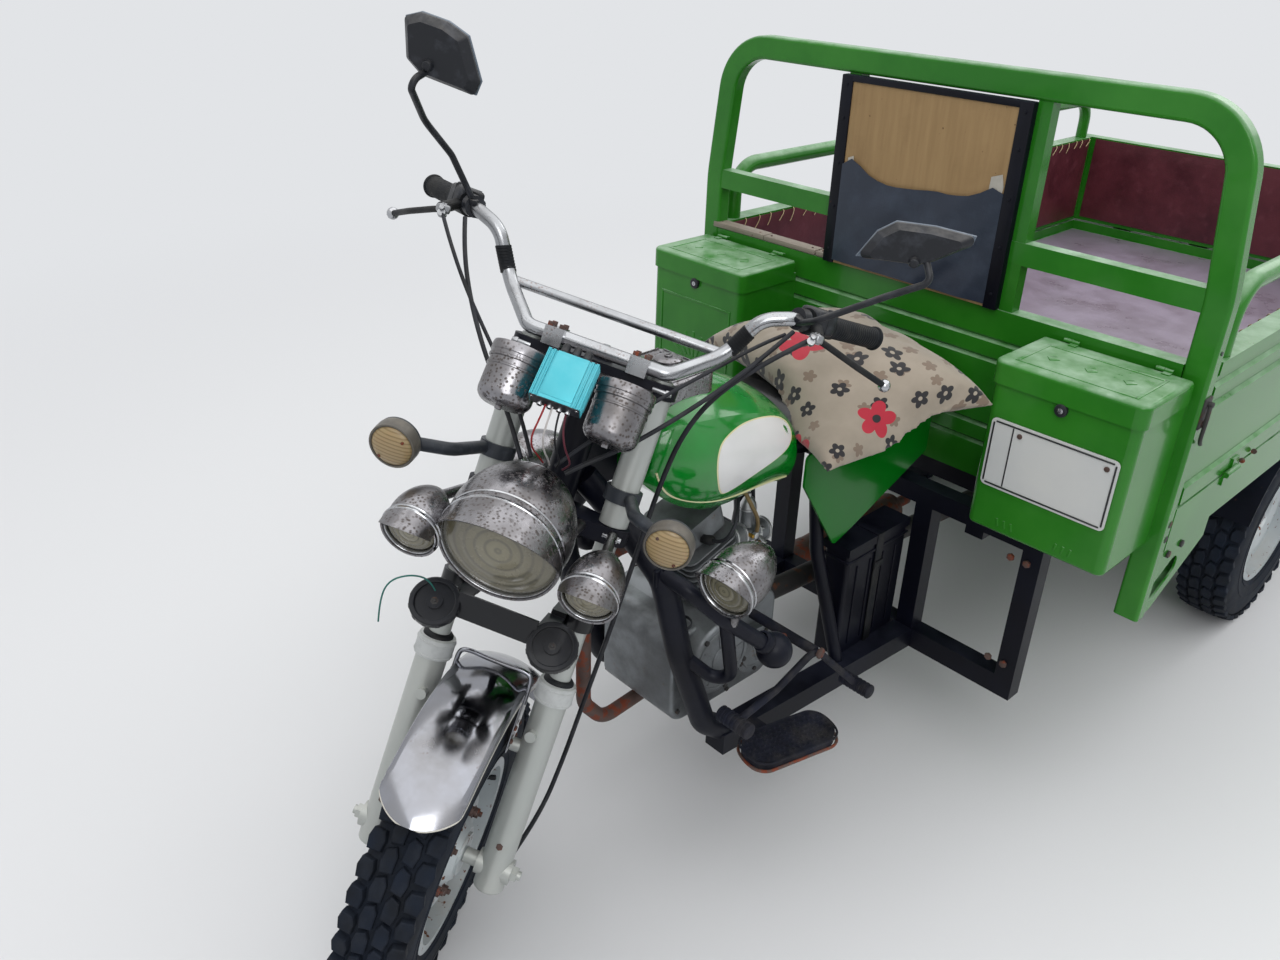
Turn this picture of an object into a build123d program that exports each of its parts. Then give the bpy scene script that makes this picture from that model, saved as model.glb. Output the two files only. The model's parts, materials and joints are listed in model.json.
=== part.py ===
from build123d import *

import os
from math import cos, radians, sin, sqrt

# Cargo motor tricycle, in millimetres.
# X is the vehicle's left, -Y its front and Z is up.
# While it is modelled, Y is measured from the front face of the load bed and Z from the ground.
# The last section moves everything so that the origin is under the middle of the whole vehicle.

# Load bed
BED_WIDTH = 1200.0
BED_LENGTH = 1920.0
FLOOR_TOP = 670.0
FLOOR_SHEET = 5.0
BED_RAIL_WIDTH = 44.0
BED_RAIL_LOW = 608.0
BED_RAIL_TOP = 700.0
CROSS_WIDTH = 40.0
CROSS_COUNT = 6
WALL_TOP = 988.0
WALL_THICK = 44.0
WALL_GAP = 6.0
RIB_DEPTH = 6.0
RIB_HEIGHT = 24.0
SILL_TOP = 980.0
SILL_HEIGHT = 28.0
PANEL_THICK = 16.0

# Front hoop of the bed
HOOP_FACE = 48.0
HOOP_DEPTH = 36.0
HOOP_TOP = 1413.0
HOOP_FOOT = 462.0
HOOP_KNEE = 1100.0
HOOP_LEAN = 57.0
HOOP_BEND = 106.0
HOOP_BAR_LOW = 1073.0
HOOP_BAR_HIGH = 1115.0
MID_POST_X = 207.0
MID_POST_WIDTH = 28.0
GUSSET_KNEE = 60.0
GUSSET_BACK = 257.0
GUSSET_TIP = 556.0
GUSSET_PLATE = 4.0

# Guard rails on the drop sides
RAIL_RADIUS = 18.0
RAIL_TOP = 1128.0
RAIL_BEND = 70.0
RAIL_INSET = 36.0

# Hinges of the sides and the tailgate
HINGE_RADIUS = 6.0
HINGE_LENGTH = 60.0
HINGE_COUNT = 4

# Tool boxes on the bed's front
BOX_EDGE = 23.0
BOX_WIDTH = 272.0
BOX_DEPTH = 182.0
BOX_LOW = 628.0
BOX_RIM = 930.0
BOX_TOP = 961.0
BOX_WALL = 3.0
BOX_CORNER = 16.0
LID_GAP = 2.0
LID_HINGE_RADIUS = 4.0
PLATE_WIDTH = 240.0
PLATE_HEIGHT = 135.0
PLATE_Z = 787.0
PLATE_STUD = 2.0

# Steering head
RAKE = 24.0
HEAD_Y = -840.0
HEAD_Z = 1040.0
STEER_REST = 35.0

# Front fork, in the steering head's own axes:
# x to the left, y backwards and square to the steering axis, z up along it
FORK_X = 104.0
FORK_Y = -43.0
LEG_RADIUS = 26.0
COLLAR_RADIUS = 29.5
COLLAR_TOP = -510.0
COLLAR_HEIGHT = 34.0
LEG_END = -890.0
BOSS_DROP = 637.0
AXLE_RADIUS = 7.5
STANCHION_RADIUS = 17.5
SLEEVE_RADIUS = 23.0
SLEEVE_TOP = -32.0
SLEEVE_LOW = -238.0
BRIDGE_TOP = -8.0
BRIDGE_THICK = 22.0
BRIDGE_NOSE = 28.0
LOWER_BRIDGE_TOP = -240.0
LOWER_BRIDGE_THICK = 26.0
LOWER_BRIDGE_NOSE = 29.0
STEM_RADIUS = 14.0
HEAD_TUBE_RADIUS = 28.0

# Wheels
REAR_TYRE_RADIUS = 284.0
REAR_TYRE_WIDTH = 128.0
REAR_TRACK = 1000.0
REAR_AXLE_Y = 990.0
FRONT_TYRE_RADIUS = 272.0
FRONT_TYRE_WIDTH = 112.0
RIM_RADIUS = 165.0
BEAD_RADIUS = 153.0
RIM_SHEET = 4.0
RIM_WELL = 22.0
TREAD_INSET = 2.0
LUG_DEPTH = 9.0
LUG_LENGTH = 38.0
LUG_COUNT = 24
HUB_BORE = 20.4
STUB_RADIUS = 20.0

# Front fender
FENDER_RADIUS = 308.0
FENDER_HALF = 61.0
FENDER_SKIRT = 280.0
FENDER_CROWN = 14.0
FENDER_SHEET = 2.0
FENDER_LIFT = 17.0
FENDER_FRONT = 30.0
FENDER_BACK = 146.0

# Frame
LOWER_RAIL_Z = 263.0
LOWER_RAIL_SIZE = 46.0
FRAME_TUBE = 23.0
BACKBONE_TUBE = 24.0
SEAT_TUBE = 14.0
CHASSIS_RAIL_X = 290.0
CHASSIS_RAIL_WIDTH = 40.0
CHASSIS_RAIL_LOW = 554.0
CHASSIS_RAIL_TOP = 624.0
BEAM_Y = -105.0
BEAM_HALF = 20.0
BRACKET_X = 425.0
INNER_POST_X = 182.0

# Seat
SEAT_LOW = 792.0
SEAT_THICK = 74.0
SIDE_COVER_X = 128.0
CUSHION_TOP = 950.0
CUSHION_LENGTH = 470.0
CUSHION_WIDTH = 350.0
CUSHION_TURN = -18.0

# Engine
ENGINE_LOW = 300.0
ENGINE_HALF = 96.0
ENGINE_FRONT = -752.0
ENGINE_BACK = -470.0
ENGINE_TOP = 540.0
CYLINDER_TILT = 18.0
FIN_START = 24.0
FIN_COUNT = 10
FIN_PITCH = 14.0
FIN_THICK = 4.0

# Running gear
AXLE_TUBE = 32.0
SPRING_X = 290.0
SPRING_HALF = 390.0
SPRING_EYE_Z = 500.0
SPRING_WIDTH = 55.0
LEAF = 8.0
LEAF_COUNT = 6

# A seat that two pieces share is this much apart
CLEAR = 0.3

# The axle is as far down the steering axis as lets the turned tyre stand on the ground
AXLE_TILT = sin(radians(STEER_REST)) * sin(radians(RAKE))
TYRE_REACH = (FRONT_TYRE_WIDTH / 2 - TREAD_INSET) * AXLE_TILT + FRONT_TYRE_RADIUS * sqrt(1 - AXLE_TILT**2)
FORK_RISE = -FORK_Y * cos(radians(STEER_REST)) * sin(radians(RAKE))
AXLE_DROP = (HEAD_Z + FORK_RISE - TYRE_REACH) / cos(radians(RAKE))


def box(x0, x1, y0, y1, z0, z1):
    """A block between two corners."""
    middle = Pos((x0 + x1) / 2, (y0 + y1) / 2, (z0 + z1) / 2)
    return middle * Box(x1 - x0, y1 - y0, z1 - z0)


def rod(points, radius, bends=None):
    """A round bar along straight runs, with bent corners where bends are given."""
    path = Polyline(*points) if bends is None else FilletPolyline(*points, radius=bends)
    section = Plane(origin=path @ 0, z_dir=path % 0) * Circle(radius)
    return sweep(section, path=path)


def drum(centre, axis, radius, length):
    """A round block centred on a point."""
    return Plane(origin=centre, z_dir=axis).location * Cylinder(radius, length)


def mirrored(shape):
    """The same shape on the other side of the vehicle."""
    return mirror(shape, about=Plane.YZ)


def both(shape):
    """A pair, one on each side."""
    return shape + mirrored(shape)


def wheel_turned(*points):
    """A closed profile of (place across the wheel, distance from its axle), turned about the X axis."""
    return revolve(Plane.XZ * make_face(Polyline(*points, close=True)), Axis.X)


def lamp_turned(*points):
    """A closed profile of (distance from the axis, place along it), turned about the Z axis."""
    return revolve(Plane.XZ * make_face(Polyline(*points, close=True)), Axis.Z)


# The steering head's axes, and the same axes with the handlebar turned as the vehicle is parked
fork_plane = Plane(
    origin=(0, HEAD_Y, HEAD_Z), x_dir=(1, 0, 0), z_dir=(0, sin(radians(RAKE)), cos(radians(RAKE)))
)
STRAIGHT = fork_plane.location
TURNED = STRAIGHT * Rot(0, 0, STEER_REST)
FRONT_AXLE = Pos(0, FORK_Y, -AXLE_DROP)


def forward(dip=0.0):
    """The level forward direction in the steering head's axes, dipped by an angle."""
    return (0, -cos(radians(RAKE + dip)), -sin(radians(RAKE + dip)))


# Wheels


def tyre(radius, width):
    """A tyre with two rings of staggered shoulder lugs, its axle on the X axis."""
    half = width / 2
    base = radius - LUG_DEPTH
    bulge = BEAD_RADIUS + (base - BEAD_RADIUS) * 0.5
    carcass = wheel_turned(
        (-half * 0.62, BEAD_RADIUS),
        (-half, bulge),
        (-half + TREAD_INSET, base - 16),
        (-half * 0.8, base),
        (half * 0.8, base),
        (half - TREAD_INSET, base - 16),
        (half, bulge),
        (half * 0.62, BEAD_RADIUS),
        (half * 0.5, BEAD_RADIUS + 12),
        (-half * 0.5, BEAD_RADIUS + 12),
    )
    step = 360.0 / LUG_COUNT
    crest = sqrt(radius**2 - LUG_LENGTH**2 / 4)
    lug = box(4, half - TREAD_INSET, -LUG_LENGTH / 2, LUG_LENGTH / 2, base - 15, crest)
    lugs = [Rot(step * i, 0, 0) * lug for i in range(LUG_COUNT)]
    lugs += [Rot(step * (i + 0.5), 0, 0) * mirrored(lug) for i in range(LUG_COUNT)]
    return carcass + lugs


def front_tyre():
    return TURNED * FRONT_AXLE * tyre(FRONT_TYRE_RADIUS, FRONT_TYRE_WIDTH)


def rim_band(edge):
    """A rim's rolled band between its two edges, with the well that the tyre drops into."""
    under = [
        (edge, RIM_RADIUS),
        (edge, BEAD_RADIUS - RIM_SHEET),
        (edge * 0.4, BEAD_RADIUS - RIM_SHEET - 2),
        (edge * 0.3, BEAD_RADIUS - RIM_WELL),
    ]
    over = [
        (edge - RIM_SHEET, RIM_RADIUS),
        (edge - RIM_SHEET, BEAD_RADIUS - CLEAR),
        (edge * 0.36, BEAD_RADIUS - 1),
        (edge * 0.26, BEAD_RADIUS - RIM_WELL + 5),
    ]
    far_under = [(-x, r) for x, r in under]
    far_over = [(-x, r) for x, r in over]
    return wheel_turned(*far_under, *reversed(under), *over, *reversed(far_over))


def front_rim():
    """A pressed steel rim and disc on a hub with a drum, which turns on the fixed axle."""
    bore = AXLE_RADIUS + CLEAR
    seat_radius = BEAD_RADIUS - RIM_WELL + 3
    disc = wheel_turned(
        (4, seat_radius),
        (12, seat_radius),
        (32, 95),
        (32, 60),
        (46, 44),
        (46, 30),
        (38, 30),
        (38, 40),
        (24, 58),
        (24, 96),
    )
    holes = [Rot(60 * i, 0, 0) * drum((18, 0, 112), (1, 0, 0), 12, 60) for i in range(6)]
    hub = wheel_turned((-50, bore), (-50, 34), (-40, 70), (-12, 70), (-12, 36), (50, 36), (50, bore))
    return TURNED * FRONT_AXLE * (rim_band(FRONT_TYRE_WIDTH / 2 - 8) + (disc - holes) + hub)


def rear_wheel_place():
    return Pos(REAR_TRACK / 2, REAR_AXLE_Y, REAR_TYRE_RADIUS)


def rear_tyre():
    return rear_wheel_place() * tyre(REAR_TYRE_RADIUS, REAR_TYRE_WIDTH)


def rear_rim():
    """A pressed steel rim and dished disc, its hub and the brake drum behind it."""
    seat_radius = BEAD_RADIUS - RIM_WELL + 3
    disc = wheel_turned(
        (6, seat_radius),
        (14, seat_radius),
        (26, 104),
        (20, 74),
        (0, 66),
        (-12, 66),
        (-12, 34),
        (-20, 34),
        (-20, 74),
        (-6, 76),
        (12, 82),
        (18, 104),
    )
    holes = [Rot(45 * i, 0, 0) * drum((12, 0, 112), (1, 0, 0), 9, 60) for i in range(8)]
    hub = wheel_turned(
        (-84, HUB_BORE),
        (-84, 92),
        (-52, 92),
        (-52, 36),
        (8, 36),
        (14, 28),
        (14, 0),
        (8, 0),
        (8, HUB_BORE),
    )
    return rear_wheel_place() * (rim_band(REAR_TYRE_WIDTH / 2 - 10) + (disc - holes) + hub)


# Front fork


def fork_bridges():
    """The two bridges that clamp the fork, joined by the stem in the steering head."""

    def bridge(top, thick, nose):
        ring = make_hull(
            [
                *(Pos(FORK_X, FORK_Y) * Circle(nose)).edges(),
                *(Pos(-FORK_X, FORK_Y) * Circle(nose)).edges(),
                *Circle(nose).edges(),
            ]
        )
        return Pos(0, 0, top - thick) * extrude(ring, amount=thick)

    span = BRIDGE_TOP - LOWER_BRIDGE_TOP
    body = bridge(BRIDGE_TOP, BRIDGE_THICK, BRIDGE_NOSE)
    body += bridge(LOWER_BRIDGE_TOP, LOWER_BRIDGE_THICK, LOWER_BRIDGE_NOSE)
    body += Pos(0, 0, BRIDGE_TOP - span / 2) * Cylinder(STEM_RADIUS, span)
    body += Pos(0, 0, BRIDGE_TOP + 6) * Cylinder(STEM_RADIUS + 3, 12)
    return TURNED * (body - both(fork_leg_tube()))


def fork_leg_tube():
    """The chromed inner tube of the left leg, in the steering head's axes."""
    low = COLLAR_TOP - 1
    high = BRIDGE_TOP + 4
    return Pos(FORK_X, FORK_Y, (low + high) / 2) * Cylinder(STANCHION_RADIUS, high - low)


def fork_stanchions():
    """The inner tubes with the sleeves that carry the lamps between the bridges."""
    sleeve_middle = (SLEEVE_TOP + SLEEVE_LOW) / 2
    sleeve = Pos(FORK_X, FORK_Y, sleeve_middle) * Cylinder(SLEEVE_RADIUS, SLEEVE_TOP - SLEEVE_LOW)
    return TURNED * both(fork_leg_tube() + sleeve)


def fender_boss(clear):
    """The stud on the left leg that carries the fender."""
    return drum((FORK_X - 20, FORK_Y, -BOSS_DROP), (1, 0, 0), 11 + clear, 38 + 2 * clear)


def fork_legs():
    """The cast lower legs with their collars, the fender bosses and the wheel's fixed axle."""
    middle = (COLLAR_TOP + LEG_END) / 2
    leg = Pos(FORK_X, FORK_Y, middle) * Cylinder(LEG_RADIUS, COLLAR_TOP - LEG_END)
    leg = fillet(leg.edges().filter_by(GeomType.CIRCLE).sort_by(Axis.Z)[0], 6)
    collar = Pos(FORK_X, FORK_Y, COLLAR_TOP - COLLAR_HEIGHT / 2) * Cylinder(COLLAR_RADIUS, COLLAR_HEIGHT)
    collar = chamfer(collar.edges().filter_by(GeomType.CIRCLE).sort_by(Axis.Z)[0], 3)
    boss = fender_boss(0.0)
    nub = drum((FORK_X - 10, FORK_Y - 22, -600), (0, -1, 0), 9, 26)
    clamp = drum((FORK_X, FORK_Y, -AXLE_DROP), (1, 0, 0), 21, 60)
    spacer = drum((65, FORK_Y, -AXLE_DROP), (1, 0, 0), 13, 28)
    socket = Pos(FORK_X, FORK_Y, COLLAR_TOP) * Cylinder(STANCHION_RADIUS, 2.2)
    leg = leg + collar + boss + nub + clamp + spacer - socket
    axle = drum((0, FORK_Y, -AXLE_DROP), (1, 0, 0), AXLE_RADIUS, 300)
    nut = extrude(
        Plane(origin=(FORK_X + 30, FORK_Y, -AXLE_DROP), z_dir=(1, 0, 0)) * RegularPolygon(13, 6), amount=10
    )
    return TURNED * (both(leg + nut) + axle)


def front_fender():
    """A crowned sheet round the wheel, with two plates down to the bosses on the legs."""
    edge = FENDER_RADIUS - FENDER_CROWN
    inner = FENDER_HALF - FENDER_SHEET
    profile = (
        Line((-FENDER_HALF, FENDER_SKIRT), (-FENDER_HALF, edge))
        + ThreePointArc((-FENDER_HALF, edge), (0, FENDER_RADIUS), (FENDER_HALF, edge))
        + Line((FENDER_HALF, edge), (FENDER_HALF, FENDER_SKIRT))
        + Line((FENDER_HALF, FENDER_SKIRT), (inner, FENDER_SKIRT))
        + Line((inner, FENDER_SKIRT), (inner, edge - 1))
        + ThreePointArc((inner, edge - 1), (0, FENDER_RADIUS - FENDER_SHEET), (-inner, edge - 1))
        + Line((-inner, edge - 1), (-inner, FENDER_SKIRT))
        + Line((-inner, FENDER_SKIRT), (-FENDER_HALF, FENDER_SKIRT))
    )
    face = Rot(90 - FENDER_BACK, 0, 0) * (Plane.XZ * make_face(profile))
    sheet = Pos(0, 0, FENDER_LIFT) * revolve(face, Axis.X, FENDER_BACK - FENDER_FRONT)
    plate = box(FENDER_HALF, FENDER_HALF + 3, -24, 24, 205, FENDER_RADIUS)
    plate = fillet(plate.edges().filter_by(Axis.X).group_by(Axis.Z)[0], 14)
    bolt = drum((FENDER_HALF + 1, 0, AXLE_DROP - BOSS_DROP), (1, 0, 0), 7, 8)
    hoop = rod([(FENDER_HALF + 2, -4, 290), (FENDER_HALF + 2, -4, 336), (0, -4, 336)], 4, 14)
    fender = FRONT_AXLE * (sheet + both(plate + bolt + hoop))
    return TURNED * (fender - both(fender_boss(CLEAR)))


# Lamps, horns and instruments on the fork


def lamp(radius, depth, hood):
    """A bowl with a rim that looks along Z, and a hood that is deepest at the top, where Y points."""
    bowl_profile = (
        Line((0, -depth), (radius * 0.34, -depth))
        + ThreePointArc((radius * 0.34, -depth), (radius * 0.92, -depth * 0.6), (radius, -depth * 0.12))
        + Line((radius, -depth * 0.12), (radius, 0))
        + Line((radius, 0), (radius - 3, 0))
        + Line((radius - 3, 0), (radius - 3, -10))
        + Line((radius - 3, -10), (0, -10))
        + Line((0, -10), (0, -depth))
    )
    bowl = revolve(Plane.XZ * make_face(bowl_profile), Axis.Z)
    inside, outside = radius - 1, radius + 2
    rim = lamp_turned((radius - 2, -4), (outside, -4), (outside, 4), (inside, 4), (inside, 0), (radius - 2, 0))
    visor = lamp_turned((inside, 0), (outside, 0), (outside, hood + 5), (inside, hood + 5))
    slant = Plane(origin=(0, 0, 4), x_dir=(1, 0, 0), z_dir=(0, -hood, radius))
    away = slant.location * Pos(0, 0, radius * 2) * Box(radius * 6, radius * 6, radius * 4)
    return bowl + rim + (visor - away)


def lens(radius):
    """The domed glass that fills a lamp's rim."""
    rim = radius - 3 - CLEAR
    ball = (rim**2 + 36) / 12
    return Pos(0, 0, -4) * Cylinder(rim, 12) & Pos(0, 0, 2 - ball) * Sphere(ball)


def lamp_place(x, y, z, dip=4.0):
    """Where a lamp on the fork sits: its Z looks forward and its Y is up."""
    return Plane(origin=(x, y, z), x_dir=(1, 0, 0), z_dir=forward(dip)).location


HEADLAMP = (88.0, 150.0, 52.0)
HEADLAMP_PLACE = lamp_place(-9, -255, -276, 6.0)
FOG = (40.0, 84.0, 32.0)
FOG_PLACE = lamp_place(130, -272, -292, 8.0)


def front_lamps():
    """The headlamp on its ears and a smaller lamp on each side of it."""
    ear = box(44, 92, -215, -60, -160, -154)
    ear += box(86, 92, -215, -40, -200, -154)
    arm = rod([(112, -62, -250), (126, -210, -250)], 8)
    glass_space = HEADLAMP_PLACE * Pos(0, 0, 15) * Cylinder(HEADLAMP[0] - 3, 50)
    lamps = HEADLAMP_PLACE * lamp(*HEADLAMP) + (both(FOG_PLACE * lamp(*FOG) + arm) - glass_space)
    stem = rod([(60, -160, -250), (60, -46, -250)], 9)
    lamps += both(stem)
    return TURNED * (lamps - both(fork_sleeve_space()) - bridge_space())


def fork_sleeve_space():
    return Pos(FORK_X, FORK_Y, -150) * Cylinder(SLEEVE_RADIUS + CLEAR, 300)


def bridge_space():
    thick = LOWER_BRIDGE_THICK + 2 * CLEAR
    middle = LOWER_BRIDGE_TOP - LOWER_BRIDGE_THICK / 2
    return Pos(0, 0, middle) * Box(400, 2 * (LOWER_BRIDGE_NOSE + CLEAR - FORK_Y), thick)


def front_lenses():
    return TURNED * (HEADLAMP_PLACE * lens(HEADLAMP[0]) + both(FOG_PLACE * lens(FOG[0])))


def indicators():
    """Round amber lamps on stalks out from the sleeves."""
    centre = (205, -212, -196)
    stalk = rod([(FORK_X + 16, -66, -190), (142, -150, -192), (202, -192, -196)], 10, 40)
    clamp = Pos(FORK_X, FORK_Y, -190) * Cylinder(SLEEVE_RADIUS + 6, 22)
    plane = Plane(origin=centre, z_dir=forward())
    shell = plane.location * (Cylinder(34, 24) + Pos(0, 0, -16) * Cone(18, 33, 10))
    return TURNED * both((stalk + clamp - fork_sleeve_space()) + shell)


def horns():
    """A flat bar in front of the fork that carries two disc horns."""
    bar = box(-62, 62, -168, -162, -422, -384)
    stay = box(56, 84, -166, -62, -408, -402)
    tilt = Plane(origin=(93, -170, -412), x_dir=(1, 0, 0), z_dir=(0, -0.8, 0.6))
    disc = Cylinder(37, 12) + Pos(0, 0, -14) * Cylinder(27, 18) - Pos(0, 0, 6) * Cylinder(30, 6)
    disc = tilt.location * (disc + Pos(0, 0, 4) * Cylinder(12, 6))
    grip = box(60, 84, -62, -20, -416, -394)
    leg = Pos(FORK_X, FORK_Y, -400) * Cylinder(STANCHION_RADIUS + CLEAR, 120)
    ring = Pos(FORK_X, FORK_Y, -405) * Cylinder(STANCHION_RADIUS + 6, 20)
    return TURNED * (bar + both(disc + stay + (grip + ring - leg)))


AMPLIFIER_HALF = 36.5
AMPLIFIER_PLACE = Plane(origin=(0, -226, -34), x_dir=(1, 0, 0), z_dir=(0, -0.86, 0.51)).location


def amplifier_case(grow=0.0):
    """The amplifier's plain case with the flat shelf under it."""
    shelf = Pos(0, 0, -16) * Box(2 * AMPLIFIER_HALF, 50 + grow, 6 + grow)
    return AMPLIFIER_PLACE * (Box(2 * AMPLIFIER_HALF, 72 + grow, 26 + grow) + shelf)


def instrument_pods():
    """Two round instrument cans on a bracket in front of the upper bridge."""
    axis = (0, 0.3, 0.95)
    place = Plane(origin=(78, -198, -62), z_dir=axis).location
    can = Pos(0, 0, 4) * Cylinder(39.5, 84)
    can = fillet(can.edges().filter_by(GeomType.CIRCLE).sort_by(Axis.Z)[0], 18)
    can += Pos(0, 0, 30) * Cylinder(41, 10)
    bracket = box(40, 100, -168, FORK_Y - BRIDGE_NOSE, -30, -22)
    bracket = bracket - place * (Pos(0, 0, 4) * Cylinder(39, 84))
    link = box(-60, 60, -92, FORK_Y - BRIDGE_NOSE, -30, -22)
    link += box(-16, 16, -205, -90, -30, -22) - amplifier_case(2 * CLEAR)
    return TURNED * (both(place * can + bracket) + link)


def amplifier():
    """A small ribbed box between the instruments, with three knobs on its far edge."""
    grooves = [AMPLIFIER_PLACE * Pos(x, 0, 13) * Box(3, 72, 4) for x in (-31, -24, 24, 31)]
    knobs = [AMPLIFIER_PLACE * Pos(x, 42, 4) * Rot(90, 0, 0) * Cylinder(5, 12) for x in (-16, 0, 16)]
    return TURNED * (amplifier_case() - grooves + knobs)


# Handlebar and what is on it

BAR_RADIUS = 11.0
BAR_ROUTE = [(0, -66, 8), (112, -66, 8), (176, 0, 58), (212, -14, 128), (262, -4, 146), (386, 135, 156)]
BAR_BENDS = [24, 60, 46, 60]
BAR_END = (386, 135, 156)
BAR_TURN = (262, -4, 146)


def along_bar(place):
    """A point between the bar's last bend and its end, and the bar's direction there."""
    start, end = Vector(*BAR_TURN), Vector(*BAR_END)
    return start + (end - start) * place, (end - start).normalized()


def handlebar():
    """One bent tube with a crossbar, clamped on the upper bridge by two risers."""
    left = rod(BAR_ROUTE, BAR_RADIUS, BAR_BENDS)
    cross = drum((0, -2, 60), (1, 0, 0), 8, 348)
    riser = box(52, 82, -84, -48, BRIDGE_TOP, 20)
    return TURNED * (both(left) + cross + both(riser))


def hand_controls():
    """Rubber grips, the switch housings inside them and the two levers with ball ends."""
    _, lean = along_bar(0.0)
    start, _ = along_bar(0.36)
    end, _ = along_bar(1.0)
    grip = drum((start + end) / 2, lean, 16, (end - start).length)
    grip += drum(start + lean * 5, lean, 19, 8)
    housing_from, _ = along_bar(0.1)
    housing_to, _ = along_bar(0.355)
    housing = drum((housing_from + housing_to) / 2, lean, 20, (housing_to - housing_from).length)
    perch = rod([tuple(housing_from + lean * 22), (300, -40, 128)], 9)
    lever = rod([(296, -36, 128), (318, -22, 122), (372, 24, 106), (424, 92, 92)], 5, [30, 60])
    ball = Pos(424, 92, 92) * Sphere(9)
    bar = rod(BAR_ROUTE, BAR_RADIUS + CLEAR, BAR_BENDS)
    return TURNED * both(grip + housing + perch + lever + ball - bar)


MIRROR_CORNER = 7.0
LEFT_STALK = [(264, -8, 140), (288, -60, 152), (365, -90, 213), (415, -113, 250), (399, -107, 275)]
RIGHT_STALK = [(-264, -4, 150), (-300, -60, 206), (-330, -120, 236), (-327, -217, 270), (-319, -184, 296)]
LEFT_HEAD = [(-68, -42), (-53, 1), (-33, 22), (18, 32), (72, 36), (72, 24), (34, -12), (16, -24)]
RIGHT_HEAD = [(-55, 30), (-33, 41), (6, 40), (36, 30), (62, -22), (57, -42), (-22, -38), (-46, -22)]


def mirror_head(centre, corners):
    """A mirror's shell round its glass, narrower towards the front."""
    outline = fillet(make_face(Polyline(*corners, close=True)).vertices(), MIRROR_CORNER)
    plane = Plane(origin=centre, x_dir=(1, 0, 0), z_dir=forward())
    sections = [Pos(0, 0, -9) * outline, outline, Pos(0, 0, 13) * scale(outline, by=0.8)]
    return plane.location * loft(sections, ruled=True)


def mirrors():
    """Two mirrors on bent stalks from the bar's clamps, each turned its own way."""
    seat, lean = along_bar(0.03)
    clamp = drum(seat, lean, 17, 16)
    left = rod(LEFT_STALK, 5, [20, 60, 12]) + mirror_head((376, -106, 290), LEFT_HEAD)
    right = rod(RIGHT_STALK, 5, [40, 60, 12]) + mirror_head((-308, -191, 323), RIGHT_HEAD)
    bar = both(rod(BAR_ROUTE, BAR_RADIUS + CLEAR, BAR_BENDS))
    return TURNED * (both(clamp) + left + right - bar)


def control_cables():
    """The brake cable, in a loose bow from the left lever down to the lower leg."""
    route = [
        (286, -52, 120),
        (252, -78, 86),
        (190, -66, 10),
        (158, -30, -70),
        (150, -14, -160),
        (150, 0, -280),
        (150, 14, -420),
        (146, 40, -560),
        (142, 84, -690),
        (138, 60, -790),
        (126, -36, -816),
    ]
    leg = Pos(FORK_X, FORK_Y, -700) * Cylinder(LEG_RADIUS + CLEAR, 500)
    return TURNED * (rod(route, 4, [40, 60, 90, 90, 120, 120, 120, 90, 50]) - leg)


# Frame

DOWN_TUBE = [
    (14, -892, 848),
    (60, -849, 770),
    (138, -828, 690),
    (142, -786, 520),
    (142, -712, LOWER_RAIL_Z + 60),
    (146, -640, LOWER_RAIL_Z),
]
DOWN_BENDS = [40, 60, 160, 60]


def head_point(drop):
    """A point of the steering axis, a length down from its origin."""
    return (0, HEAD_Y - drop * sin(radians(RAKE)), HEAD_Z - drop * cos(radians(RAKE)))


BACKBONE = [head_point(90), (0, -660, 862), (0, -200, 800)]
SEAT_RAIL = [
    (0, -560, 850),
    (92, -470, 790),
    (100, -150, 772),
    (100, BEAM_Y, 730),
    (100, BEAM_Y, CHASSIS_RAIL_TOP),
]
SEAT_BENDS = [70, 30, 30]
SEAT_STRUT = [(96, -400, 786), (102, -366, 540), (165, -330, LOWER_RAIL_Z)]


def lower_rail(size):
    """The left lower rail, which spreads towards the front beam."""
    start, end = (146, -690, LOWER_RAIL_Z), (182, BEAM_Y - BEAM_HALF + 20, LOWER_RAIL_Z)
    path = Line(start, end)
    rail = sweep(Plane(origin=start, z_dir=path % 0) * Rectangle(size, size), path=path)
    return rail & box(0, 400, -680, BEAM_Y - BEAM_HALF, 0, 600)


def main_frame():
    """The steering head, backbone, splayed down tubes and the two lower rails."""
    top, low = 32.0, 238.0
    head = STRAIGHT * Pos(0, 0, -(top + low) / 2) * Cylinder(HEAD_TUBE_RADIUS, low - top - 2 * CLEAR)
    bore = STRAIGHT * Pos(0, 0, -(top + low) / 2) * Cylinder(STEM_RADIUS + CLEAR, low - top + 20)
    backbone = rod(BACKBONE, BACKBONE_TUBE, 160)
    down = rod(DOWN_TUBE, FRAME_TUBE, DOWN_BENDS)
    rail = lower_rail(LOWER_RAIL_SIZE)
    seat = rod(SEAT_RAIL, SEAT_TUBE, SEAT_BENDS)
    strut = rod(SEAT_STRUT, SEAT_TUBE, 60)
    frame = head + backbone + both(down + rail + seat + strut)
    plate = box(-12, 12, -905, -820, 820, 900)
    return frame + plate - bore


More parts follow.
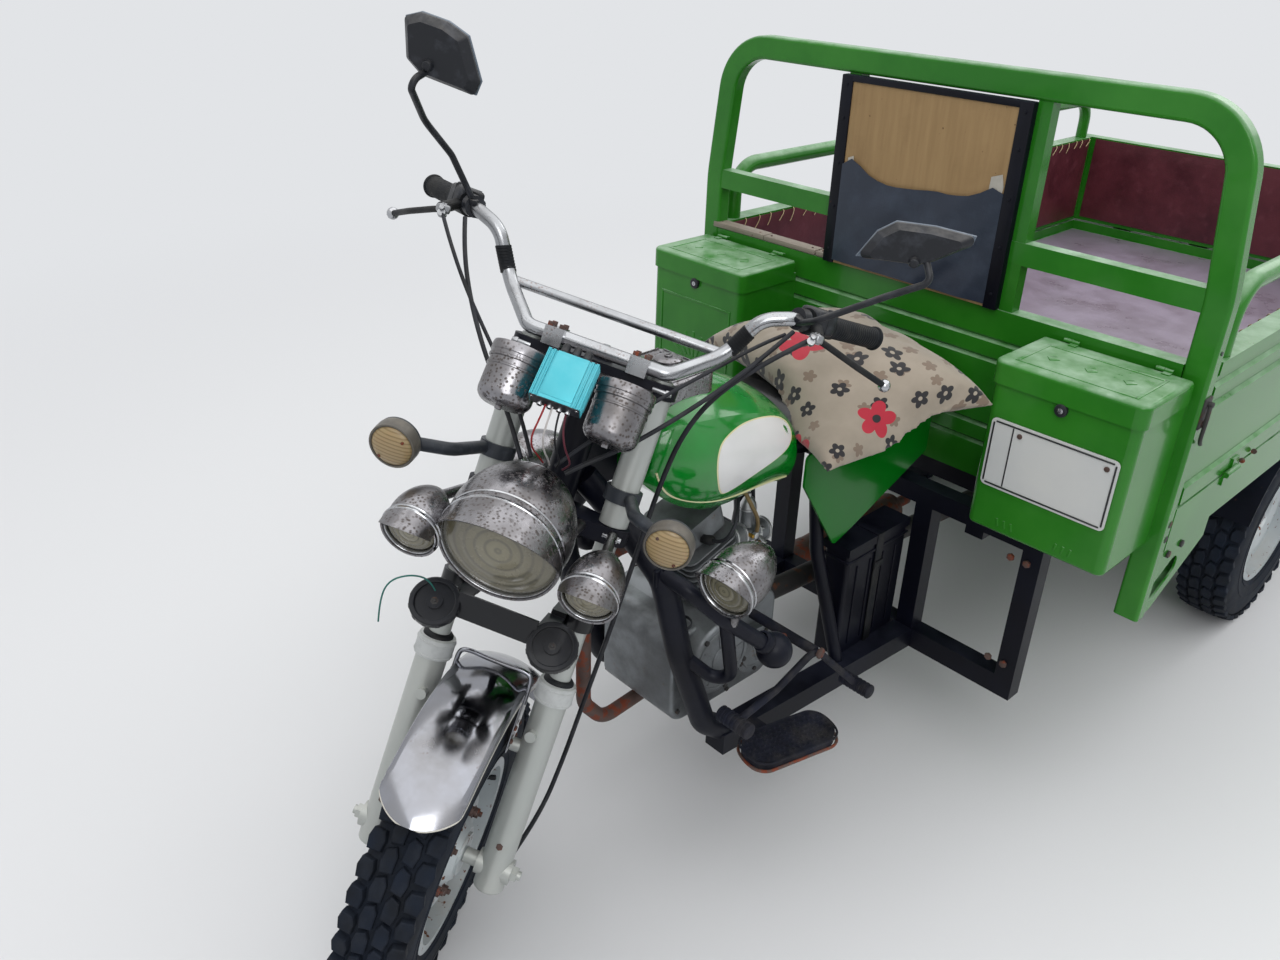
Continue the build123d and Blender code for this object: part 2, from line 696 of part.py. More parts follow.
def chassis():
    """The bed's two long rails, their cross members, the front beams and the brackets below them."""
    rail_in = CHASSIS_RAIL_X - CHASSIS_RAIL_WIDTH / 2
    rail_out = CHASSIS_RAIL_X + CHASSIS_RAIL_WIDTH / 2
    body = both(box(rail_in, rail_out, BEAM_Y, BED_LENGTH - 20, CHASSIS_RAIL_LOW, CHASSIS_RAIL_TOP))
    half = BRACKET_X + BEAM_HALF
    front = BEAM_Y - BEAM_HALF
    back = BEAM_Y + BEAM_HALF
    low = LOWER_RAIL_Z - LOWER_RAIL_SIZE / 2
    body += box(-half, half, front, back, low, low + LOWER_RAIL_SIZE)
    body += box(-half, half, front, back, CHASSIS_RAIL_TOP - 2 * BEAM_HALF, CHASSIS_RAIL_TOP)
    post = box(BRACKET_X - BEAM_HALF, half, front, back, low, CHASSIS_RAIL_TOP)
    inner = box(INNER_POST_X - BEAM_HALF, INNER_POST_X + BEAM_HALF, front, back, LOWER_RAIL_Z, CHASSIS_RAIL_TOP)
    body += both(post + inner)
    cross_low = CHASSIS_RAIL_LOW + 10
    for y in (60, 620, 1400, BED_LENGTH - 40):
        body += box(-CHASSIS_RAIL_X, CHASSIS_RAIL_X, y - 20, y + 20, cross_low, cross_low + 40)
    return body


# Engine


def engine():
    """A crankcase with round side covers, a leaning finned cylinder, its head and the carburettor."""
    case = box(-ENGINE_HALF, ENGINE_HALF, ENGINE_FRONT, ENGINE_BACK, ENGINE_LOW, ENGINE_TOP - 40)
    case = fillet(case.edges().filter_by(Axis.X), 40)
    case = fillet(case.edges().filter_by(GeomType.LINE), 8)
    cover = drum((0, -655, 430), (1, 0, 0), 78, 2 * 126)
    cover = fillet(cover.edges().filter_by(GeomType.CIRCLE), 10)
    small = drum((0, -545, 390), (1, 0, 0), 50, 2 * 116)
    tilt = radians(CYLINDER_TILT)
    base = (0, -584, 490)
    plane = Plane(origin=base, x_dir=(1, 0, 0), z_dir=(0, -sin(tilt), cos(tilt)))
    barrel = Pos(0, 0, 80) * Cylinder(46, 180)
    fin = extrude(RectangleRounded(140, 128, 20), amount=FIN_THICK)
    fins = [Pos(0, 0, FIN_START + FIN_PITCH * i) * fin for i in range(FIN_COUNT)]
    top = FIN_START + FIN_PITCH * FIN_COUNT
    head = Pos(0, 0, top + 22) * Box(104, 112, 48)
    head = fillet(head.edges().filter_by(Axis.Z), 14)
    stack = plane.location * (barrel + fins + head)
    body = case + cover + small + stack
    carburettor = drum((34, -505, 600), (0, 1, -0.15), 21, 100) + Pos(34, -505, 566) * Cylinder(20, 60)
    carburettor += Pos(34, -505, 640) * Cylinder(15, 40)
    intake = drum((20, -556, 606), (0.2, 1, -0.1), 17, 60)
    port = drum((-35, -690, 640), (0, 1, 0), 19, 44)
    return body + carburettor + intake + port


def exhaust():
    """The header pipe down the engine's front and under it, with the silencer on the right."""
    header = rod(
        [
            (-35, -712 - CLEAR, 640),
            (-35, -790, 640),
            (-35, -852, 560),
            (-35, -852, 330),
            (-40, -800, 262),
            (-70, -420, 256),
            (-225, -230, 186),
            (-235, -60, 190),
        ],
        14,
        [40, 60, 60, 60, 60, 60],
    )
    can = drum((-235, 180, 190), (0, 1, 0), 42, 520)
    can = fillet(can.edges().filter_by(GeomType.CIRCLE), 12)
    tail = drum((-235, 470, 190), (0, 1, 0), 15, 80)
    return header + can + tail


# Tank, seat and covers


def fuel_tank():
    """A teardrop tank, widest behind the steering head, with a tunnel for the backbone."""

    def section(y, half, low, top):
        base = half * 0.7
        shoulder = half * 0.82
        belly_z = low + (top - low) * 0.35
        shoulder_z = low + (top - low) * 0.8
        outline = (
            Line((-base, low), (base, low))
            + ThreePointArc((base, low), (half, belly_z), (shoulder, shoulder_z))
            + ThreePointArc((shoulder, shoulder_z), (0, top), (-shoulder, shoulder_z))
            + ThreePointArc((-shoulder, shoulder_z), (-half, belly_z), (-base, low))
        )
        return Plane(origin=(0, y, 0), x_dir=(1, 0, 0), z_dir=(0, -1, 0)) * make_face(outline)

    stations = [
        (-478, 112, 722, 878),
        (-580, 126, 736, 940),
        (-690, 132, 748, 968),
        (-770, 118, 788, 962),
        (-812, 84, 830, 930),
    ]
    body = loft([section(*row) for row in stations])
    tunnel = rod(BACKBONE, BACKBONE_TUBE + CLEAR, 160)
    slot = box(-BACKBONE_TUBE - CLEAR, BACKBONE_TUBE + CLEAR, -830, -470, 600, 862)
    seat_tubes = rod(SEAT_RAIL, SEAT_TUBE + 2, SEAT_BENDS)
    head_space = STRAIGHT * Pos(0, 0, -140) * Cylinder(64, 320)
    return body - tunnel - slot - both(seat_tubes) - head_space


def tank_console():
    """A plated cover with the filler on top of the tank."""
    body = box(-68, 68, -786, -650, 950, 986)
    body = fillet(body.edges().filter_by(Axis.Z), 22)
    body = fillet(body.faces().sort_by(Axis.Z)[-1].edges(), 8)
    cap = Pos(0, -700, 990) * Cylinder(24, 14)
    return body + cap - fuel_tank() - STRAIGHT * Pos(0, 0, -140) * Cylinder(64, 400)


def seat():
    """A bench that widens towards the bed, on the frame's seat tubes."""
    left = [(88, -474), (150, -300), (160, -22)]
    right = [(-x, y) for x, y in reversed(left)]
    body = Pos(0, 0, SEAT_LOW) * extrude(make_face(Polyline(*left, *right, close=True)), amount=SEAT_THICK)
    body = fillet(body.faces().sort_by(Axis.Z)[-1].edges(), 16)
    tubes = rod(SEAT_RAIL, SEAT_TUBE + CLEAR, SEAT_BENDS)
    tunnel = rod(BACKBONE, BACKBONE_TUBE + CLEAR, 160)
    return body - both(tubes) - tunnel


def seat_cushion():
    """The soft cushion that lies askew across the seat, one corner hanging over its edge."""
    low = SEAT_LOW + SEAT_THICK + CLEAR
    place = Pos(52, -290, (low + CUSHION_TOP) / 2) * Rot(0, 0, CUSHION_TURN)
    body = place * Box(CUSHION_LENGTH, CUSHION_WIDTH, CUSHION_TOP - low)
    body = fillet(body.edges().filter_by(Axis.Z), 70)
    body = fillet(body.faces().sort_by(Axis.Z)[-1].edges(), 40)
    corner = Pos(172, -462, 846) * Sphere(56)
    return body + (corner - seat())


def side_covers():
    """The painted panels under the seat, which come to a point at the bottom."""
    top = SEAT_LOW - CLEAR
    outline = Polyline((-470, 728), (-356, 560), (-300, 580), (-70, 676), (-70, top), (-470, top), close=True)
    plane = Plane(origin=(SIDE_COVER_X, 0, 0), x_dir=(0, 1, 0), z_dir=(1, 0, 0))
    panel = extrude(plane * make_face(outline), amount=5)
    panel = fillet(panel.edges().filter_by(Axis.X), 12)
    return both(panel)


def battery_box():
    """The black box beside the frame on the left lower rail."""
    body = box(96, 156, -330, -132, LOWER_RAIL_Z + LOWER_RAIL_SIZE / 2 + 0.2, 548)
    body = fillet(body.edges().filter_by(Axis.Z), 8)
    rim = box(93, 159, -333, -129, 530, 548)
    strut = rod(SEAT_STRUT, SEAT_TUBE + CLEAR, 60)
    return body + rim - strut


# Guards and foot controls


GUARD_ARM = [(136, -834, 704), (190, -818, 685), (225, -776, 633), (240, -730, 590), (250, -676, 540)]
GUARD_BENDS = [40, 60, 60]
GUARD_TUBE = 14.0


def crash_bars():
    """A guard arm on each side with a ball on its end, stayed by a bent tube below it."""
    arm = rod(GUARD_ARM, GUARD_TUBE, GUARD_BENDS)
    loop = rod([(144, -788, 522), (212, -716, 436), (224, -764, 618)], 12, 26)
    ball = Pos(250, -662, 526) * Sphere(32)
    frame = rod(DOWN_TUBE, FRAME_TUBE + CLEAR, DOWN_BENDS)
    return both(arm + loop + ball - frame)


GUARD_LAMP = (48.0, 112.0, 26.0)
GUARD_PLACE = Plane(origin=(270, -826, 733), x_dir=(1, 0, 0), z_dir=(0.12, -0.98, -0.16)).location


def guard_lamps():
    """The plated lamps on the guard arms."""
    stem = rod([(262, -772, 716), (236, -762, 622)], 9)
    arm = rod(GUARD_ARM, GUARD_TUBE + CLEAR, GUARD_BENDS)
    return both(GUARD_PLACE * lamp(*GUARD_LAMP) + stem - arm)


def guard_lenses():
    return both(GUARD_PLACE * lens(GUARD_LAMP[0]))


def foot_controls():
    """Oval foot pads on brackets from the lower rails, with the rocker lever and the brake pedal."""
    pad_outline = Plane(origin=(266, -612, 292), x_dir=(0.25, 1, 0), z_dir=(0, 0, 1)) * SlotOverall(190, 86)
    pad = extrude(pad_outline, amount=20)
    bracket = box(170, 240, -640, -600, 282, 292)
    rail = lower_rail(LOWER_RAIL_SIZE + 2 * CLEAR)
    lever = rod([(252, -750, 415), (252, -647, 430), (250, -540, 466), (250, -391, 308)], 7, [50, 40])
    toe = drum((252, -752, 417), (1, 0, 0), 13, 64)
    heel = drum((252, -389, 306), (1, 0, 0), 13, 64)
    pivot = drum(((ENGINE_HALF + 250) / 2, -540, 462), (1, 0, 0), 10, 250 - ENGINE_HALF - 2 * CLEAR)
    return both(pad + (bracket - rail)) + lever + toe + heel + pivot


# Running gear


def rear_axle():
    """The axle with its differential housing, stub ends and backing plates, and the shaft from the engine."""
    z = REAR_TYRE_RADIUS
    tube = drum((0, REAR_AXLE_Y, z), (1, 0, 0), AXLE_TUBE, REAR_TRACK - 200)
    stubs = drum((0, REAR_AXLE_Y, z), (1, 0, 0), STUB_RADIUS, 2 * (REAR_TRACK / 2 + 4))
    housing = Pos(0, REAR_AXLE_Y, z) * Sphere(96) & box(-70, 70, 0, BED_LENGTH, 0, FLOOR_TOP)
    nose = drum((0, REAR_AXLE_Y - 110, z + 6), (0, 1, 0), 46, 110)
    plate = drum((REAR_TRACK / 2 - 92, REAR_AXLE_Y, z), (1, 0, 0), 90, 8)
    shaft = rod([(0, -455, 398), (0, REAR_AXLE_Y - 160, z + 6)], 22)
    shaft += drum((0, REAR_AXLE_Y - 170, z + 6), (0, 1, 0), 40, 24)
    shaft += drum((0, ENGINE_BACK + CLEAR + 13, 398), (0, 1, 0), 40, 26)
    return tube + stubs + housing + nose + both(plate) + shaft


def leaf_springs():
    """Six leaves a side, shorter towards the bottom, clamped on the axle and hung from the rails."""
    sag = SPRING_EYE_Z - (REAR_TYRE_RADIUS + AXLE_TUBE + LEAF_COUNT * LEAF)
    plane = Plane(origin=(SPRING_X - SPRING_WIDTH / 2, REAR_AXLE_Y, 0), x_dir=(0, 1, 0), z_dir=(1, 0, 0))
    spring = None
    for i in range(LEAF_COUNT):
        reach = SPRING_HALF * (1 - 0.13 * i)
        low = SPRING_EYE_Z - sag - LEAF * i
        rise = sag * (reach / SPRING_HALF) ** 2
        upper = ThreePointArc((-reach, low + rise), (0, low), (reach, low + rise))
        lower = ThreePointArc((-reach, low + rise - LEAF), (0, low - LEAF), (reach, low + rise - LEAF))
        ends = [Line((x, low + rise), (x, low + rise - LEAF)) for x in (-reach, reach)]
        leaf = extrude(plane * make_face(upper + lower + ends), amount=SPRING_WIDTH)
        spring = leaf if spring is None else spring + leaf
    tube_top = REAR_TYRE_RADIUS + AXLE_TUBE
    for y in (REAR_AXLE_Y - SPRING_HALF, REAR_AXLE_Y + SPRING_HALF):
        spring += drum((SPRING_X, y, SPRING_EYE_Z + 6), (1, 0, 0), 15, SPRING_WIDTH)
        spring += box(SPRING_X - 6, SPRING_X + 6, y - 16, y + 16, SPRING_EYE_Z, CHASSIS_RAIL_LOW)
    clamp_low, clamp_top = tube_top - 6, tube_top + LEAF_COUNT * LEAF + 8
    spring += box(SPRING_X - 34, SPRING_X + 34, REAR_AXLE_Y - 44, REAR_AXLE_Y + 44, clamp_low, clamp_top)
    tube = drum((0, REAR_AXLE_Y, REAR_TYRE_RADIUS), (1, 0, 0), AXLE_TUBE, REAR_TRACK)
    return both(spring - tube)


def mudguards():
    """A curved guard over each rear wheel, with the flap in front of it."""
    radius = REAR_TYRE_RADIUS + 22
    sheet = revolve(Rot(-70, 0, 0) * (Plane.XZ * (Pos(0, radius) * Rectangle(136, 3))), Axis.X, 140)
    brackets = [box(50, 60, y - 12, y + 12, radius - 4, BED_RAIL_LOW - REAR_TYRE_RADIUS) for y in (-40, 40)]
    return both(rear_wheel_place() * (sheet + brackets))


# Load bed

BED_HALF = BED_WIDTH / 2
INNER_HALF = BED_HALF - BED_RAIL_WIDTH
TAILGATE_FRONT = BED_LENGTH - WALL_THICK
SIDE_START = HOOP_DEPTH + WALL_GAP
SIDE_END = TAILGATE_FRONT - WALL_GAP


def bed_floor():
    """The floor sheet on its cross members, inside a rail that runs round the bed."""
    body = box(-BED_HALF, BED_HALF, HOOP_DEPTH, BED_LENGTH, FLOOR_TOP - FLOOR_SHEET, FLOOR_TOP)
    side = box(INNER_HALF, BED_HALF, HOOP_DEPTH, BED_LENGTH, BED_RAIL_LOW, BED_RAIL_TOP)
    body += both(side)
    body += box(-BED_HALF, BED_HALF, TAILGATE_FRONT, BED_LENGTH, BED_RAIL_LOW + 16, BED_RAIL_TOP)
    pitch = (TAILGATE_FRONT - HOOP_DEPTH - CROSS_WIDTH) / (CROSS_COUNT - 1)
    for i in range(CROSS_COUNT):
        y = HOOP_DEPTH + pitch * i
        body += box(-INNER_HALF, INNER_HALF, y, y + CROSS_WIDTH, CHASSIS_RAIL_TOP, FLOOR_TOP)
    for y in hinge_places(SIDE_START, SIDE_END):
        body += both(hinge_barrel(y - HINGE_LENGTH / 2, False))
    for x in (-400, -134, 134, 400):
        body += tail_barrel(x - HINGE_LENGTH / 2, False)
    return body


def hinge_places(start, end):
    """Where the hinges sit along an edge."""
    return [start + (end - start) * (i + 0.5) / HINGE_COUNT for i in range(HINGE_COUNT)]


SIDE_PIVOT_Z = BED_RAIL_TOP + WALL_GAP / 2
SIDE_PIVOT_X = BED_HALF + HINGE_RADIUS


def hinge_barrel(y, moving):
    """One half of a side hinge: a barrel on the pivot and its leaf."""
    length = HINGE_LENGTH / 2 - CLEAR
    y += HINGE_LENGTH / 2 + CLEAR if moving else 0
    barrel = drum((SIDE_PIVOT_X, y + length / 2, SIDE_PIVOT_Z), (0, 1, 0), HINGE_RADIUS, length)
    rise = (SIDE_PIVOT_Z, SIDE_PIVOT_Z + 24) if moving else (SIDE_PIVOT_Z - 24, SIDE_PIVOT_Z)
    return barrel + box(BED_HALF, BED_HALF + 4, y, y + length, *rise)


TAIL_PIVOT_Y = BED_LENGTH + HINGE_RADIUS


def tail_barrel(x, moving):
    """One half of a tailgate hinge."""
    length = HINGE_LENGTH / 2 - CLEAR
    x += HINGE_LENGTH / 2 + CLEAR if moving else 0
    barrel = drum((x + length / 2, TAIL_PIVOT_Y, SIDE_PIVOT_Z), (1, 0, 0), HINGE_RADIUS, length)
    rise = (SIDE_PIVOT_Z, SIDE_PIVOT_Z + 24) if moving else (SIDE_PIVOT_Z - 24, SIDE_PIVOT_Z)
    return barrel + box(x, x + length, BED_LENGTH, BED_LENGTH + 4, *rise)


def wall_section():
    """The section of a bed wall: flat inside, with pressed ribs outside, as (depth outwards, height)."""
    low = BED_RAIL_TOP + WALL_GAP
    ribs = [low + 34, low + 34 + RIB_HEIGHT + 46, WALL_TOP - 90, WALL_TOP - 48]
    outer = [(WALL_THICK, low)]
    deep = WALL_THICK - RIB_DEPTH
    spans = [(ribs[0], ribs[2] - 20), (ribs[2], ribs[2] + RIB_HEIGHT), (ribs[3], ribs[3] + RIB_HEIGHT)]
    for start, end in spans:
        outer += [(WALL_THICK, start), (deep, start + RIB_DEPTH), (deep, end - RIB_DEPTH), (WALL_THICK, end)]
    outer += [(WALL_THICK, WALL_TOP), (0, WALL_TOP), (0, low)]
    return make_face(Polyline(*outer, close=True))


def side():
    """The left drop side: its wall, the guard rail on top and its hinge halves."""
    plane = Plane(origin=(BED_HALF - WALL_THICK, SIDE_START, 0), x_dir=(1, 0, 0), z_dir=(0, -1, 0))
    wall = extrude(plane * wall_section(), amount=-(SIDE_END - SIDE_START))
    x = BED_HALF - WALL_THICK / 2
    front = SIDE_START + RAIL_INSET
    back = SIDE_END - RAIL_INSET
    top = RAIL_TOP - RAIL_RADIUS
    rail = drum((x, (front + back) / 2, top), (0, 1, 0), RAIL_RADIUS, back - front - 2 * RAIL_BEND)
    bend = revolve(Pos(RAIL_BEND, 0) * Circle(RAIL_RADIUS), Axis.Y, 90)
    for y, start in ((front + RAIL_BEND, 180), (back - RAIL_BEND, 270)):
        plane = Plane(origin=(x, y, top - RAIL_BEND), x_dir=(0, 1, 0), z_dir=(0, 0, 1))
        rail += plane.location * Rot(0, start, 0) * bend
    rise = top - RAIL_BEND - WALL_TOP
    for y in (front, back):
        rail += drum((x, y, WALL_TOP + rise / 2), (0, 0, 1), RAIL_RADIUS, rise)
    body = wall + rail
    for y in (SIDE_START + 460, (SIDE_START + SIDE_END) / 2, SIDE_END - 460):
        body += drum((x, y, (WALL_TOP + top) / 2), (0, 0, 1), RAIL_RADIUS * 0.7, top - WALL_TOP)
    for y in hinge_places(SIDE_START, SIDE_END):
        body += hinge_barrel(y - HINGE_LENGTH / 2, True)
    return body


def tailgate():
    """The rear wall, hinged along its bottom edge."""
    plane = Plane(origin=(-BED_HALF, TAILGATE_FRONT, 0), x_dir=(0, 1, 0), z_dir=(1, 0, 0))
    body = extrude(plane * wall_section(), amount=BED_WIDTH)
    for x in (-400, -134, 134, 400):
        body += tail_barrel(x - HINGE_LENGTH / 2, True)
    return body


def front_hoop():
    """The bent hoop of square tube, its bar and posts, and the gussets under the bed."""
    route = [
        (-BED_HALF + HOOP_FACE / 2, HOOP_DEPTH / 2, HOOP_FOOT),
        (-BED_HALF + HOOP_FACE / 2, HOOP_DEPTH / 2, HOOP_KNEE),
        (HOOP_LEAN - BED_HALF, HOOP_DEPTH / 2, HOOP_TOP - HOOP_FACE / 2),
        (BED_HALF - HOOP_LEAN, HOOP_DEPTH / 2, HOOP_TOP - HOOP_FACE / 2),
        (BED_HALF - HOOP_FACE / 2, HOOP_DEPTH / 2, HOOP_KNEE),
        (BED_HALF - HOOP_FACE / 2, HOOP_DEPTH / 2, HOOP_FOOT),
    ]
    path = FilletPolyline(*route, radius=[300, HOOP_BEND, HOOP_BEND, 300])
    foot = Plane(origin=path @ 0, x_dir=(1, 0, 0), z_dir=(0, 0, 1))
    section = foot * RectangleRounded(HOOP_FACE, HOOP_DEPTH, 7)
    hoop = sweep(section, path=path)
    bar = box(HOOP_FACE - BED_HALF - 4, BED_HALF - HOOP_FACE + 4, 3, 33, HOOP_BAR_LOW, HOOP_BAR_HIGH)
    post_in, post_out = MID_POST_X - MID_POST_WIDTH / 2, MID_POST_X + MID_POST_WIDTH / 2
    post = box(post_in, post_out, 4, 32, SILL_TOP - 10, HOOP_TOP - HOOP_FACE + 6)
    root = HOOP_DEPTH - 4
    low = HOOP_FOOT + 1
    outline = Polyline(
        (root, low),
        (GUSSET_KNEE, low),
        (GUSSET_BACK, GUSSET_TIP),
        (GUSSET_BACK, BED_RAIL_LOW),
        (root, BED_RAIL_LOW),
        close=True,
    )
    plane = Plane(origin=(BED_HALF - 8, 0, 0), x_dir=(0, 1, 0), z_dir=(1, 0, 0))
    plate = extrude(plane * make_face(outline), amount=GUSSET_PLATE)
    hole = extrude(plane * (Pos(84, 526) * Rot(0, 0, 24) * SlotOverall(116, 46)), amount=20, both=True)
    bolts = [extrude(plane * (Pos(y, 588) * Circle(6)), amount=20, both=True) for y in (70, 130)]
    fold = Polyline(
        (GUSSET_KNEE, low),
        (GUSSET_BACK, GUSSET_TIP),
        (GUSSET_BACK, GUSSET_TIP + GUSSET_PLATE),
        (GUSSET_KNEE, low + GUSSET_PLATE),
        close=True,
    )
    inward = Plane(origin=(BED_HALF - 8 - 22, 0, 0), x_dir=(0, 1, 0), z_dir=(1, 0, 0))
    lip = extrude(inward * make_face(fold), amount=26)
    gusset = plate + lip - hole - bolts
    return hoop + bar + both(post + gusset)


def front_panel():
    """The pressed panel between the posts, with a folded sill along its top."""
    half = BED_HALF - HOOP_FACE
    body = box(-half, half, 0, PANEL_THICK, CHASSIS_RAIL_TOP, SILL_TOP - 10)
    body += box(-half, half, 0, HOOP_DEPTH, SILL_TOP - SILL_HEIGHT, SILL_TOP)
    for z in (878, 918, 700, 740):
        body -= Pos(0, 0, z) * Rot(45, 0, 0) * Box(2 * half - 60, 8, 8)
    body += box(-half, half, PANEL_THICK, HOOP_DEPTH, CHASSIS_RAIL_TOP, FLOOR_TOP)
    return body - front_hoop()


def window_panel():
    """The sheet of plywood in a dark frame that covers the middle of the hoop."""
    left, right = MID_POST_X - MID_POST_WIDTH / 2 - 2, -MID_POST_X - MID_POST_WIDTH / 2 - 4
    sheet = box(right, left, -9, 4 - CLEAR, SILL_TOP + 2, HOOP_TOP - HOOP_FACE - 4)
    return sheet - box(-600, 600, 3 - CLEAR, 40, HOOP_BAR_LOW - CLEAR, HOOP_BAR_HIGH + CLEAR)


BOX_OUT = BED_HALF - BOX_EDGE
BOX_IN = BOX_OUT - BOX_WIDTH


def tool_box():
    """The left tool box: an open steel box on the front panel, with its lock."""
    outer = box(BOX_IN, BOX_OUT, -BOX_DEPTH, 0, BOX_LOW, BOX_RIM)
    outer = fillet(outer.edges().filter_by(Axis.Z).group_by(Axis.Y)[0], BOX_CORNER)
    outer = fillet(outer.faces().sort_by(Axis.Z)[0].edges(), 10)
    front, back = -BOX_DEPTH + BOX_WALL, -BOX_WALL
    inner = box(BOX_IN + BOX_WALL, BOX_OUT - BOX_WALL, front, back, BOX_LOW + BOX_WALL, BOX_RIM + 10)
    inner = fillet(inner.edges().filter_by(Axis.Z).group_by(Axis.Y)[0], BOX_CORNER - BOX_WALL)
    body = outer - inner
    body += box(BOX_IN + 10, BOX_OUT - 10, -BOX_WALL, 0, BOX_RIM - 1, BOX_TOP - 12)
    middle = (BOX_IN + BOX_OUT) / 2
    body += drum((middle, -BOX_DEPTH - 2, BOX_RIM - 22), (0, 1, 0), 11, 8)
    for x in (BOX_IN + 50, BOX_OUT - 50):
        body += lid_barrel(x - 15, False)
    return body


LID_PIVOT_Y = -BOX_WALL - LID_HINGE_RADIUS - 1
LID_PIVOT_Z = BOX_TOP + LID_HINGE_RADIUS - 1
LID_BACK = LID_PIVOT_Y - LID_HINGE_RADIUS - 1


def lid_barrel(x, moving):
    """One half of a lid's hinge."""
    length = 15 - CLEAR
    x += 15 + CLEAR if moving else 0
    barrel = drum((x + length / 2, LID_PIVOT_Y, LID_PIVOT_Z), (1, 0, 0), LID_HINGE_RADIUS, length)
    if moving:
        return barrel + box(x, x + length, LID_PIVOT_Y - 16, LID_PIVOT_Y, BOX_TOP - 1, BOX_TOP + 2)
    leaf = box(x, x + length, -BOX_WALL, 0, BOX_TOP - 14, LID_PIVOT_Z)
    return barrel + leaf + box(x, x + length, LID_PIVOT_Y, 0, LID_PIVOT_Z - 2, LID_PIVOT_Z + 2)


def tool_lid():
    """The left lid: a shallow pressed cap whose lip hangs over the box."""
    reach = BOX_WALL + LID_GAP
    outer = box(BOX_IN - reach, BOX_OUT + reach, -BOX_DEPTH - reach, LID_BACK, BOX_RIM - 12, BOX_TOP)
    outer = fillet(outer.edges().filter_by(Axis.Z).group_by(Axis.Y)[0], BOX_CORNER + reach)
    outer = fillet(outer.faces().sort_by(Axis.Z)[-1].edges().sort_by(Axis.Y)[:-1], 8)
    front, top = -BOX_DEPTH - LID_GAP, BOX_TOP - BOX_WALL
    inner = box(BOX_IN - LID_GAP, BOX_OUT + LID_GAP, front, 0, BOX_RIM - 13, top)
    inner = fillet(inner.edges().filter_by(Axis.Z).group_by(Axis.Y)[0], BOX_CORNER + LID_GAP)
    body = outer - inner
    middle = (BOX_IN + BOX_OUT) / 2
    body -= drum((middle, -BOX_DEPTH, BOX_RIM - 22), (0, 1, 0), 12, 40)
    for x in (BOX_IN + 50, BOX_OUT - 50):
        body += lid_barrel(x - 15, True)
    return body


def number_plate():
    """The blank plate on the front of the left tool box."""
    middle = (BOX_IN + BOX_OUT) / 2
    face = Plane(origin=(middle, -BOX_DEPTH - PLATE_STUD, PLATE_Z), x_dir=(1, 0, 0), z_dir=(0, -1, 0))
    body = face.location * extrude(RectangleRounded(PLATE_WIDTH, PLATE_HEIGHT, 10), amount=2)
    for x in (middle - 90, middle + 90):
        body += drum((x, -BOX_DEPTH - PLATE_STUD / 2, PLATE_Z), (0, 1, 0), 6, PLATE_STUD)
    return body


def tail_lamps():
    """A lamp cluster under each rear corner of the bed."""
    lamp_body = box(360, 500, BED_LENGTH - 52, BED_LENGTH - 16, 560, 606)
    lamp_body = fillet(lamp_body.edges().filter_by(Axis.Y), 8)
    return both(lamp_body + box(400, 460, BED_LENGTH - 40, BED_LENGTH - 20, 606, BED_RAIL_LOW + 16))


# Assembly

left_tyre, left_rim = rear_tyre(), rear_rim()
left_side = side()
left_box, left_lid = tool_box(), tool_lid()
nodes = {
    "front_tyre": front_tyre(),
    "front_rim": front_rim(),
    "rear_tyre_left": left_tyre,
    "rear_rim_left": left_rim,
    "rear_tyre_right": mirrored(left_tyre),
    "rear_rim_right": mirrored(left_rim),
    "fork_bridges": fork_bridges(),
    "fork_stanchions": fork_stanchions(),
    "fork_legs": fork_legs(),
    "front_fender": front_fender(),
    "front_lamps": front_lamps(),
    "front_lenses": front_lenses(),
    "indicators": indicators(),
    "horns": horns(),
    "instrument_pods": instrument_pods(),
    "amplifier": amplifier(),
    "handlebar": handlebar(),
    "hand_controls": hand_controls(),
    "mirrors": mirrors(),
    "control_cables": control_cables(),
    "main_frame": main_frame(),
    "chassis": chassis(),
    "engine": engine(),
    "exhaust": exhaust(),
    "fuel_tank": fuel_tank(),
    "tank_console": tank_console(),
    "seat": seat(),
    "seat_cushion": seat_cushion(),
    "side_covers": side_covers(),
    "battery_box": battery_box(),
    "crash_bars": crash_bars(),
    "guard_lamps": guard_lamps(),
    "guard_lenses": guard_lenses(),
    "foot_controls": foot_controls(),
    "rear_axle": rear_axle(),
    "leaf_springs": leaf_springs(),
    "mudguards": mudguards(),
    "bed_floor": bed_floor(),
    "side_left": left_side,
    "side_right": mirrored(left_side),
    "tailgate": tailgate(),
    "front_hoop": front_hoop(),
    "front_panel": front_panel(),
    "window_panel": window_panel(),
    "tool_box_left": left_box,
    "tool_box_right": mirrored(left_box),
    "tool_lid_left": left_lid,
    "tool_lid_right": mirrored(left_lid),
    "number_plate": number_plate(),
    "tail_lamps": tail_lamps(),
}

os.makedirs("parts", exist_ok=True)
low = min(shape.bounding_box().min.Y for shape in nodes.values())
high = max(shape.bounding_box().max.Y for shape in nodes.values())
MIDDLE_Y = (low + high) / 2
for name, shape in nodes.items():
    export_step(Pos(0, -MIDDLE_Y, 0) * shape, f"parts/{name}.step")
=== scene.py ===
"""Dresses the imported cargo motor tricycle: finishes, soft goods and small fittings round the CAD model."""

import json
import logging
from dataclasses import dataclass, field
from enum import Enum
from math import cos, pi, radians, sin, sqrt, tau
from random import Random
from typing import Iterable, Optional, Sequence, Union

import bmesh
import bpy
from mathutils import Matrix, Vector
from mathutils.bvhtree import BVHTree

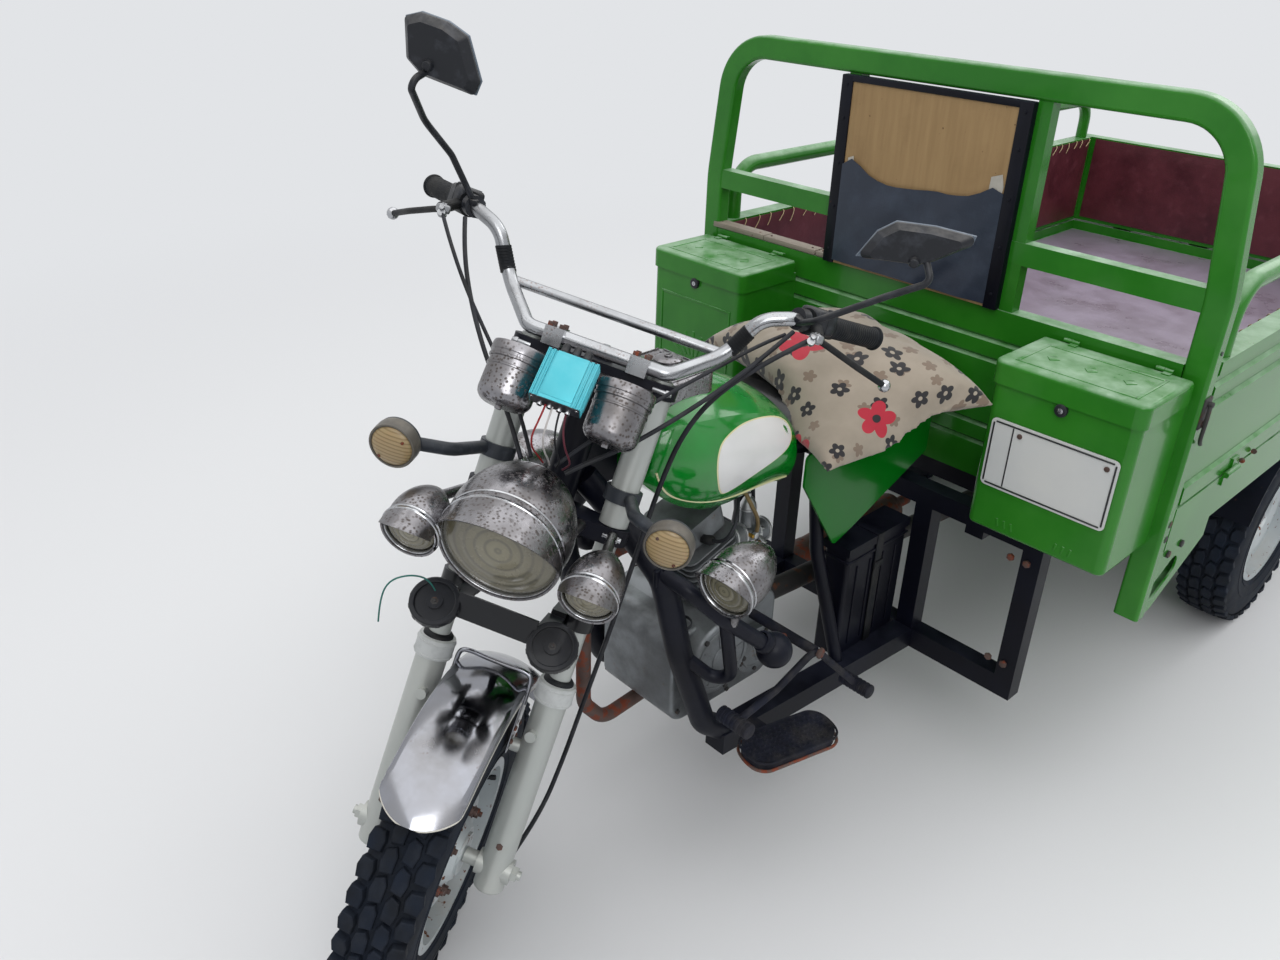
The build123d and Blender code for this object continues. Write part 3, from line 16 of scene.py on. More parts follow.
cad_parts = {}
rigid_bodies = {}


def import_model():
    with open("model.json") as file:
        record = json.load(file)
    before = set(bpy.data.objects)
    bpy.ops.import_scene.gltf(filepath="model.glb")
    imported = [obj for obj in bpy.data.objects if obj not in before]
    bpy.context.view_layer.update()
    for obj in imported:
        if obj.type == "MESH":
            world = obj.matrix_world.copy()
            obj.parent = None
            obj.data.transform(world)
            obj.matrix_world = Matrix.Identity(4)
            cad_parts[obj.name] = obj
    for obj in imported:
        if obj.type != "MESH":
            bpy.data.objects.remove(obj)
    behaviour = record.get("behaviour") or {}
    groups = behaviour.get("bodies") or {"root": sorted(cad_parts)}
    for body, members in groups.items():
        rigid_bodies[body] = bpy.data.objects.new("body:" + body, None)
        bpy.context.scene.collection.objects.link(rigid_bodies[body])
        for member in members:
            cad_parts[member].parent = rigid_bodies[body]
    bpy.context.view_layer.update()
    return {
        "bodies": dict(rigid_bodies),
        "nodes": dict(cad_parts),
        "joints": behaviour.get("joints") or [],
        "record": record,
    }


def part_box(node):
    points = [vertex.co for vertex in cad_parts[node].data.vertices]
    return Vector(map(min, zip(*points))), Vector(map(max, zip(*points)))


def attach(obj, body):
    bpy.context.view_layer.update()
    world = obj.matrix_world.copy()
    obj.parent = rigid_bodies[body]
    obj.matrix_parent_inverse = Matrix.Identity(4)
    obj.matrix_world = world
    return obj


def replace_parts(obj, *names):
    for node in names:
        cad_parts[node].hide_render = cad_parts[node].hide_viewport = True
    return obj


LOG = logging.getLogger("tricycle")

MM = 0.001
SMOOTH_BELOW = 38.0
RAKE = 24.0
IMAGE_WIDTH = 1280

Point = Sequence[float]
Colour = tuple[float, float, float, float]
Shade = Union[Colour, bpy.types.NodeSocket]
Links = dict[Union[str, int], Union[bpy.types.NodeSocket, float, Sequence[float]]]


class Body(Enum):
    """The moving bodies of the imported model."""

    VEHICLE = "vehicle"
    STEERING = "steering"
    FRONT_WHEEL = "front_wheel"
    LEFT_WHEEL = "rear_wheel_left"
    RIGHT_WHEEL = "rear_wheel_right"
    LEFT_SIDE = "drop_side_left"
    RIGHT_SIDE = "drop_side_right"
    TAILGATE = "tailgate"
    LEFT_LID = "lid_left"
    RIGHT_LID = "lid_right"


def linear(code: str) -> Colour:
    """Turns an sRGB hex colour to linear light.

    Args:
        code: Six hex digits, with or without a leading hash.

    Returns:
        Red, green, blue and an alpha of 1.
    """
    digits = code.lstrip("#")
    parts = [int(digits[i : i + 2], 16) / 255 for i in (0, 2, 4)]
    red, green, blue = [p / 12.92 if p <= 0.04045 else ((p + 0.055) / 1.055) ** 2.4 for p in parts]
    return (red, green, blue, 1.0)


def add(
    tree: bpy.types.NodeTree, kind: str, links: Optional[Links] = None, **settings: object
) -> bpy.types.Node:
    """Adds one node with its settings and links.

    Args:
        tree: The node tree that gets it.
        kind: The shader node's type, without its usual prefix.
        links: For an input's name or number, its value or the output that feeds it.
        settings: The node's own settings.

    Returns:
        The new node.
    """
    made = tree.nodes.new("ShaderNode" + kind)
    for name, value in settings.items():
        setattr(made, name, value)
    for name, value in (links or {}).items():
        if isinstance(value, bpy.types.NodeSocket):
            tree.links.new(value, made.inputs[name])
        else:
            made.inputs[name].default_value = value
    return made


# Finishes


@dataclass(frozen=True)
class Finish:
    """A surface finish: its name and the way its material is painted."""

    name: str

    def material(self) -> bpy.types.Material:
        """Makes the material the first time it is asked for.

        Returns:
            The material of this finish.
        """
        found = bpy.data.materials.get(self.name)
        if found:
            return found
        made = bpy.data.materials.new(self.name)
        made.use_nodes = True
        tree = made.node_tree
        tree.nodes.clear()
        shader = add(tree, "BsdfPrincipled")
        add(tree, "OutputMaterial", {"Surface": shader.outputs["BSDF"]})
        self.paint(tree, shader)
        return made

    def paint(self, tree: bpy.types.NodeTree, shader: bpy.types.Node) -> None:
        """Wires the finish's patterns to the shader.

        Args:
            tree: The material's node tree.
            shader: Its Principled shader.
        """
        raise NotImplementedError


def patches(
    tree: bpy.types.NodeTree,
    size: float,
    low: float,
    high: float,
    seed: float = 0.0,
    stretch: Point = (1, 1, 1),
    detail: float = 4.0,
) -> bpy.types.NodeSocket:
    """A mask of soft patches in the object's own space.

    Args:
        tree: The material's node tree.
        size: How large a patch is, in millimetres.
        low: The noise value below which the mask is 0.
        high: The noise value above which it is 1.
        seed: Moves the pattern, so that two masks differ.
        stretch: How much the pattern is pressed together along each axis.
        detail: How many octaves the noise has.

    Returns:
        The mask's socket.
    """
    spot = add(tree, "TexCoord").outputs["Object"]
    place = add(
        tree, "Mapping", {"Vector": spot, "Location": (seed, seed * 0.7, seed * 1.3), "Scale": tuple(stretch)}
    )
    noise = add(
        tree,
        "TexNoise",
        {"Vector": place.outputs["Vector"], "Scale": 1000 / size, "Detail": detail, "Roughness": 0.6},
    )
    return add(
        tree, "MapRange", {"Value": noise.outputs["Fac"], "From Min": low, "From Max": high}
    ).outputs["Result"]


def blended(
    tree: bpy.types.NodeTree, mask: bpy.types.NodeSocket, first: Shade, second: Shade, amount: float = 1.0
) -> bpy.types.NodeSocket:
    """Mixes two colours by a mask.

    Args:
        tree: The material's node tree.
        mask: 0 shows the first colour and 1 the second.
        first: A colour or a socket.
        second: A colour or a socket.
        amount: How much of the second colour a full mask shows.

    Returns:
        The mixed colour's socket.
    """
    mix = add(tree, "Mix", data_type="RGBA")
    if amount < 1.0:
        mask = add(tree, "MapRange", {"Value": mask, "To Max": amount}).outputs["Result"]
    tree.links.new(mask, mix.inputs["Factor"])
    for name, value in (("A", first), ("B", second)):
        socket = next(s for s in mix.inputs if s.name == name and s.type == "RGBA")
        if isinstance(value, bpy.types.NodeSocket):
            tree.links.new(value, socket)
        else:
            socket.default_value = value
    return next(s for s in mix.outputs if s.type == "RGBA")


def shade(
    tree: bpy.types.NodeTree,
    shader: bpy.types.Node,
    socket: str,
    mask: bpy.types.NodeSocket,
    low: float,
    high: float,
) -> None:
    """Lets a mask drive one of the shader's numbers.

    Args:
        tree: The material's node tree.
        shader: The shader.
        socket: The name of its input.
        mask: The mask, from 0 to 1.
        low: The number where the mask is 0.
        high: The number where it is 1.
    """
    ramp = add(tree, "MapRange", {"Value": mask, "To Min": low, "To Max": high})
    tree.links.new(ramp.outputs["Result"], shader.inputs[socket])


def upward(tree: bpy.types.NodeTree, low: float = 0.35, high: float = 0.95) -> bpy.types.NodeSocket:
    """A mask of the faces that look up, where dust settles and where the bed's enamel also carries a painted
    top highlight.
    """
    normal = add(tree, "NewGeometry").outputs["Normal"]
    height = add(tree, "SeparateXYZ", {"Vector": normal}).outputs["Z"]
    return add(tree, "MapRange", {"Value": height, "From Min": low, "From Max": high}).outputs["Result"]


def raised(
    tree: bpy.types.NodeTree,
    shader: bpy.types.Node,
    height: bpy.types.NodeSocket,
    depth: float,
    strength: float = 0.6,
) -> None:
    """Gives the shader a bump.

    Args:
        tree: The material's node tree.
        shader: The shader whose normal it is.
        height: The pattern, from 0 to 1.
        depth: How deep the pattern is, in millimetres.
        strength: How much of it shows.
    """
    bump = add(tree, "Bump", {"Height": height, "Distance": depth * MM, "Strength": strength})
    tree.links.new(bump.outputs["Normal"], shader.inputs["Normal"])


@dataclass(frozen=True)
class Enamel(Finish):
    """Sprayed gloss paint on steel.

    A clear skin lies over the colour, with faint orange peel, dust on top and chips that rust. On the bed's
    green the pale top is also a painted highlight.
    """

    colour: str = "#2b6a24"
    faded: str = "#4f8a3c"
    dust: str = "#a8b4a0"
    chip: str = "#5a3a28"
    roughness: float = 0.34
    coat: float = 0.6
    dusty: float = 0.5
    peel: float = 14.0
    chips: float = 0.66
    metallic: float = 0.0
    gloss: float = 0.3

    def paint(self, tree: bpy.types.NodeTree, shader: bpy.types.Node) -> None:
        """Wires colour, fading, dust with a painted top highlight, chips and orange peel."""
        fade = patches(tree, 220, 0.42, 0.72, seed=1.0)
        colour = blended(tree, fade, linear(self.colour), linear(self.faded), 0.55)
        # Upward faces turn pale. This is dust, and on the bed's green also a painted highlight on the lid
        # tops and rails.
        dust_and_top_highlight = add(
            tree, "Math", {0: upward(tree), 1: patches(tree, 60, 0.3, 0.75, seed=4.0)}, operation="MULTIPLY"
        )
        film = add(tree, "Math", {0: dust_and_top_highlight.outputs[0], 1: self.dusty}, operation="MULTIPLY").outputs[0]
        colour = blended(tree, film, colour, linear(self.dust))
        knocked = patches(tree, 16, self.chips, self.chips + 0.03, seed=9.0, detail=6.0)
        colour = blended(tree, knocked, colour, linear(self.chip))
        tree.links.new(colour, shader.inputs["Base Color"])
        worn = add(tree, "Math", {0: film, 1: knocked}, operation="MAXIMUM").outputs[0]
        shade(tree, shader, "Roughness", worn, self.roughness, 0.72)
        shade(tree, shader, "Coat Weight", worn, self.coat, 0.0)
        shader.inputs["Coat Roughness"].default_value = 0.09
        shader.inputs["Specular IOR Level"].default_value = self.gloss
        shader.inputs["Metallic"].default_value = self.metallic
        raised(tree, shader, patches(tree, self.peel, 0.2, 0.8, seed=2.0, detail=2.0), 0.35, 0.35)


@dataclass(frozen=True)
class Plating(Finish):
    """Chrome plate on steel.

    It is mirror bright where it is whole, with grey pits where it has lifted and rust that bleeds from them.
    """

    colour: str = "#d5d8dc"
    haze: str = "#9a958f"
    rust: str = "#6b4634"
    roughness: float = 0.07
    pit_size: float = 2.6
    pitted: float = 0.62
    rusted: float = 0.7
    speckled: float = 0.55
    hazy: float = 0.5

    def paint(self, tree: bpy.types.NodeTree, shader: bpy.types.Node) -> None:
        """Wires the plate, its pits and its rust."""
        spot = add(tree, "TexCoord").outputs["Object"]
        cells = add(tree, "TexVoronoi", {"Vector": spot, "Scale": 1000 / self.pit_size, "Randomness": 1.0})
        dots = add(
            tree, "MapRange", {"Value": cells.outputs["Distance"], "From Min": 0.45, "From Max": 0.2}
        ).outputs["Result"]
        where = patches(tree, 48, self.pitted - 0.12, self.pitted + 0.1, seed=3.0)
        pits = add(tree, "Math", {0: dots, 1: where}, operation="MULTIPLY").outputs[0]
        bleed = patches(tree, 30, self.rusted, self.rusted + 0.1, seed=6.0, detail=8.0)
        rusty = add(tree, "Math", {0: pits, 1: self.speckled}, operation="MULTIPLY").outputs[0]
        rusty = add(tree, "Math", {0: rusty, 1: bleed}, operation="MAXIMUM").outputs[0]
        dull = patches(tree, 70, 0.35, 0.8, seed=8.0)
        colour = blended(tree, dull, linear(self.colour), linear(self.haze), self.hazy)
        colour = blended(tree, rusty, colour, linear(self.rust))
        tree.links.new(colour, shader.inputs["Base Color"])
        shade(tree, shader, "Metallic", rusty, 1.0, 0.25)
        worn = add(tree, "Math", {0: dull, 1: rusty}, operation="MAXIMUM").outputs[0]
        shade(tree, shader, "Roughness", worn, self.roughness, self.roughness + 0.3)
        raised(tree, shader, rusty, 0.3, 0.5)


@dataclass(frozen=True)
class Cast(Finish):
    """Bare cast or rolled metal: a fine sandy skin, oil and dirt in patches, some oxide."""

    colour: str = "#9b9d9f"
    grime: str = "#2c2822"
    oxide: str = "#7d6a55"
    roughness: float = 0.42
    grain: float = 1.6
    dirty: float = 0.42
    oxidised: float = 0.66
    metallic: float = 0.85
    oily: float = 0.6

    def paint(self, tree: bpy.types.NodeTree, shader: bpy.types.Node) -> None:
        """Wires metal, grime and oxide."""
        dirt = patches(tree, 55, self.dirty, self.dirty + 0.36, seed=5.0, detail=8.0)
        oxide = patches(tree, 22, self.oxidised, self.oxidised + 0.08, seed=7.0, detail=6.0)
        colour = blended(tree, oxide, linear(self.colour), linear(self.oxide))
        colour = blended(tree, dirt, colour, linear(self.grime), self.oily)
        tree.links.new(colour, shader.inputs["Base Color"])
        cover = add(tree, "Math", {0: dirt, 1: oxide}, operation="MAXIMUM").outputs[0]
        shade(tree, shader, "Metallic", cover, self.metallic, 0.2)
        shade(tree, shader, "Roughness", cover, self.roughness, 0.75)
        raised(tree, shader, patches(tree, self.grain, 0.3, 0.7, seed=1.5, detail=3.0), 0.25, 0.5)


@dataclass(frozen=True)
class Rubber(Finish):
    """Moulded rubber: dull black with a grey bloom and pale road dust in patches."""

    colour: str = "#15171b"
    bloom: str = "#2b3038"
    dust: str = "#6f6a62"
    roughness: float = 0.72
    dusty: float = 0.35
    grain: float = 2.2

    def paint(self, tree: bpy.types.NodeTree, shader: bpy.types.Node) -> None:
        """Wires rubber, bloom and dust."""
        bloom = patches(tree, 60, 0.35, 0.7, seed=2.5)
        colour = blended(tree, bloom, linear(self.colour), linear(self.bloom))
        dust = patches(tree, 34, 0.45, 0.8, seed=5.5, detail=8.0)
        colour = blended(tree, dust, colour, linear(self.dust), self.dusty)
        tree.links.new(colour, shader.inputs["Base Color"])
        shade(tree, shader, "Roughness", bloom, self.roughness, self.roughness + 0.16)
        shader.inputs["Specular IOR Level"].default_value = 0.22
        raised(tree, shader, patches(tree, self.grain, 0.3, 0.7, seed=1.5, detail=3.0), 0.2, 0.4)


@dataclass(frozen=True)
class Moulding(Finish):
    """Injection moulded plastic: even colour, a spark-eroded grain, fine dust and rubbed spots."""

    colour: str = "#1b1d22"
    rubbed: str = "#3a3d44"
    dust: str = "#8a8680"
    roughness: float = 0.45
    grain: float = 0.9
    dusty: float = 0.3

    def paint(self, tree: bpy.types.NodeTree, shader: bpy.types.Node) -> None:
        """Wires plastic, rubbed spots and dust."""
        rub = patches(tree, 26, 0.5, 0.8, seed=3.5)
        colour = blended(tree, rub, linear(self.colour), linear(self.rubbed))
        film = add(
            tree, "Math", {0: upward(tree), 1: patches(tree, 18, 0.35, 0.8, seed=8.5)}, operation="MULTIPLY"
        ).outputs[0]
        colour = blended(tree, film, colour, linear(self.dust), self.dusty)
        tree.links.new(colour, shader.inputs["Base Color"])
        shade(tree, shader, "Roughness", rub, self.roughness, self.roughness - 0.12)
        shader.inputs["Specular IOR Level"].default_value = 0.3
        raised(tree, shader, patches(tree, self.grain, 0.3, 0.7, seed=1.0, detail=2.0), 0.08, 0.4)


@dataclass(frozen=True)
class Leathercloth(Finish):
    """Vinyl leathercloth: a pebbled skin with soft creases, darker where hands and loads have rubbed it, and
    with lighter patches of painted highlight.
    """

    colour: str = "#5e2730"
    worn: str = "#2c1219"
    painted_sheen: str = "#8d5560"
    roughness: float = 0.42
    pebble: float = 3.2

    def paint(self, tree: bpy.types.NodeTree, shader: bpy.types.Node) -> None:
        """Wires skin, rubbed places, patches of painted highlight and pebbles."""
        rub = patches(tree, 130, 0.38, 0.7, seed=2.2, detail=5.0)
        colour = blended(tree, rub, linear(self.colour), linear(self.worn))
        # Painted highlight: lighter patches that stand in for the gloss of the vinyl.
        pale = patches(tree, 40, 0.55, 0.85, seed=6.1, detail=6.0)
        colour = blended(tree, pale, colour, linear(self.painted_sheen), 0.45)
        tree.links.new(colour, shader.inputs["Base Color"])
        shade(tree, shader, "Roughness", rub, self.roughness, self.roughness - 0.12)
        spot = add(tree, "TexCoord").outputs["Object"]
        cells = add(tree, "TexVoronoi", {"Vector": spot, "Scale": 1000 / self.pebble}, feature="SMOOTH_F1")
        creases = patches(tree, 24, 0.3, 0.7, seed=4.2, detail=3.0)
        both = add(tree, "Math", {0: cells.outputs["Distance"], 1: creases}, operation="ADD").outputs[0]
        raised(tree, shader, both, 0.5, 0.5)


@dataclass(frozen=True)
class Plywood(Finish):
    """Rotary cut plywood, weathered: long soft grain, water stains, a few open cracks and dark knots."""

    colour: str = "#a9895f"
    grain: str = "#8a6b45"
    stain: str = "#5d4022"
    pitch: float = 11.0
    axis: Point = (1.0, 1.0, 0.07)

    def paint(self, tree: bpy.types.NodeTree, shader: bpy.types.Node) -> None:
        """Wires grain, stains, cracks and knots."""
        rings = patches(tree, self.pitch, 0.3, 0.75, seed=0.6, stretch=self.axis, detail=8.0)
        colour = blended(tree, rings, linear(self.colour), linear(self.grain), 0.5)
        damp = patches(tree, 150, 0.5, 0.8, seed=3.3, detail=5.0)
        colour = blended(tree, damp, colour, linear(self.stain), 0.4)
        cracks = patches(tree, self.pitch * 2, 0.68, 0.71, seed=5.6, stretch=self.axis, detail=6.0)
        colour = blended(tree, cracks, colour, linear(self.stain), 0.8)
        knots = patches(tree, 14, 0.72, 0.76, seed=8.8, detail=2.0)
        colour = blended(tree, knots, colour, linear(self.stain))
        tree.links.new(colour, shader.inputs["Base Color"])
        shader.inputs["Roughness"].default_value = 0.68
        raised(tree, shader, rings, 0.3, 0.4)


@dataclass(frozen=True)
class Woven(Finish):
    """Woven plastic tarpaulin: flat tapes under a film, with scuffs."""

    colour: str = "#26344d"
    scuff: str = "#5a6678"
    roughness: float = 0.4
    tape: float = 3.0

    def paint(self, tree: bpy.types.NodeTree, shader: bpy.types.Node) -> None:
        """Wires tapes and scuffs."""
        scuffs = patches(tree, 50, 0.45, 0.8, seed=1.9, detail=8.0)
        colour = blended(tree, scuffs, linear(self.colour), linear(self.scuff), 0.6)
        tree.links.new(colour, shader.inputs["Base Color"])
        shade(tree, shader, "Roughness", scuffs, self.roughness, self.roughness + 0.25)
        spot = add(tree, "TexCoord").outputs["Object"]
        warp = add(tree, "TexWave", {"Vector": spot, "Scale": 1000 / (self.tape * 6.3)}, bands_direction="X")
        weft = add(tree, "TexWave", {"Vector": spot, "Scale": 1000 / (self.tape * 6.3)}, bands_direction="Z")
        weave = add(
            tree, "Math", {0: warp.outputs["Fac"], 1: weft.outputs["Fac"]}, operation="MULTIPLY"
        ).outputs[0]
        raised(tree, shader, weave, 0.2, 0.35)


@dataclass(frozen=True)
class LampGlass(Finish):
    """Aged lamp glass: yellowed and ribbed, with the rings of the dull reflector showing through and a
    painted reflection lightening its middle.
    """

    colour: str = "#6f6a54"
    ring: str = "#47443a"
    # glow: the colour of a painted reflection, not of lamp light.
    glow: str = "#958e72"
    roughness: float = 0.16

    def paint(self, tree: bpy.types.NodeTree, shader: bpy.types.Node) -> None:
        """Wires the rings, which follow the glass's own map, a painted reflection in the middle and a smear
        of dust.
        """
        chart = add(tree, "UVMap", uv_map="disc").outputs["UV"]
        away = add(tree, "VectorMath", {0: chart, 1: (0.0, 0.0, 0.0)}, operation="DISTANCE").outputs["Value"]
        swing = add(tree, "Math", {0: away, 1: 34.0}, operation="MULTIPLY").outputs[0]
        wave = add(tree, "Math", {0: swing}, operation="SINE").outputs[0]
        rings = add(tree, "MapRange", {"Value": wave, "From Min": 0.3, "From Max": 1.0}).outputs["Result"]
        # Painted reflection: the glass is lighter towards its middle, where the reflector behind it would
        # catch the light.
        middle = add(tree, "MapRange", {"Value": away, "From Min": 0.7, "From Max": 0.1}).outputs["Result"]
        colour = blended(tree, middle, linear(self.colour), linear(self.glow), 0.75)
        colour = blended(tree, rings, colour, linear(self.ring), 0.6)
        dust = patches(tree, 30, 0.4, 0.8, seed=2.0, detail=6.0)
        colour = blended(tree, dust, colour, linear("#857d68"), 0.35)
        tree.links.new(colour, shader.inputs["Base Color"])
        shade(tree, shader, "Roughness", dust, self.roughness, 0.5)
        shader.inputs["Coat Weight"].default_value = 0.7
        shader.inputs["Coat Roughness"].default_value = 0.06


@dataclass(frozen=True)
class AmberLens(Finish):
    """Sun-bleached amber acrylic, moulded with straight ribs on its inside that show as darker bands."""

    colour: str = "#ac9770"
    rib: str = "#86704a"
    pitch: float = 0.19

    def paint(self, tree: bpy.types.NodeTree, shader: bpy.types.Node) -> None:
        """Wires the ribs, which follow the lens's own map."""
        chart = add(tree, "UVMap", uv_map="disc").outputs["UV"]
        bands = add(
            tree,
            "TexWave",
            {"Vector": chart, "Scale": 0.314 / self.pitch, "Distortion": 0.6, "Detail": 1.0},
            bands_direction="Y",
        )
        mask = add(
            tree, "MapRange", {"Value": bands.outputs["Fac"], "From Min": 0.45, "From Max": 0.95}
        ).outputs["Result"]
        colour = blended(tree, mask, linear(self.colour), linear(self.rib), 0.7)
        tree.links.new(colour, shader.inputs["Base Color"])
        shader.inputs["Roughness"].default_value = 0.36
        shader.inputs["Subsurface Weight"].default_value = 0.08
        raised(tree, shader, mask, 0.4, 0.4)


@dataclass(frozen=True)
class PrintedCotton(Finish):
    """Printed cotton.

    A plain weave carries scattered small flowers, black and taupe, and a few large red blooms.
    """

    ground: str = "#8b8173"
    lighter_ground: str = "#9d9284"
    black: str = "#1b191d"
    taupe: str = "#756557"
    red: str = "#a81f33"
    thread: float = 1.6

    def paint(self, tree: bpy.types.NodeTree, shader: bpy.types.Node) -> None:
        """Wires ground with lighter patches of uneven tone and painted crumple shade, then flowers and weave,
        which follow the cloth's own map in millimetres.
        """
        chart = add(tree, "UVMap", uv_map="print").outputs["UV"]
        # Soft patches about 90 mm across lighten the ground. They are partly uneven tone and partly painted
        # shade of the cloth's crumples.
        colour = blended(
            tree, patches(tree, 90, 0.3, 0.75, seed=1.2), linear(self.ground), linear(self.lighter_ground)
        )
        layers = (
            (56.0, 16.0, 31.0, 0.35, self.taupe, self.taupe),
            (72.0, 21.0, 0.0, 0.32, self.black, self.lighter_ground),
            (236.0, 48.0, 97.0, 0.25, self.red, self.black),
        )
        for cell, radius, shift, share, petal, eye in layers:
            petals, middle = self.flowers(tree, chart, cell, radius, shift, share)
            colour = blended(tree, petals, colour, linear(petal))
            colour = blended(tree, middle, colour, linear(eye))
        tree.links.new(colour, shader.inputs["Base Color"])
        shader.inputs["Roughness"].default_value = 0.86
        shader.inputs["Sheen Weight"].default_value = 0.25
        place = add(tree, "Mapping", {"Vector": chart, "Rotation": (0, 0, 0.785)}).outputs["Vector"]
        threads = add(tree, "TexChecker", {"Vector": place, "Scale": 1 / self.thread}).outputs["Fac"]
        raised(tree, shader, threads, 0.12, 0.3)

    def flowers(
        self,
        tree: bpy.types.NodeTree,
        chart: bpy.types.NodeSocket,
        cell: float,
        radius: float,
        shift: float,
        share: float,
    ) -> tuple[bpy.types.NodeSocket, bpy.types.NodeSocket]:
        """Five-petalled flowers, one in each cell of a loose lattice.

        Args:
            tree: The material's node tree.
            chart: The cloth's map in millimetres.
            cell: The lattice's pitch in millimetres.
            radius: The flower's radius in millimetres.
            shift: Moves the lattice, in millimetres.
            share: The share of the cells that stay empty.

        Returns:
            The masks of the petals and of the flowers' middles.
        """
        place = add(tree, "Mapping", {"Vector": chart, "Location": (shift, shift * 1.7, 0)}).outputs["Vector"]
        cells = add(
            tree,
            "TexVoronoi",
            {"Vector": place, "Scale": 1 / cell, "Randomness": 0.5},
            voronoi_dimensions="2D",
        )
        chance = add(tree, "SeparateColor", {"Color": cells.outputs["Color"]}).outputs
        away = add(
            tree, "VectorMath", {0: place, 1: cells.outputs["Position"]}, operation="SUBTRACT"
        ).outputs["Vector"]
        axes = add(tree, "SeparateXYZ", {"Vector": away}).outputs
        length = add(tree, "VectorMath", {0: away}, operation="LENGTH").outputs["Value"]
        angle = add(tree, "Math", {0: axes["Y"], 1: axes["X"]}, operation="ARCTAN2").outputs[0]
        phase = add(tree, "Math", {0: chance["Red"], 1: 6.0}, operation="MULTIPLY").outputs[0]
        swing = add(tree, "Math", {0: angle, 1: 2.5, 2: phase}, operation="MULTIPLY_ADD").outputs[0]
        wave = add(tree, "Math", {0: swing}, operation="COSINE").outputs[0]
        lobe = add(tree, "Math", {0: wave}, operation="ABSOLUTE").outputs[0]
        reach = add(
            tree, "Math", {0: lobe, 1: radius * 0.42, 2: radius * 0.58}, operation="MULTIPLY_ADD"
        ).outputs[0]
        gap = add(tree, "Math", {0: reach, 1: length}, operation="SUBTRACT").outputs[0]
        inside = add(tree, "MapRange", {"Value": gap, "From Max": 0.8}).outputs["Result"]
        picked = add(tree, "Math", {0: chance["Green"], 1: share}, operation="GREATER_THAN").outputs[0]
        petals = add(tree, "Math", {0: inside, 1: picked}, operation="MULTIPLY").outputs[0]
        core = {"Value": length, "From Min": radius * 0.24, "From Max": radius * 0.2}
        middle = add(tree, "MapRange", core).outputs["Result"]
        return petals, add(tree, "Math", {0: middle, 1: picked}, operation="MULTIPLY").outputs[0]


# Its pale dust colour and large dust share lighten every upward face. This is partly dust and partly a
# painted highlight on the lid tops.
BED_GREEN = Enamel(
    "bed_enamel_green",
    colour="#226e17",
    faded="#3b872b",
    dust="#bcd2bf",
    roughness=0.26,
    coat=0.3,
    chips=0.76,
    dusty=0.7,
    gloss=0.18,
)
TANK_GREEN = Enamel(
    "tank_enamel_green",
    colour="#02761a",
    faded="#079032",
    dust="#7fbf9c",
    roughness=0.2,
    coat=0.9,
    dusty=0.15,
    peel=30.0,
    chips=0.8,
)
SIDE_GREEN = Enamel(
    "side_cover_enamel_green",
    colour="#046512",
    faded="#08751c",
    dust="#6fae7c",
    roughness=0.24,
    coat=0.25,
    dusty=0.15,
    peel=30.0,
    chips=0.8,
    gloss=0.18,
)
NAVY_BLACK = Enamel(
    "brushed_navy_black_paint",
    colour="#070812",
    faded="#101423",
    dust="#3a3d4c",
    roughness=0.45,
    coat=0.05,
    dusty=0.35,
    chips=0.72,
    chip="#4a3226",
    gloss=0.16,
)
FORK_SILVER = Enamel(
    "fork_silver_lacquer",
    colour="#a9adaa",
    faded="#bcbdb8",
    dust="#c4c2ba",
    roughness=0.38,
    coat=0.2,
    dusty=0.4,
    chips=0.78,
    metallic=0.35,
)
BRIGHT_CHROME = Plating(
    "polished_chrome_plate", colour="#b4b6ba", haze="#76736f", pitted=0.6, rusted=0.76, pit_size=5.0
)
FENDER_CHROME = Plating(
    "stained_fender_chrome",
    colour="#8f9198",
    haze="#6f6a62",
    pitted=0.74,
    rusted=0.8,
    roughness=0.05,
    pit_size=5.0,
)
PITTED_CHROME = Plating(
    "rust_pitted_chrome_plate",
    colour="#8f8e92",
    haze="#4a4540",
    rust="#33271f",
    pitted=0.42,
    rusted=0.64,
    roughness=0.18,
    pit_size=5.5,
    speckled=0.85,
    hazy=0.85,
)
SLEEVE_CHROME = Plating(
    "dull_sleeve_chrome",
    colour="#a5a7aa",
    haze="#68686a",
    pitted=0.6,
    rusted=0.72,
    roughness=0.16,
    pit_size=5.0,
)
RIM_SILVER = Enamel(
    "wheel_silver_lacquer",
    colour="#aab1b4",
    faded="#c9cfd0",
    dust="#a99f92",
    roughness=0.4,
    coat=0.15,
    chips=0.62,
    chip="#6a3f28",
    metallic=0.3,
)
TYRE_RUBBER = Rubber("moulded_tyre_rubber", colour="#0b1018", bloom="#151d2a", dust="#3f434b", dusty=0.22)
GRIP_RUBBER = Rubber("moulded_grip_rubber", colour="#0b0d10", bloom="#1a1d22", roughness=0.5, dusty=0.15)
BLACK_PLASTIC = Moulding("black_moulding")
HORN_BLACK = Enamel(
    "horn_black_lacquer",
    colour="#08090d",
    faded="#11141b",
    dust="#3f434c",
    roughness=0.35,
    coat=0.2,
    chips=0.8,
    dusty=0.3,
)
AMBER = AmberLens("bleached_amber_acrylic", colour="#9b8662", rib="#75613e")
LENS = LampGlass("yellowed_lamp_glass", colour="#5d5947", ring="#3b3930", glow="#7f7a62")
AMPLIFIER_BLUE = Enamel(
    "anodised_amplifier_blue",
    colour="#38a3b2",
    faded="#58bcc8",
    dust="#9ad6dc",
    roughness=0.34,
    coat=0.1,
    dusty=0.3,
    chips=0.84,
    metallic=0.3,
)
ENGINE_METAL = Cast("cast_engine_alloy", colour="#7d8184", grime="#24221e")
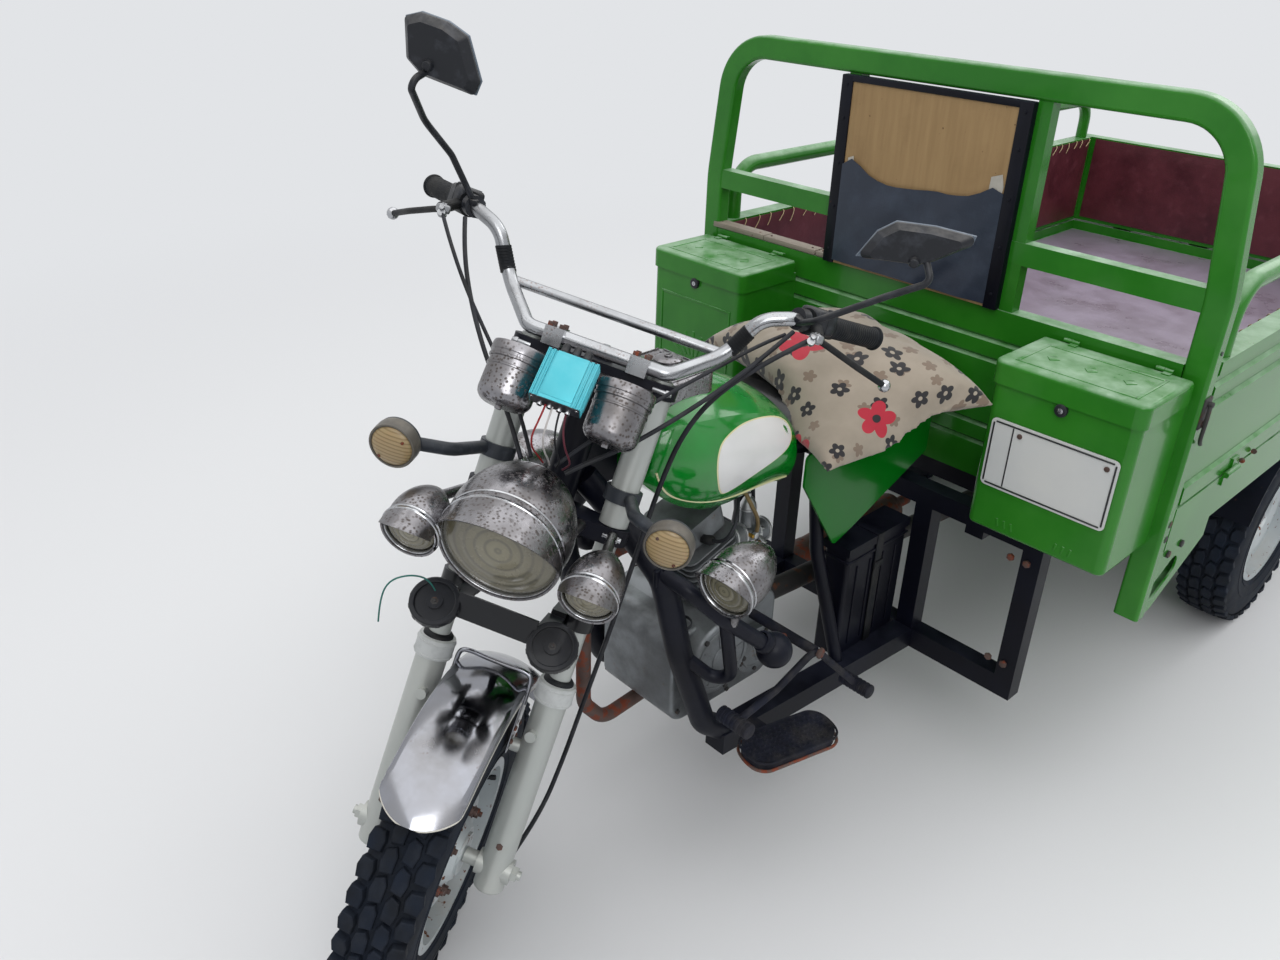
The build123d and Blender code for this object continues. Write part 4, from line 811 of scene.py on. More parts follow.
RUSTY_STEEL = Cast(
    "rusty_header_steel",
    colour="#5d4a44",
    grime="#2a1c18",
    oxide="#7c3a22",
    dirty=0.42,
    oxidised=0.5,
    metallic=0.3,
    roughness=0.7,
)
SPRING_STEEL = Cast(
    "oiled_spring_steel",
    colour="#3b3a3a",
    grime="#171514",
    oxide="#5b3b2a",
    dirty=0.4,
    oxidised=0.55,
    metallic=0.4,
    roughness=0.6,
)
SEAT_VINYL = Leathercloth("seat_leathercloth", colour="#17181b", worn="#0c0c0e", painted_sheen="#3a3c40")
LINER_VINYL = Leathercloth("maroon_leathercloth", colour="#5c2730", worn="#421a22", painted_sheen="#7d4650")
CUSHION_CLOTH = PrintedCotton("printed_cushion_cotton")
PAD_RUBBER = Rubber("foot_pad_rubber", colour="#0e0f18", bloom="#1b1e2c", roughness=0.62, dusty=0.2)
PLYWOOD = Plywood("weathered_plywood", colour="#9c8058", grain="#7b603c")
TARPAULIN = Woven("navy_tarpaulin", colour="#1b2536", scuff="#3c4656")
PLATE_WHITE = Enamel(
    "plate_reflective_white",
    colour="#c4c6c6",
    faded="#d3d3cf",
    dust="#b9b5aa",
    roughness=0.35,
    coat=0.4,
    chips=0.84,
    dusty=0.2,
)
BRIGHT_ALLOY = Cast(
    "bright_carburettor_alloy",
    colour="#bdbfc0",
    grime="#4a4740",
    oxide="#8f8778",
    dirty=0.6,
    oxidised=0.74,
    roughness=0.34,
)
OLD_BRASS = Cast(
    "old_brass", colour="#b08a3e", grime="#4a3a1e", oxide="#7c6a3a", dirty=0.6, oxidised=0.75, roughness=0.36
)
HOSE_CLEAR = Rubber(
    "aged_fuel_hose", colour="#6b5a3c", bloom="#83714c", dust="#5f5848", roughness=0.35, dusty=0.2
)
AMBER_PLAIN = Enamel(
    "amber_tail_acrylic", colour="#c2671a", faded="#d0803a", roughness=0.2, coat=0.8, chips=0.9
)
TWINE = Rubber(
    "pale_lacing_twine",
    colour="#c9b894",
    bloom="#b7a27c",
    dust="#8a7a60",
    roughness=0.8,
    dusty=0.3,
    grain=1.2,
)
MAT_VINYL = Leathercloth("worn_mat_vinyl", colour="#857a8b", worn="#6f6470", painted_sheen="#9a8f9f", roughness=0.36)
STRIP_WOOD = Plywood(
    "weathered_strip_wood", colour="#8c8378", grain="#6e6358", stain="#5b4334", axis=(0.07, 1.0, 1.0)
)
TAPE_GREY = Moulding("grey_sticky_tape", colour="#a9a59c", rubbed="#96928a", dust="#7f7a70", roughness=0.35)
PLATE_EDGE = Enamel(
    "plate_border_black", colour="#17181b", faded="#2b2c30", roughness=0.35, coat=0.4, chips=0.8, dusty=0.3
)
PANEL_CREAM = Enamel(
    "tank_panel_cream",
    colour="#dadada",
    faded="#e6e6e4",
    dust="#c9c4b8",
    roughness=0.3,
    coat=0.7,
    chips=0.86,
    dusty=0.3,
)
LINE_CREAM = Enamel(
    "tank_line_cream",
    colour="#d9d2a4",
    faded="#e2ddb8",
    dust="#c9c4a8",
    roughness=0.35,
    coat=0.5,
    chips=0.86,
    dusty=0.3,
)
EDGE_CREAM = Enamel(
    "fender_edge_cream",
    colour="#c9c6bc",
    faded="#d8d5cb",
    dust="#b3ada0",
    roughness=0.4,
    coat=0.3,
    chips=0.7,
    dusty=0.3,
)
COLLAR_WHITE = Moulding(
    "collar_white_plastic", colour="#b9bcbc", rubbed="#a3a6a6", dust="#8f8b84", roughness=0.5
)
STALK_BLACK = Moulding(
    "indicator_stalk_plastic", colour="#2e3238", rubbed="#474c54", dust="#6b6c6a", roughness=0.42
)
INDICATOR_BLACK = Moulding(
    "indicator_shell_plastic", colour="#55524d", rubbed="#6f6a60", dust="#9a9182", roughness=0.4
)
MIRROR_GLASS = Plating(
    "mirror_glass", colour="#e6eaee", haze="#c9ccd0", pitted=0.9, rusted=0.95, roughness=0.02
)
MIRROR_EDGE = Moulding(
    "mirror_edge_plastic", colour="#5c6672", rubbed="#77818c", dust="#8a8f96", roughness=0.5
)
CABLE_SHEATH = Rubber(
    "cable_sheath_vinyl", colour="#15161a", bloom="#2a2c32", dust="#55534f", roughness=0.45, dusty=0.2
)
WIRE_RED = Rubber(
    "red_wire_vinyl", colour="#8c1f24", bloom="#a33a3a", dust="#5f4a44", roughness=0.4, dusty=0.25
)
WIRE_WHITE = Rubber(
    "white_wire_vinyl", colour="#c9c6c4", bloom="#b3adaa", dust="#8a7f78", roughness=0.4, dusty=0.25
)
WIRE_MAROON = Rubber(
    "maroon_wire_vinyl", colour="#54202c", bloom="#6b3040", dust="#4f4440", roughness=0.4, dusty=0.25
)
WIRE_TEAL = Rubber(
    "teal_wire_vinyl", colour="#1f5a54", bloom="#2f6f66", dust="#4f5a55", roughness=0.4, dusty=0.2
)
LAMP_RED = Enamel("lamp_red_acrylic", colour="#8c1218", faded="#a8242a", roughness=0.2, coat=0.8, chips=0.9)

NODE_FINISHES: dict[str, Finish] = {"indicators": STALK_BLACK, "side_covers": SIDE_GREEN}

SLOT_FINISHES: dict[str, Finish] = {
    "bed_green": BED_GREEN,
    "tank_green": TANK_GREEN,
    "frame_black": NAVY_BLACK,
    "fork_silver": FORK_SILVER,
    "fork_chrome": SLEEVE_CHROME,
    "bright_chrome": BRIGHT_CHROME,
    "pitted_chrome": PITTED_CHROME,
    "rim_silver": RIM_SILVER,
    "tyre_rubber": TYRE_RUBBER,
    "grip_rubber": GRIP_RUBBER,
    "black_plastic": BLACK_PLASTIC,
    "horn_black": HORN_BLACK,
    "amber_lens": AMBER,
    "yellow_lens": LENS,
    "amp_blue": AMPLIFIER_BLUE,
    "engine_grey": ENGINE_METAL,
    "exhaust_steel": RUSTY_STEEL,
    "seat_vinyl": SEAT_VINYL,
    "cushion_cloth": CUSHION_CLOTH,
    "pad_rubber": PAD_RUBBER,
    "spring_steel": SPRING_STEEL,
    "plywood": PLYWOOD,
    "plate_steel": PLATE_WHITE,
    "lamp_red": LAMP_RED,
}


# Places


@dataclass
class Layout:
    """Where the tricycle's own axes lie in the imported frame, all in millimetres.

    Points are given from the front face of the load bed and from the ground, as the solids are drawn.
    """

    bed_face: float
    rake: float = radians(RAKE)
    head: Point = (0, -840, 1040)
    steer: float = radians(35)
    fork_back: float = -43.0
    axle_drop: float = 850.789
    rear_wheel: Point = (500, 990, 284)

    def bed(self) -> Matrix:
        """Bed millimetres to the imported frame."""
        return Matrix.Translation((0, self.bed_face, 0)) @ Matrix.Scale(MM, 4)

    def fork(self) -> Matrix:
        """The turned steering head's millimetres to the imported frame."""
        tilt = Matrix.Rotation(-self.rake, 4, "X")
        return self.bed() @ Matrix.Translation(self.head) @ tilt @ Matrix.Rotation(self.steer, 4, "Z")

    def front_wheel(self) -> Matrix:
        """The front wheel's millimetres, with its axle on X."""
        return self.fork() @ Matrix.Translation((0, self.fork_back, -self.axle_drop))

    def back_wheel(self, side: int) -> Matrix:
        """A rear wheel's millimetres, with its axle on X pointing outwards.

        Args:
            side: 1 for the left wheel and -1 for the right.

        Returns:
            The wheel's matrix.
        """
        x, y, z = self.rear_wheel
        return self.bed() @ Matrix.Translation((side * x, y, z)) @ Matrix.Rotation(
            0 if side > 0 else pi, 4, "Z"
        )


def facing(origin: Point, ahead: Point, across: Point = (1, 0, 0)) -> Matrix:
    """A place whose Z looks ahead.

    Args:
        origin: The place's middle.
        ahead: Where its Z points.
        across: Roughly where its X points.

    Returns:
        The place's matrix.
    """
    z = Vector(ahead).normalized()
    x = Vector(across)
    x = (x - z * x.dot(z)).normalized()
    y = z.cross(x)
    turn = Matrix((x, y, z)).transposed().to_4x4()
    return Matrix.Translation(origin) @ turn


def forward(dip: float = 0.0) -> Point:
    """The level forward direction in the steering head's axes, dipped by some degrees."""
    turn = radians(RAKE + dip)
    return (0.0, -cos(turn), -sin(turn))


def moved(x: float, y: float, z: float) -> Matrix:
    """A plain shift in millimetres."""
    return Matrix.Translation((x, y, z))


def turned_about(axis: str, degrees: float) -> Matrix:
    """A plain turn about X, Y or Z."""
    return Matrix.Rotation(radians(degrees), 4, axis)


MIRROR_X = Matrix.Scale(-1, 4, (1, 0, 0))
TO_LEFT = turned_about("Y", 90)
TO_FRONT = turned_about("X", 90)


def ripples(random: Random, count: int, across: Point, along: Point) -> list[Point]:
    """Draws some waves: for each its pace across, its pace along and its phase.

    Args:
        random: The source of the numbers.
        count: How many waves there are.
        across: The least and the greatest pace across.
        along: The least and the greatest pace along.

    Returns:
        The waves.
    """
    return [(random.uniform(*across), random.uniform(*along), random.uniform(0, tau)) for _ in range(count)]


class Shape:
    """A mesh under construction, in millimetres, made part by part with bmesh operators."""

    def __init__(self) -> None:
        """Starts empty."""
        self.mesh = bmesh.new()

    def take(self, part: bmesh.types.BMesh, at: Matrix = Matrix()) -> "Shape":
        """Puts a finished part in its place.

        Args:
            part: The part, which is used up.
            at: Where it goes.

        Returns:
            This shape.
        """
        bmesh.ops.transform(part, matrix=at, verts=part.verts)
        if at.determinant() < 0:
            bmesh.ops.reverse_faces(part, faces=part.faces)
        holder = bpy.data.meshes.new("part")
        part.to_mesh(holder)
        part.free()
        self.mesh.from_mesh(holder)
        bpy.data.meshes.remove(holder)
        return self

    def sheet(self, part: bmesh.types.BMesh, thickness: float = 0.0, at: Matrix = Matrix()) -> "Shape":
        """Adds a bent surface with its faces turned one way.

        Args:
            part: The surface, which is used up.
            thickness: How thick it becomes; 0 leaves it as it is.
            at: Where it goes.

        Returns:
            This shape.
        """
        bmesh.ops.recalc_face_normals(part, faces=part.faces)
        if thickness:
            bmesh.ops.solidify(part, geom=list(part.faces), thickness=thickness)
            bmesh.ops.recalc_face_normals(part, faces=part.faces)
        return self.take(part, at)

    def block(self, size: Point, at: Matrix = Matrix(), bevel: float = 0.0, segments: int = 2) -> "Shape":
        """Adds a block with rounded edges.

        Args:
            size: Its three sides.
            at: Where its middle is, and how it is turned.
            bevel: The radius of its edges.
            segments: How many faces lie round an edge.

        Returns:
            This shape.
        """
        part = bmesh.new()
        bmesh.ops.create_cube(part, size=1.0, matrix=Matrix.Diagonal((*size, 1.0)))
        if bevel:
            self.bevel(part, list(part.edges), bevel, segments)
        return self.take(part, at)

    def disc(
        self,
        radius: float,
        height: float,
        at: Matrix = Matrix(),
        sides: int = 32,
        top: Optional[float] = None,
        bevel: float = 0.0,
    ) -> "Shape":
        """Adds a round or many-sided plug along Z.

        Args:
            radius: Its lower radius.
            height: Its height, half on each side of its place.
            at: Where its middle is.
            sides: How many sides it has.
            top: Its upper radius, if it tapers.
            bevel: The radius of its two rims.

        Returns:
            This shape.
        """
        part = bmesh.new()
        upper = radius if top is None else top
        bmesh.ops.create_cone(
            part, cap_ends=True, segments=sides, radius1=radius, radius2=upper, depth=height
        )
        if bevel:
            rims = [e for e in part.edges if abs(e.verts[0].co.z - e.verts[1].co.z) < 1e-4]
            self.bevel(part, rims, bevel, 2)
        return self.take(part, at)

    def turned(
        self,
        profile: Sequence[Point],
        at: Matrix = Matrix(),
        steps: int = 48,
        angle: float = tau,
        chart: float = 0.0,
    ) -> "Shape":
        """Spins a profile of (radius, height) round Z.

        Args:
            profile: The profile's points in order.
            at: Where the axis stands.
            steps: How many steps the turn has.
            angle: How far it turns.
            chart: The radius that its own round map takes as 1, if it has one.

        Returns:
            This shape.
        """
        part = bmesh.new()
        row = [part.verts.new((radius, 0.0, height)) for radius, height in profile]
        edges = [part.edges.new(pair) for pair in zip(row, row[1:])]
        whole = angle >= tau
        bmesh.ops.spin(
            part, geom=row + edges, cent=(0, 0, 0), axis=(0, 0, 1), angle=angle, steps=steps, use_merge=whole
        )
        bmesh.ops.remove_doubles(part, verts=part.verts, dist=0.001)
        bmesh.ops.recalc_face_normals(part, faces=part.faces)
        if chart:
            layer = part.loops.layers.uv.new("disc")
            for face in part.faces:
                for loop in face.loops:
                    loop[layer].uv = (loop.vert.co.x / chart, loop.vert.co.y / chart)
        return self.take(part, at)

    def prism(
        self,
        outline: Sequence[Point],
        height: float,
        at: Matrix = Matrix(),
        bevel: float = 0.0,
        segments: int = 2,
        taper: float = 1.0,
    ) -> "Shape":
        """Raises a flat outline along Z.

        Args:
            outline: Its corners in order, as (x, y).
            height: How far it is raised.
            at: Where its own origin is.
            bevel: The radius of its upper edge.
            segments: How many faces lie round that edge.
            taper: How large its top is beside its foot.

        Returns:
            This shape.
        """
        part = bmesh.new()
        face = part.faces.new([part.verts.new((x, y, 0.0)) for x, y in outline])
        grown = bmesh.ops.extrude_face_region(part, geom=[face])
        top = [v for v in grown["geom"] if isinstance(v, bmesh.types.BMVert)]
        bmesh.ops.translate(part, verts=top, vec=(0, 0, height))
        middle = sum((v.co for v in top), Vector()) / len(top)
        bmesh.ops.scale(part, verts=top, vec=(taper, taper, 1.0), space=Matrix.Translation(-middle))
        bmesh.ops.recalc_face_normals(part, faces=part.faces)
        if bevel:
            chosen = set(top)
            self.bevel(part, [e for e in part.edges if set(e.verts) <= chosen], bevel, segments)
        return self.take(part, at)

    def pipe(self, points: Sequence[Point], radius: float, at: Matrix = Matrix(), sides: int = 10) -> "Shape":
        """Adds a round bar or hose along a smooth route.

        Args:
            points: The route's control points.
            radius: Its radius.
            at: Where the route's own origin is.
            sides: How many sides it has.

        Returns:
            This shape.
        """
        curve = route_curve("pipe", points)
        curve.bevel_depth = radius
        curve.bevel_resolution = max(1, sides // 4)
        curve.use_fill_caps = True
        holder = bpy.data.objects.new("pipe", curve)
        mesh = bpy.data.meshes.new_from_object(holder)
        part = bmesh.new()
        part.from_mesh(mesh)
        bpy.data.objects.remove(holder)
        bpy.data.curves.remove(curve)
        bpy.data.meshes.remove(mesh)
        return self.take(part, at)

    def bevel(
        self, part: bmesh.types.BMesh, edges: list[bmesh.types.BMEdge], offset: float, segments: int
    ) -> None:
        """Rounds some edges of a part.

        Args:
            part: The part they are in.
            edges: The edges.
            offset: How wide the rounding is.
            segments: How many faces lie across it.
        """
        bmesh.ops.bevel(
            part, geom=edges, offset=offset, segments=segments, profile=0.5, affect="EDGES", material=-1
        )

    def repeated(self, count: int, turn: Matrix) -> "Shape":
        """Repeats the whole shape, each copy moved once more.

        Args:
            count: How many there are in the end.
            turn: The move from one to the next.

        Returns:
            This shape.
        """
        first = bpy.data.meshes.new("first")
        self.mesh.to_mesh(first)
        move = Matrix()
        for _ in range(count - 1):
            move = turn @ move
            part = bmesh.new()
            part.from_mesh(first)
            self.take(part, move)
        bpy.data.meshes.remove(first)
        return self

    def both(self) -> "Shape":
        """Adds the same shape on the other side of X."""
        return self.repeated(2, MIRROR_X)


def route_curve(name: str, points: Sequence[Point]) -> bpy.types.Curve:
    """A smooth open curve with the given control points.

    Args:
        name: The curve's name.
        points: Its control points.

    Returns:
        The curve.
    """
    curve = bpy.data.curves.new(name, "CURVE")
    curve.dimensions = "3D"
    spline = curve.splines.new("NURBS")
    spline.points.add(len(points) - 1)
    for spot, point in zip(spline.points, points):
        spot.co = (*point, 1.0)
    spline.order_u = 3
    spline.use_endpoint_u = True
    spline.resolution_u = 8
    return curve


def piece(
    name: str,
    shape: Shape,
    within: Matrix,
    body: Body,
    slot: str,
    finish: Optional[Finish] = None,
    sharp: float = SMOOTH_BELOW,
) -> bpy.types.Object:
    """Turns a shape into a finished piece on its body.

    Args:
        name: The piece's name.
        shape: The shape, in millimetres, which is used up.
        within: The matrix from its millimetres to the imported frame.
        body: What it rides on.
        slot: The record's material slot.
        finish: Its finish, if it isn't the slot's own.
        sharp: The angle in degrees above which an edge stays sharp.

    Returns:
        The piece's object.
    """
    bmesh.ops.transform(shape.mesh, matrix=within, verts=shape.mesh.verts)
    mesh = bpy.data.meshes.new(name)
    shape.mesh.to_mesh(mesh)
    shape.mesh.free()
    mesh.shade_smooth()
    mesh.set_sharp_from_angle(angle=radians(sharp))
    mesh.materials.append((finish or SLOT_FINISHES[slot]).material())
    obj = bpy.data.objects.new(name, mesh)
    bpy.context.collection.objects.link(obj)
    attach(obj, body.value)
    LOG.info("%s: %d faces on %s", name, len(mesh.polygons), body.value)
    return obj


@dataclass(frozen=True)
class Cord:
    """One free cable: its route in millimetres, its size and what it is made of."""

    name: str
    points: tuple[Point, ...]
    diameter: float
    length: float
    finish: Finish
    slot: str = "grip_rubber"
    stiffness: str = "medium"
    far_end: str = "object"

    def lay(self, within: Matrix, body: Body) -> bpy.types.Object:
        """Args:
            within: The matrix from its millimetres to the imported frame.
            body: What it rides on.

        Returns:
            The cable's object.
        """
        placed = [within @ Vector(point) for point in self.points]
        curve = route_curve(self.name, placed)
        curve.bevel_depth = self.diameter * MM / 2
        curve.bevel_resolution = 3
        curve.use_fill_caps = True
        curve.materials.append(self.finish.material())
        obj = bpy.data.objects.new(self.name, curve)
        bpy.context.collection.objects.link(obj)
        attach(obj, body.value)
        LOG.info("%s: a cable of %.0f mm", self.name, self.length)
        return obj


@dataclass
class Dress:
    """What the dress of every sub-assembly shares: its places and the way its pieces are fastened."""

    layout: Layout

    @property
    def bed(self) -> Matrix:
        """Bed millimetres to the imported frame."""
        return self.layout.bed()

    @property
    def fork(self) -> Matrix:
        """The turned steering head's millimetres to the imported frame."""
        return self.layout.fork()

    def on_bed(
        self, name: str, shape: Shape, slot: str, finish: Optional[Finish] = None, sharp: float = SMOOTH_BELOW
    ) -> bpy.types.Object:
        """Makes a piece that stays with the vehicle; the rest is as for any piece."""
        return piece(name, shape, self.bed, Body.VEHICLE, slot, finish, sharp)

    def on_fork(
        self, name: str, shape: Shape, slot: str, finish: Optional[Finish] = None, sharp: float = SMOOTH_BELOW
    ) -> bpy.types.Object:
        """Makes a piece that turns with the fork; the rest is as for any piece."""
        return piece(name, shape, self.fork, Body.STEERING, slot, finish, sharp)


# Wheels


@dataclass
class Tyre:
    """A block-tread tyre: a rounded carcass under four staggered rows of chunky blocks."""

    name: str
    node: str
    radius: float
    width: float
    bead: float = 153.0
    lug: float = 9.0
    pitches: int = 40
    ribs: tuple[float, ...] = (176.0, 206.0)

    def carcass(self) -> Shape:
        """Spins the closed section of the casing, with two thin rings on each sidewall."""
        half = self.width / 2
        base = self.radius - self.lug
        bulge = self.bead + (base - self.bead) * 0.5
        side = [
            (self.bead - 1, -0.3 * half),
            (self.bead, -0.62 * half),
            (self.bead + 5, -0.7 * half),
            (self.ribs[0] - 6, -0.86 * half),
            (self.ribs[0] - 1, -0.9 * half),
            (self.ribs[0], -0.94 * half),
            (self.ribs[0] + 3, -0.95 * half),
            (self.ribs[0] + 4, -0.92 * half),
            (self.ribs[1] - 1, -0.985 * half),
            (self.ribs[1], -half),
            (self.ribs[1] + 4, -half),
            (self.ribs[1] + 5, -0.985 * half),
            (max(bulge + 12, self.ribs[1] + 14), -0.98 * half),
            (base - 26, -0.95 * half),
            (base - 13, -0.88 * half),
            (base - 5, -0.72 * half),
            (base - 1.5, -0.4 * half),
        ]
        far = [(radius, -height) for radius, height in reversed(side)]
        across = TO_LEFT
        return Shape().turned([*side, (base, 0.0), *far, side[0]], across, steps=72)

    def blocks(self) -> Shape:
        """One pitch of the tread, repeated round the tyre."""
        half = self.width / 56 / 2
        pitch = tau * self.radius / self.pitches / 42
        crest = self.radius - 0.8
        middle = [(2.5, -17), (22, -20.5), (26, -3), (23, 14), (9, 20), (2.5, 8)]
        shoulder = [(-12, -17), (11, -18.5), (15, 0), (11, 16), (-9, 15), (-14, 1)]
        foot = self.lug + 4
        first = Shape()
        outline = [(x * half, y * pitch) for x, y in middle]
        first.prism(outline, foot, moved(0, 0, crest - foot), bevel=1.6, segments=1, taper=0.94)
        outline = [(x * half, (y + 21) * pitch * 0.94) for x, y in shoulder]
        lean = moved(39.5 * half, 0, crest - 4 - foot) @ turned_about("Y", 13)
        first.prism(outline, foot, lean, bevel=1.6, segments=1, taper=0.93)
        turn = 360 / self.pitches
        other = turned_about("X", turn / 2) @ MIRROR_X
        first.repeated(2, other)
        return first.repeated(self.pitches, turned_about("X", turn))

    def build(self, within: Matrix, body: Body) -> None:
        """Makes the tyre in place of its plain solid.

        Args:
            within: The wheel's matrix, with its axle on X.
            body: The wheel's body.
        """
        shape = self.carcass().take(self.blocks().mesh)
        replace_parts(piece(self.name, shape, within, body, "tyre_rubber", sharp=30), self.node)


@dataclass
class WheelFittings:
    """Nuts, a dust cap, a tyre valve and the balance of small rusty things on a wheel."""

    prefix: str
    nut_circle: float
    nut_face: float
    nuts: int = 5
    cap_radius: float = 26.0
    cap_face: float = 14.0
    valve_at: Point = (18.0, 138.0)

    def build(self, within: Matrix, body: Body) -> None:
        """Makes the fittings.

        Args:
            within: The wheel's matrix, with its axle on X and its outer face towards +X.
            body: The wheel's body.
        """
        out = TO_LEFT
        nuts = Shape()
        place = moved(self.nut_face, 0, self.nut_circle) @ out
        nuts.disc(11, 3, place, sides=24, bevel=0.8)
        nuts.disc(8.6, 9, place @ moved(0, 0, 5.5), sides=6, bevel=0.9)
        nuts.disc(4.6, 7, place @ moved(0, 0, 12), sides=16, bevel=0.8)
        nuts.repeated(self.nuts, turned_about("X", 360 / self.nuts))
        piece(f"{self.prefix}_nuts", nuts, within, body, "exhaust_steel")
        if self.cap_radius:
            cap = Shape()
            profile = [
                (0.0, 13.0),
                (10, 12.4),
                (18, 10),
                (self.cap_radius - 3, 5),
                (self.cap_radius, 2.5),
                (self.cap_radius, 0),
                (0, 0),
            ]
            cap.turned(profile, moved(self.cap_face, 0, 0) @ out, steps=36)
            piece(f"{self.prefix}_cap", cap, within, body, "bright_chrome", PITTED_CHROME)
        x, radius = self.valve_at
        valve = Shape()
        stem = moved(x, 0, radius) @ turned_about("Y", 68)
        valve.disc(5.5, 10, stem, sides=18, top=4.2, bevel=0.6)
        valve.disc(3.4, 22, stem @ moved(0, 0, 14), sides=16, bevel=0.5)
        valve.disc(4.4, 9, stem @ moved(0, 0, 26), sides=16, bevel=1.0)
        piece(f"{self.prefix}_valve", valve, within, body, "grip_rubber")


@dataclass
class Wheels(Dress):
    """All three wheels."""

    front: Tyre = field(default_factory=lambda: Tyre("tyre_front", "front_tyre", 272.0, 112.0))
    left: Tyre = field(default_factory=lambda: Tyre("tyre_left", "rear_tyre_left", 284.0, 128.0))
    right: Tyre = field(default_factory=lambda: Tyre("tyre_right", "rear_tyre_right", 284.0, 128.0))

    def build(self) -> None:
        """Makes the tyres and what is fastened to the rims."""
        self.front.build(self.layout.front_wheel(), Body.FRONT_WHEEL)
        self.left.build(self.layout.back_wheel(1), Body.LEFT_WHEEL)
        self.right.build(self.layout.back_wheel(-1), Body.RIGHT_WHEEL)
        fittings = WheelFittings("front_wheel", 76.0, 32.0, nuts=6, cap_radius=0.0, valve_at=(30, 136))
        fittings.build(self.layout.front_wheel(), Body.FRONT_WHEEL)
        for name, side, body in (("left", 1, Body.LEFT_WHEEL), ("right", -1, Body.RIGHT_WHEEL)):
            WheelFittings(f"{name}_wheel", 51.0, -12.0).build(self.layout.back_wheel(side), body)


# Fork and fender


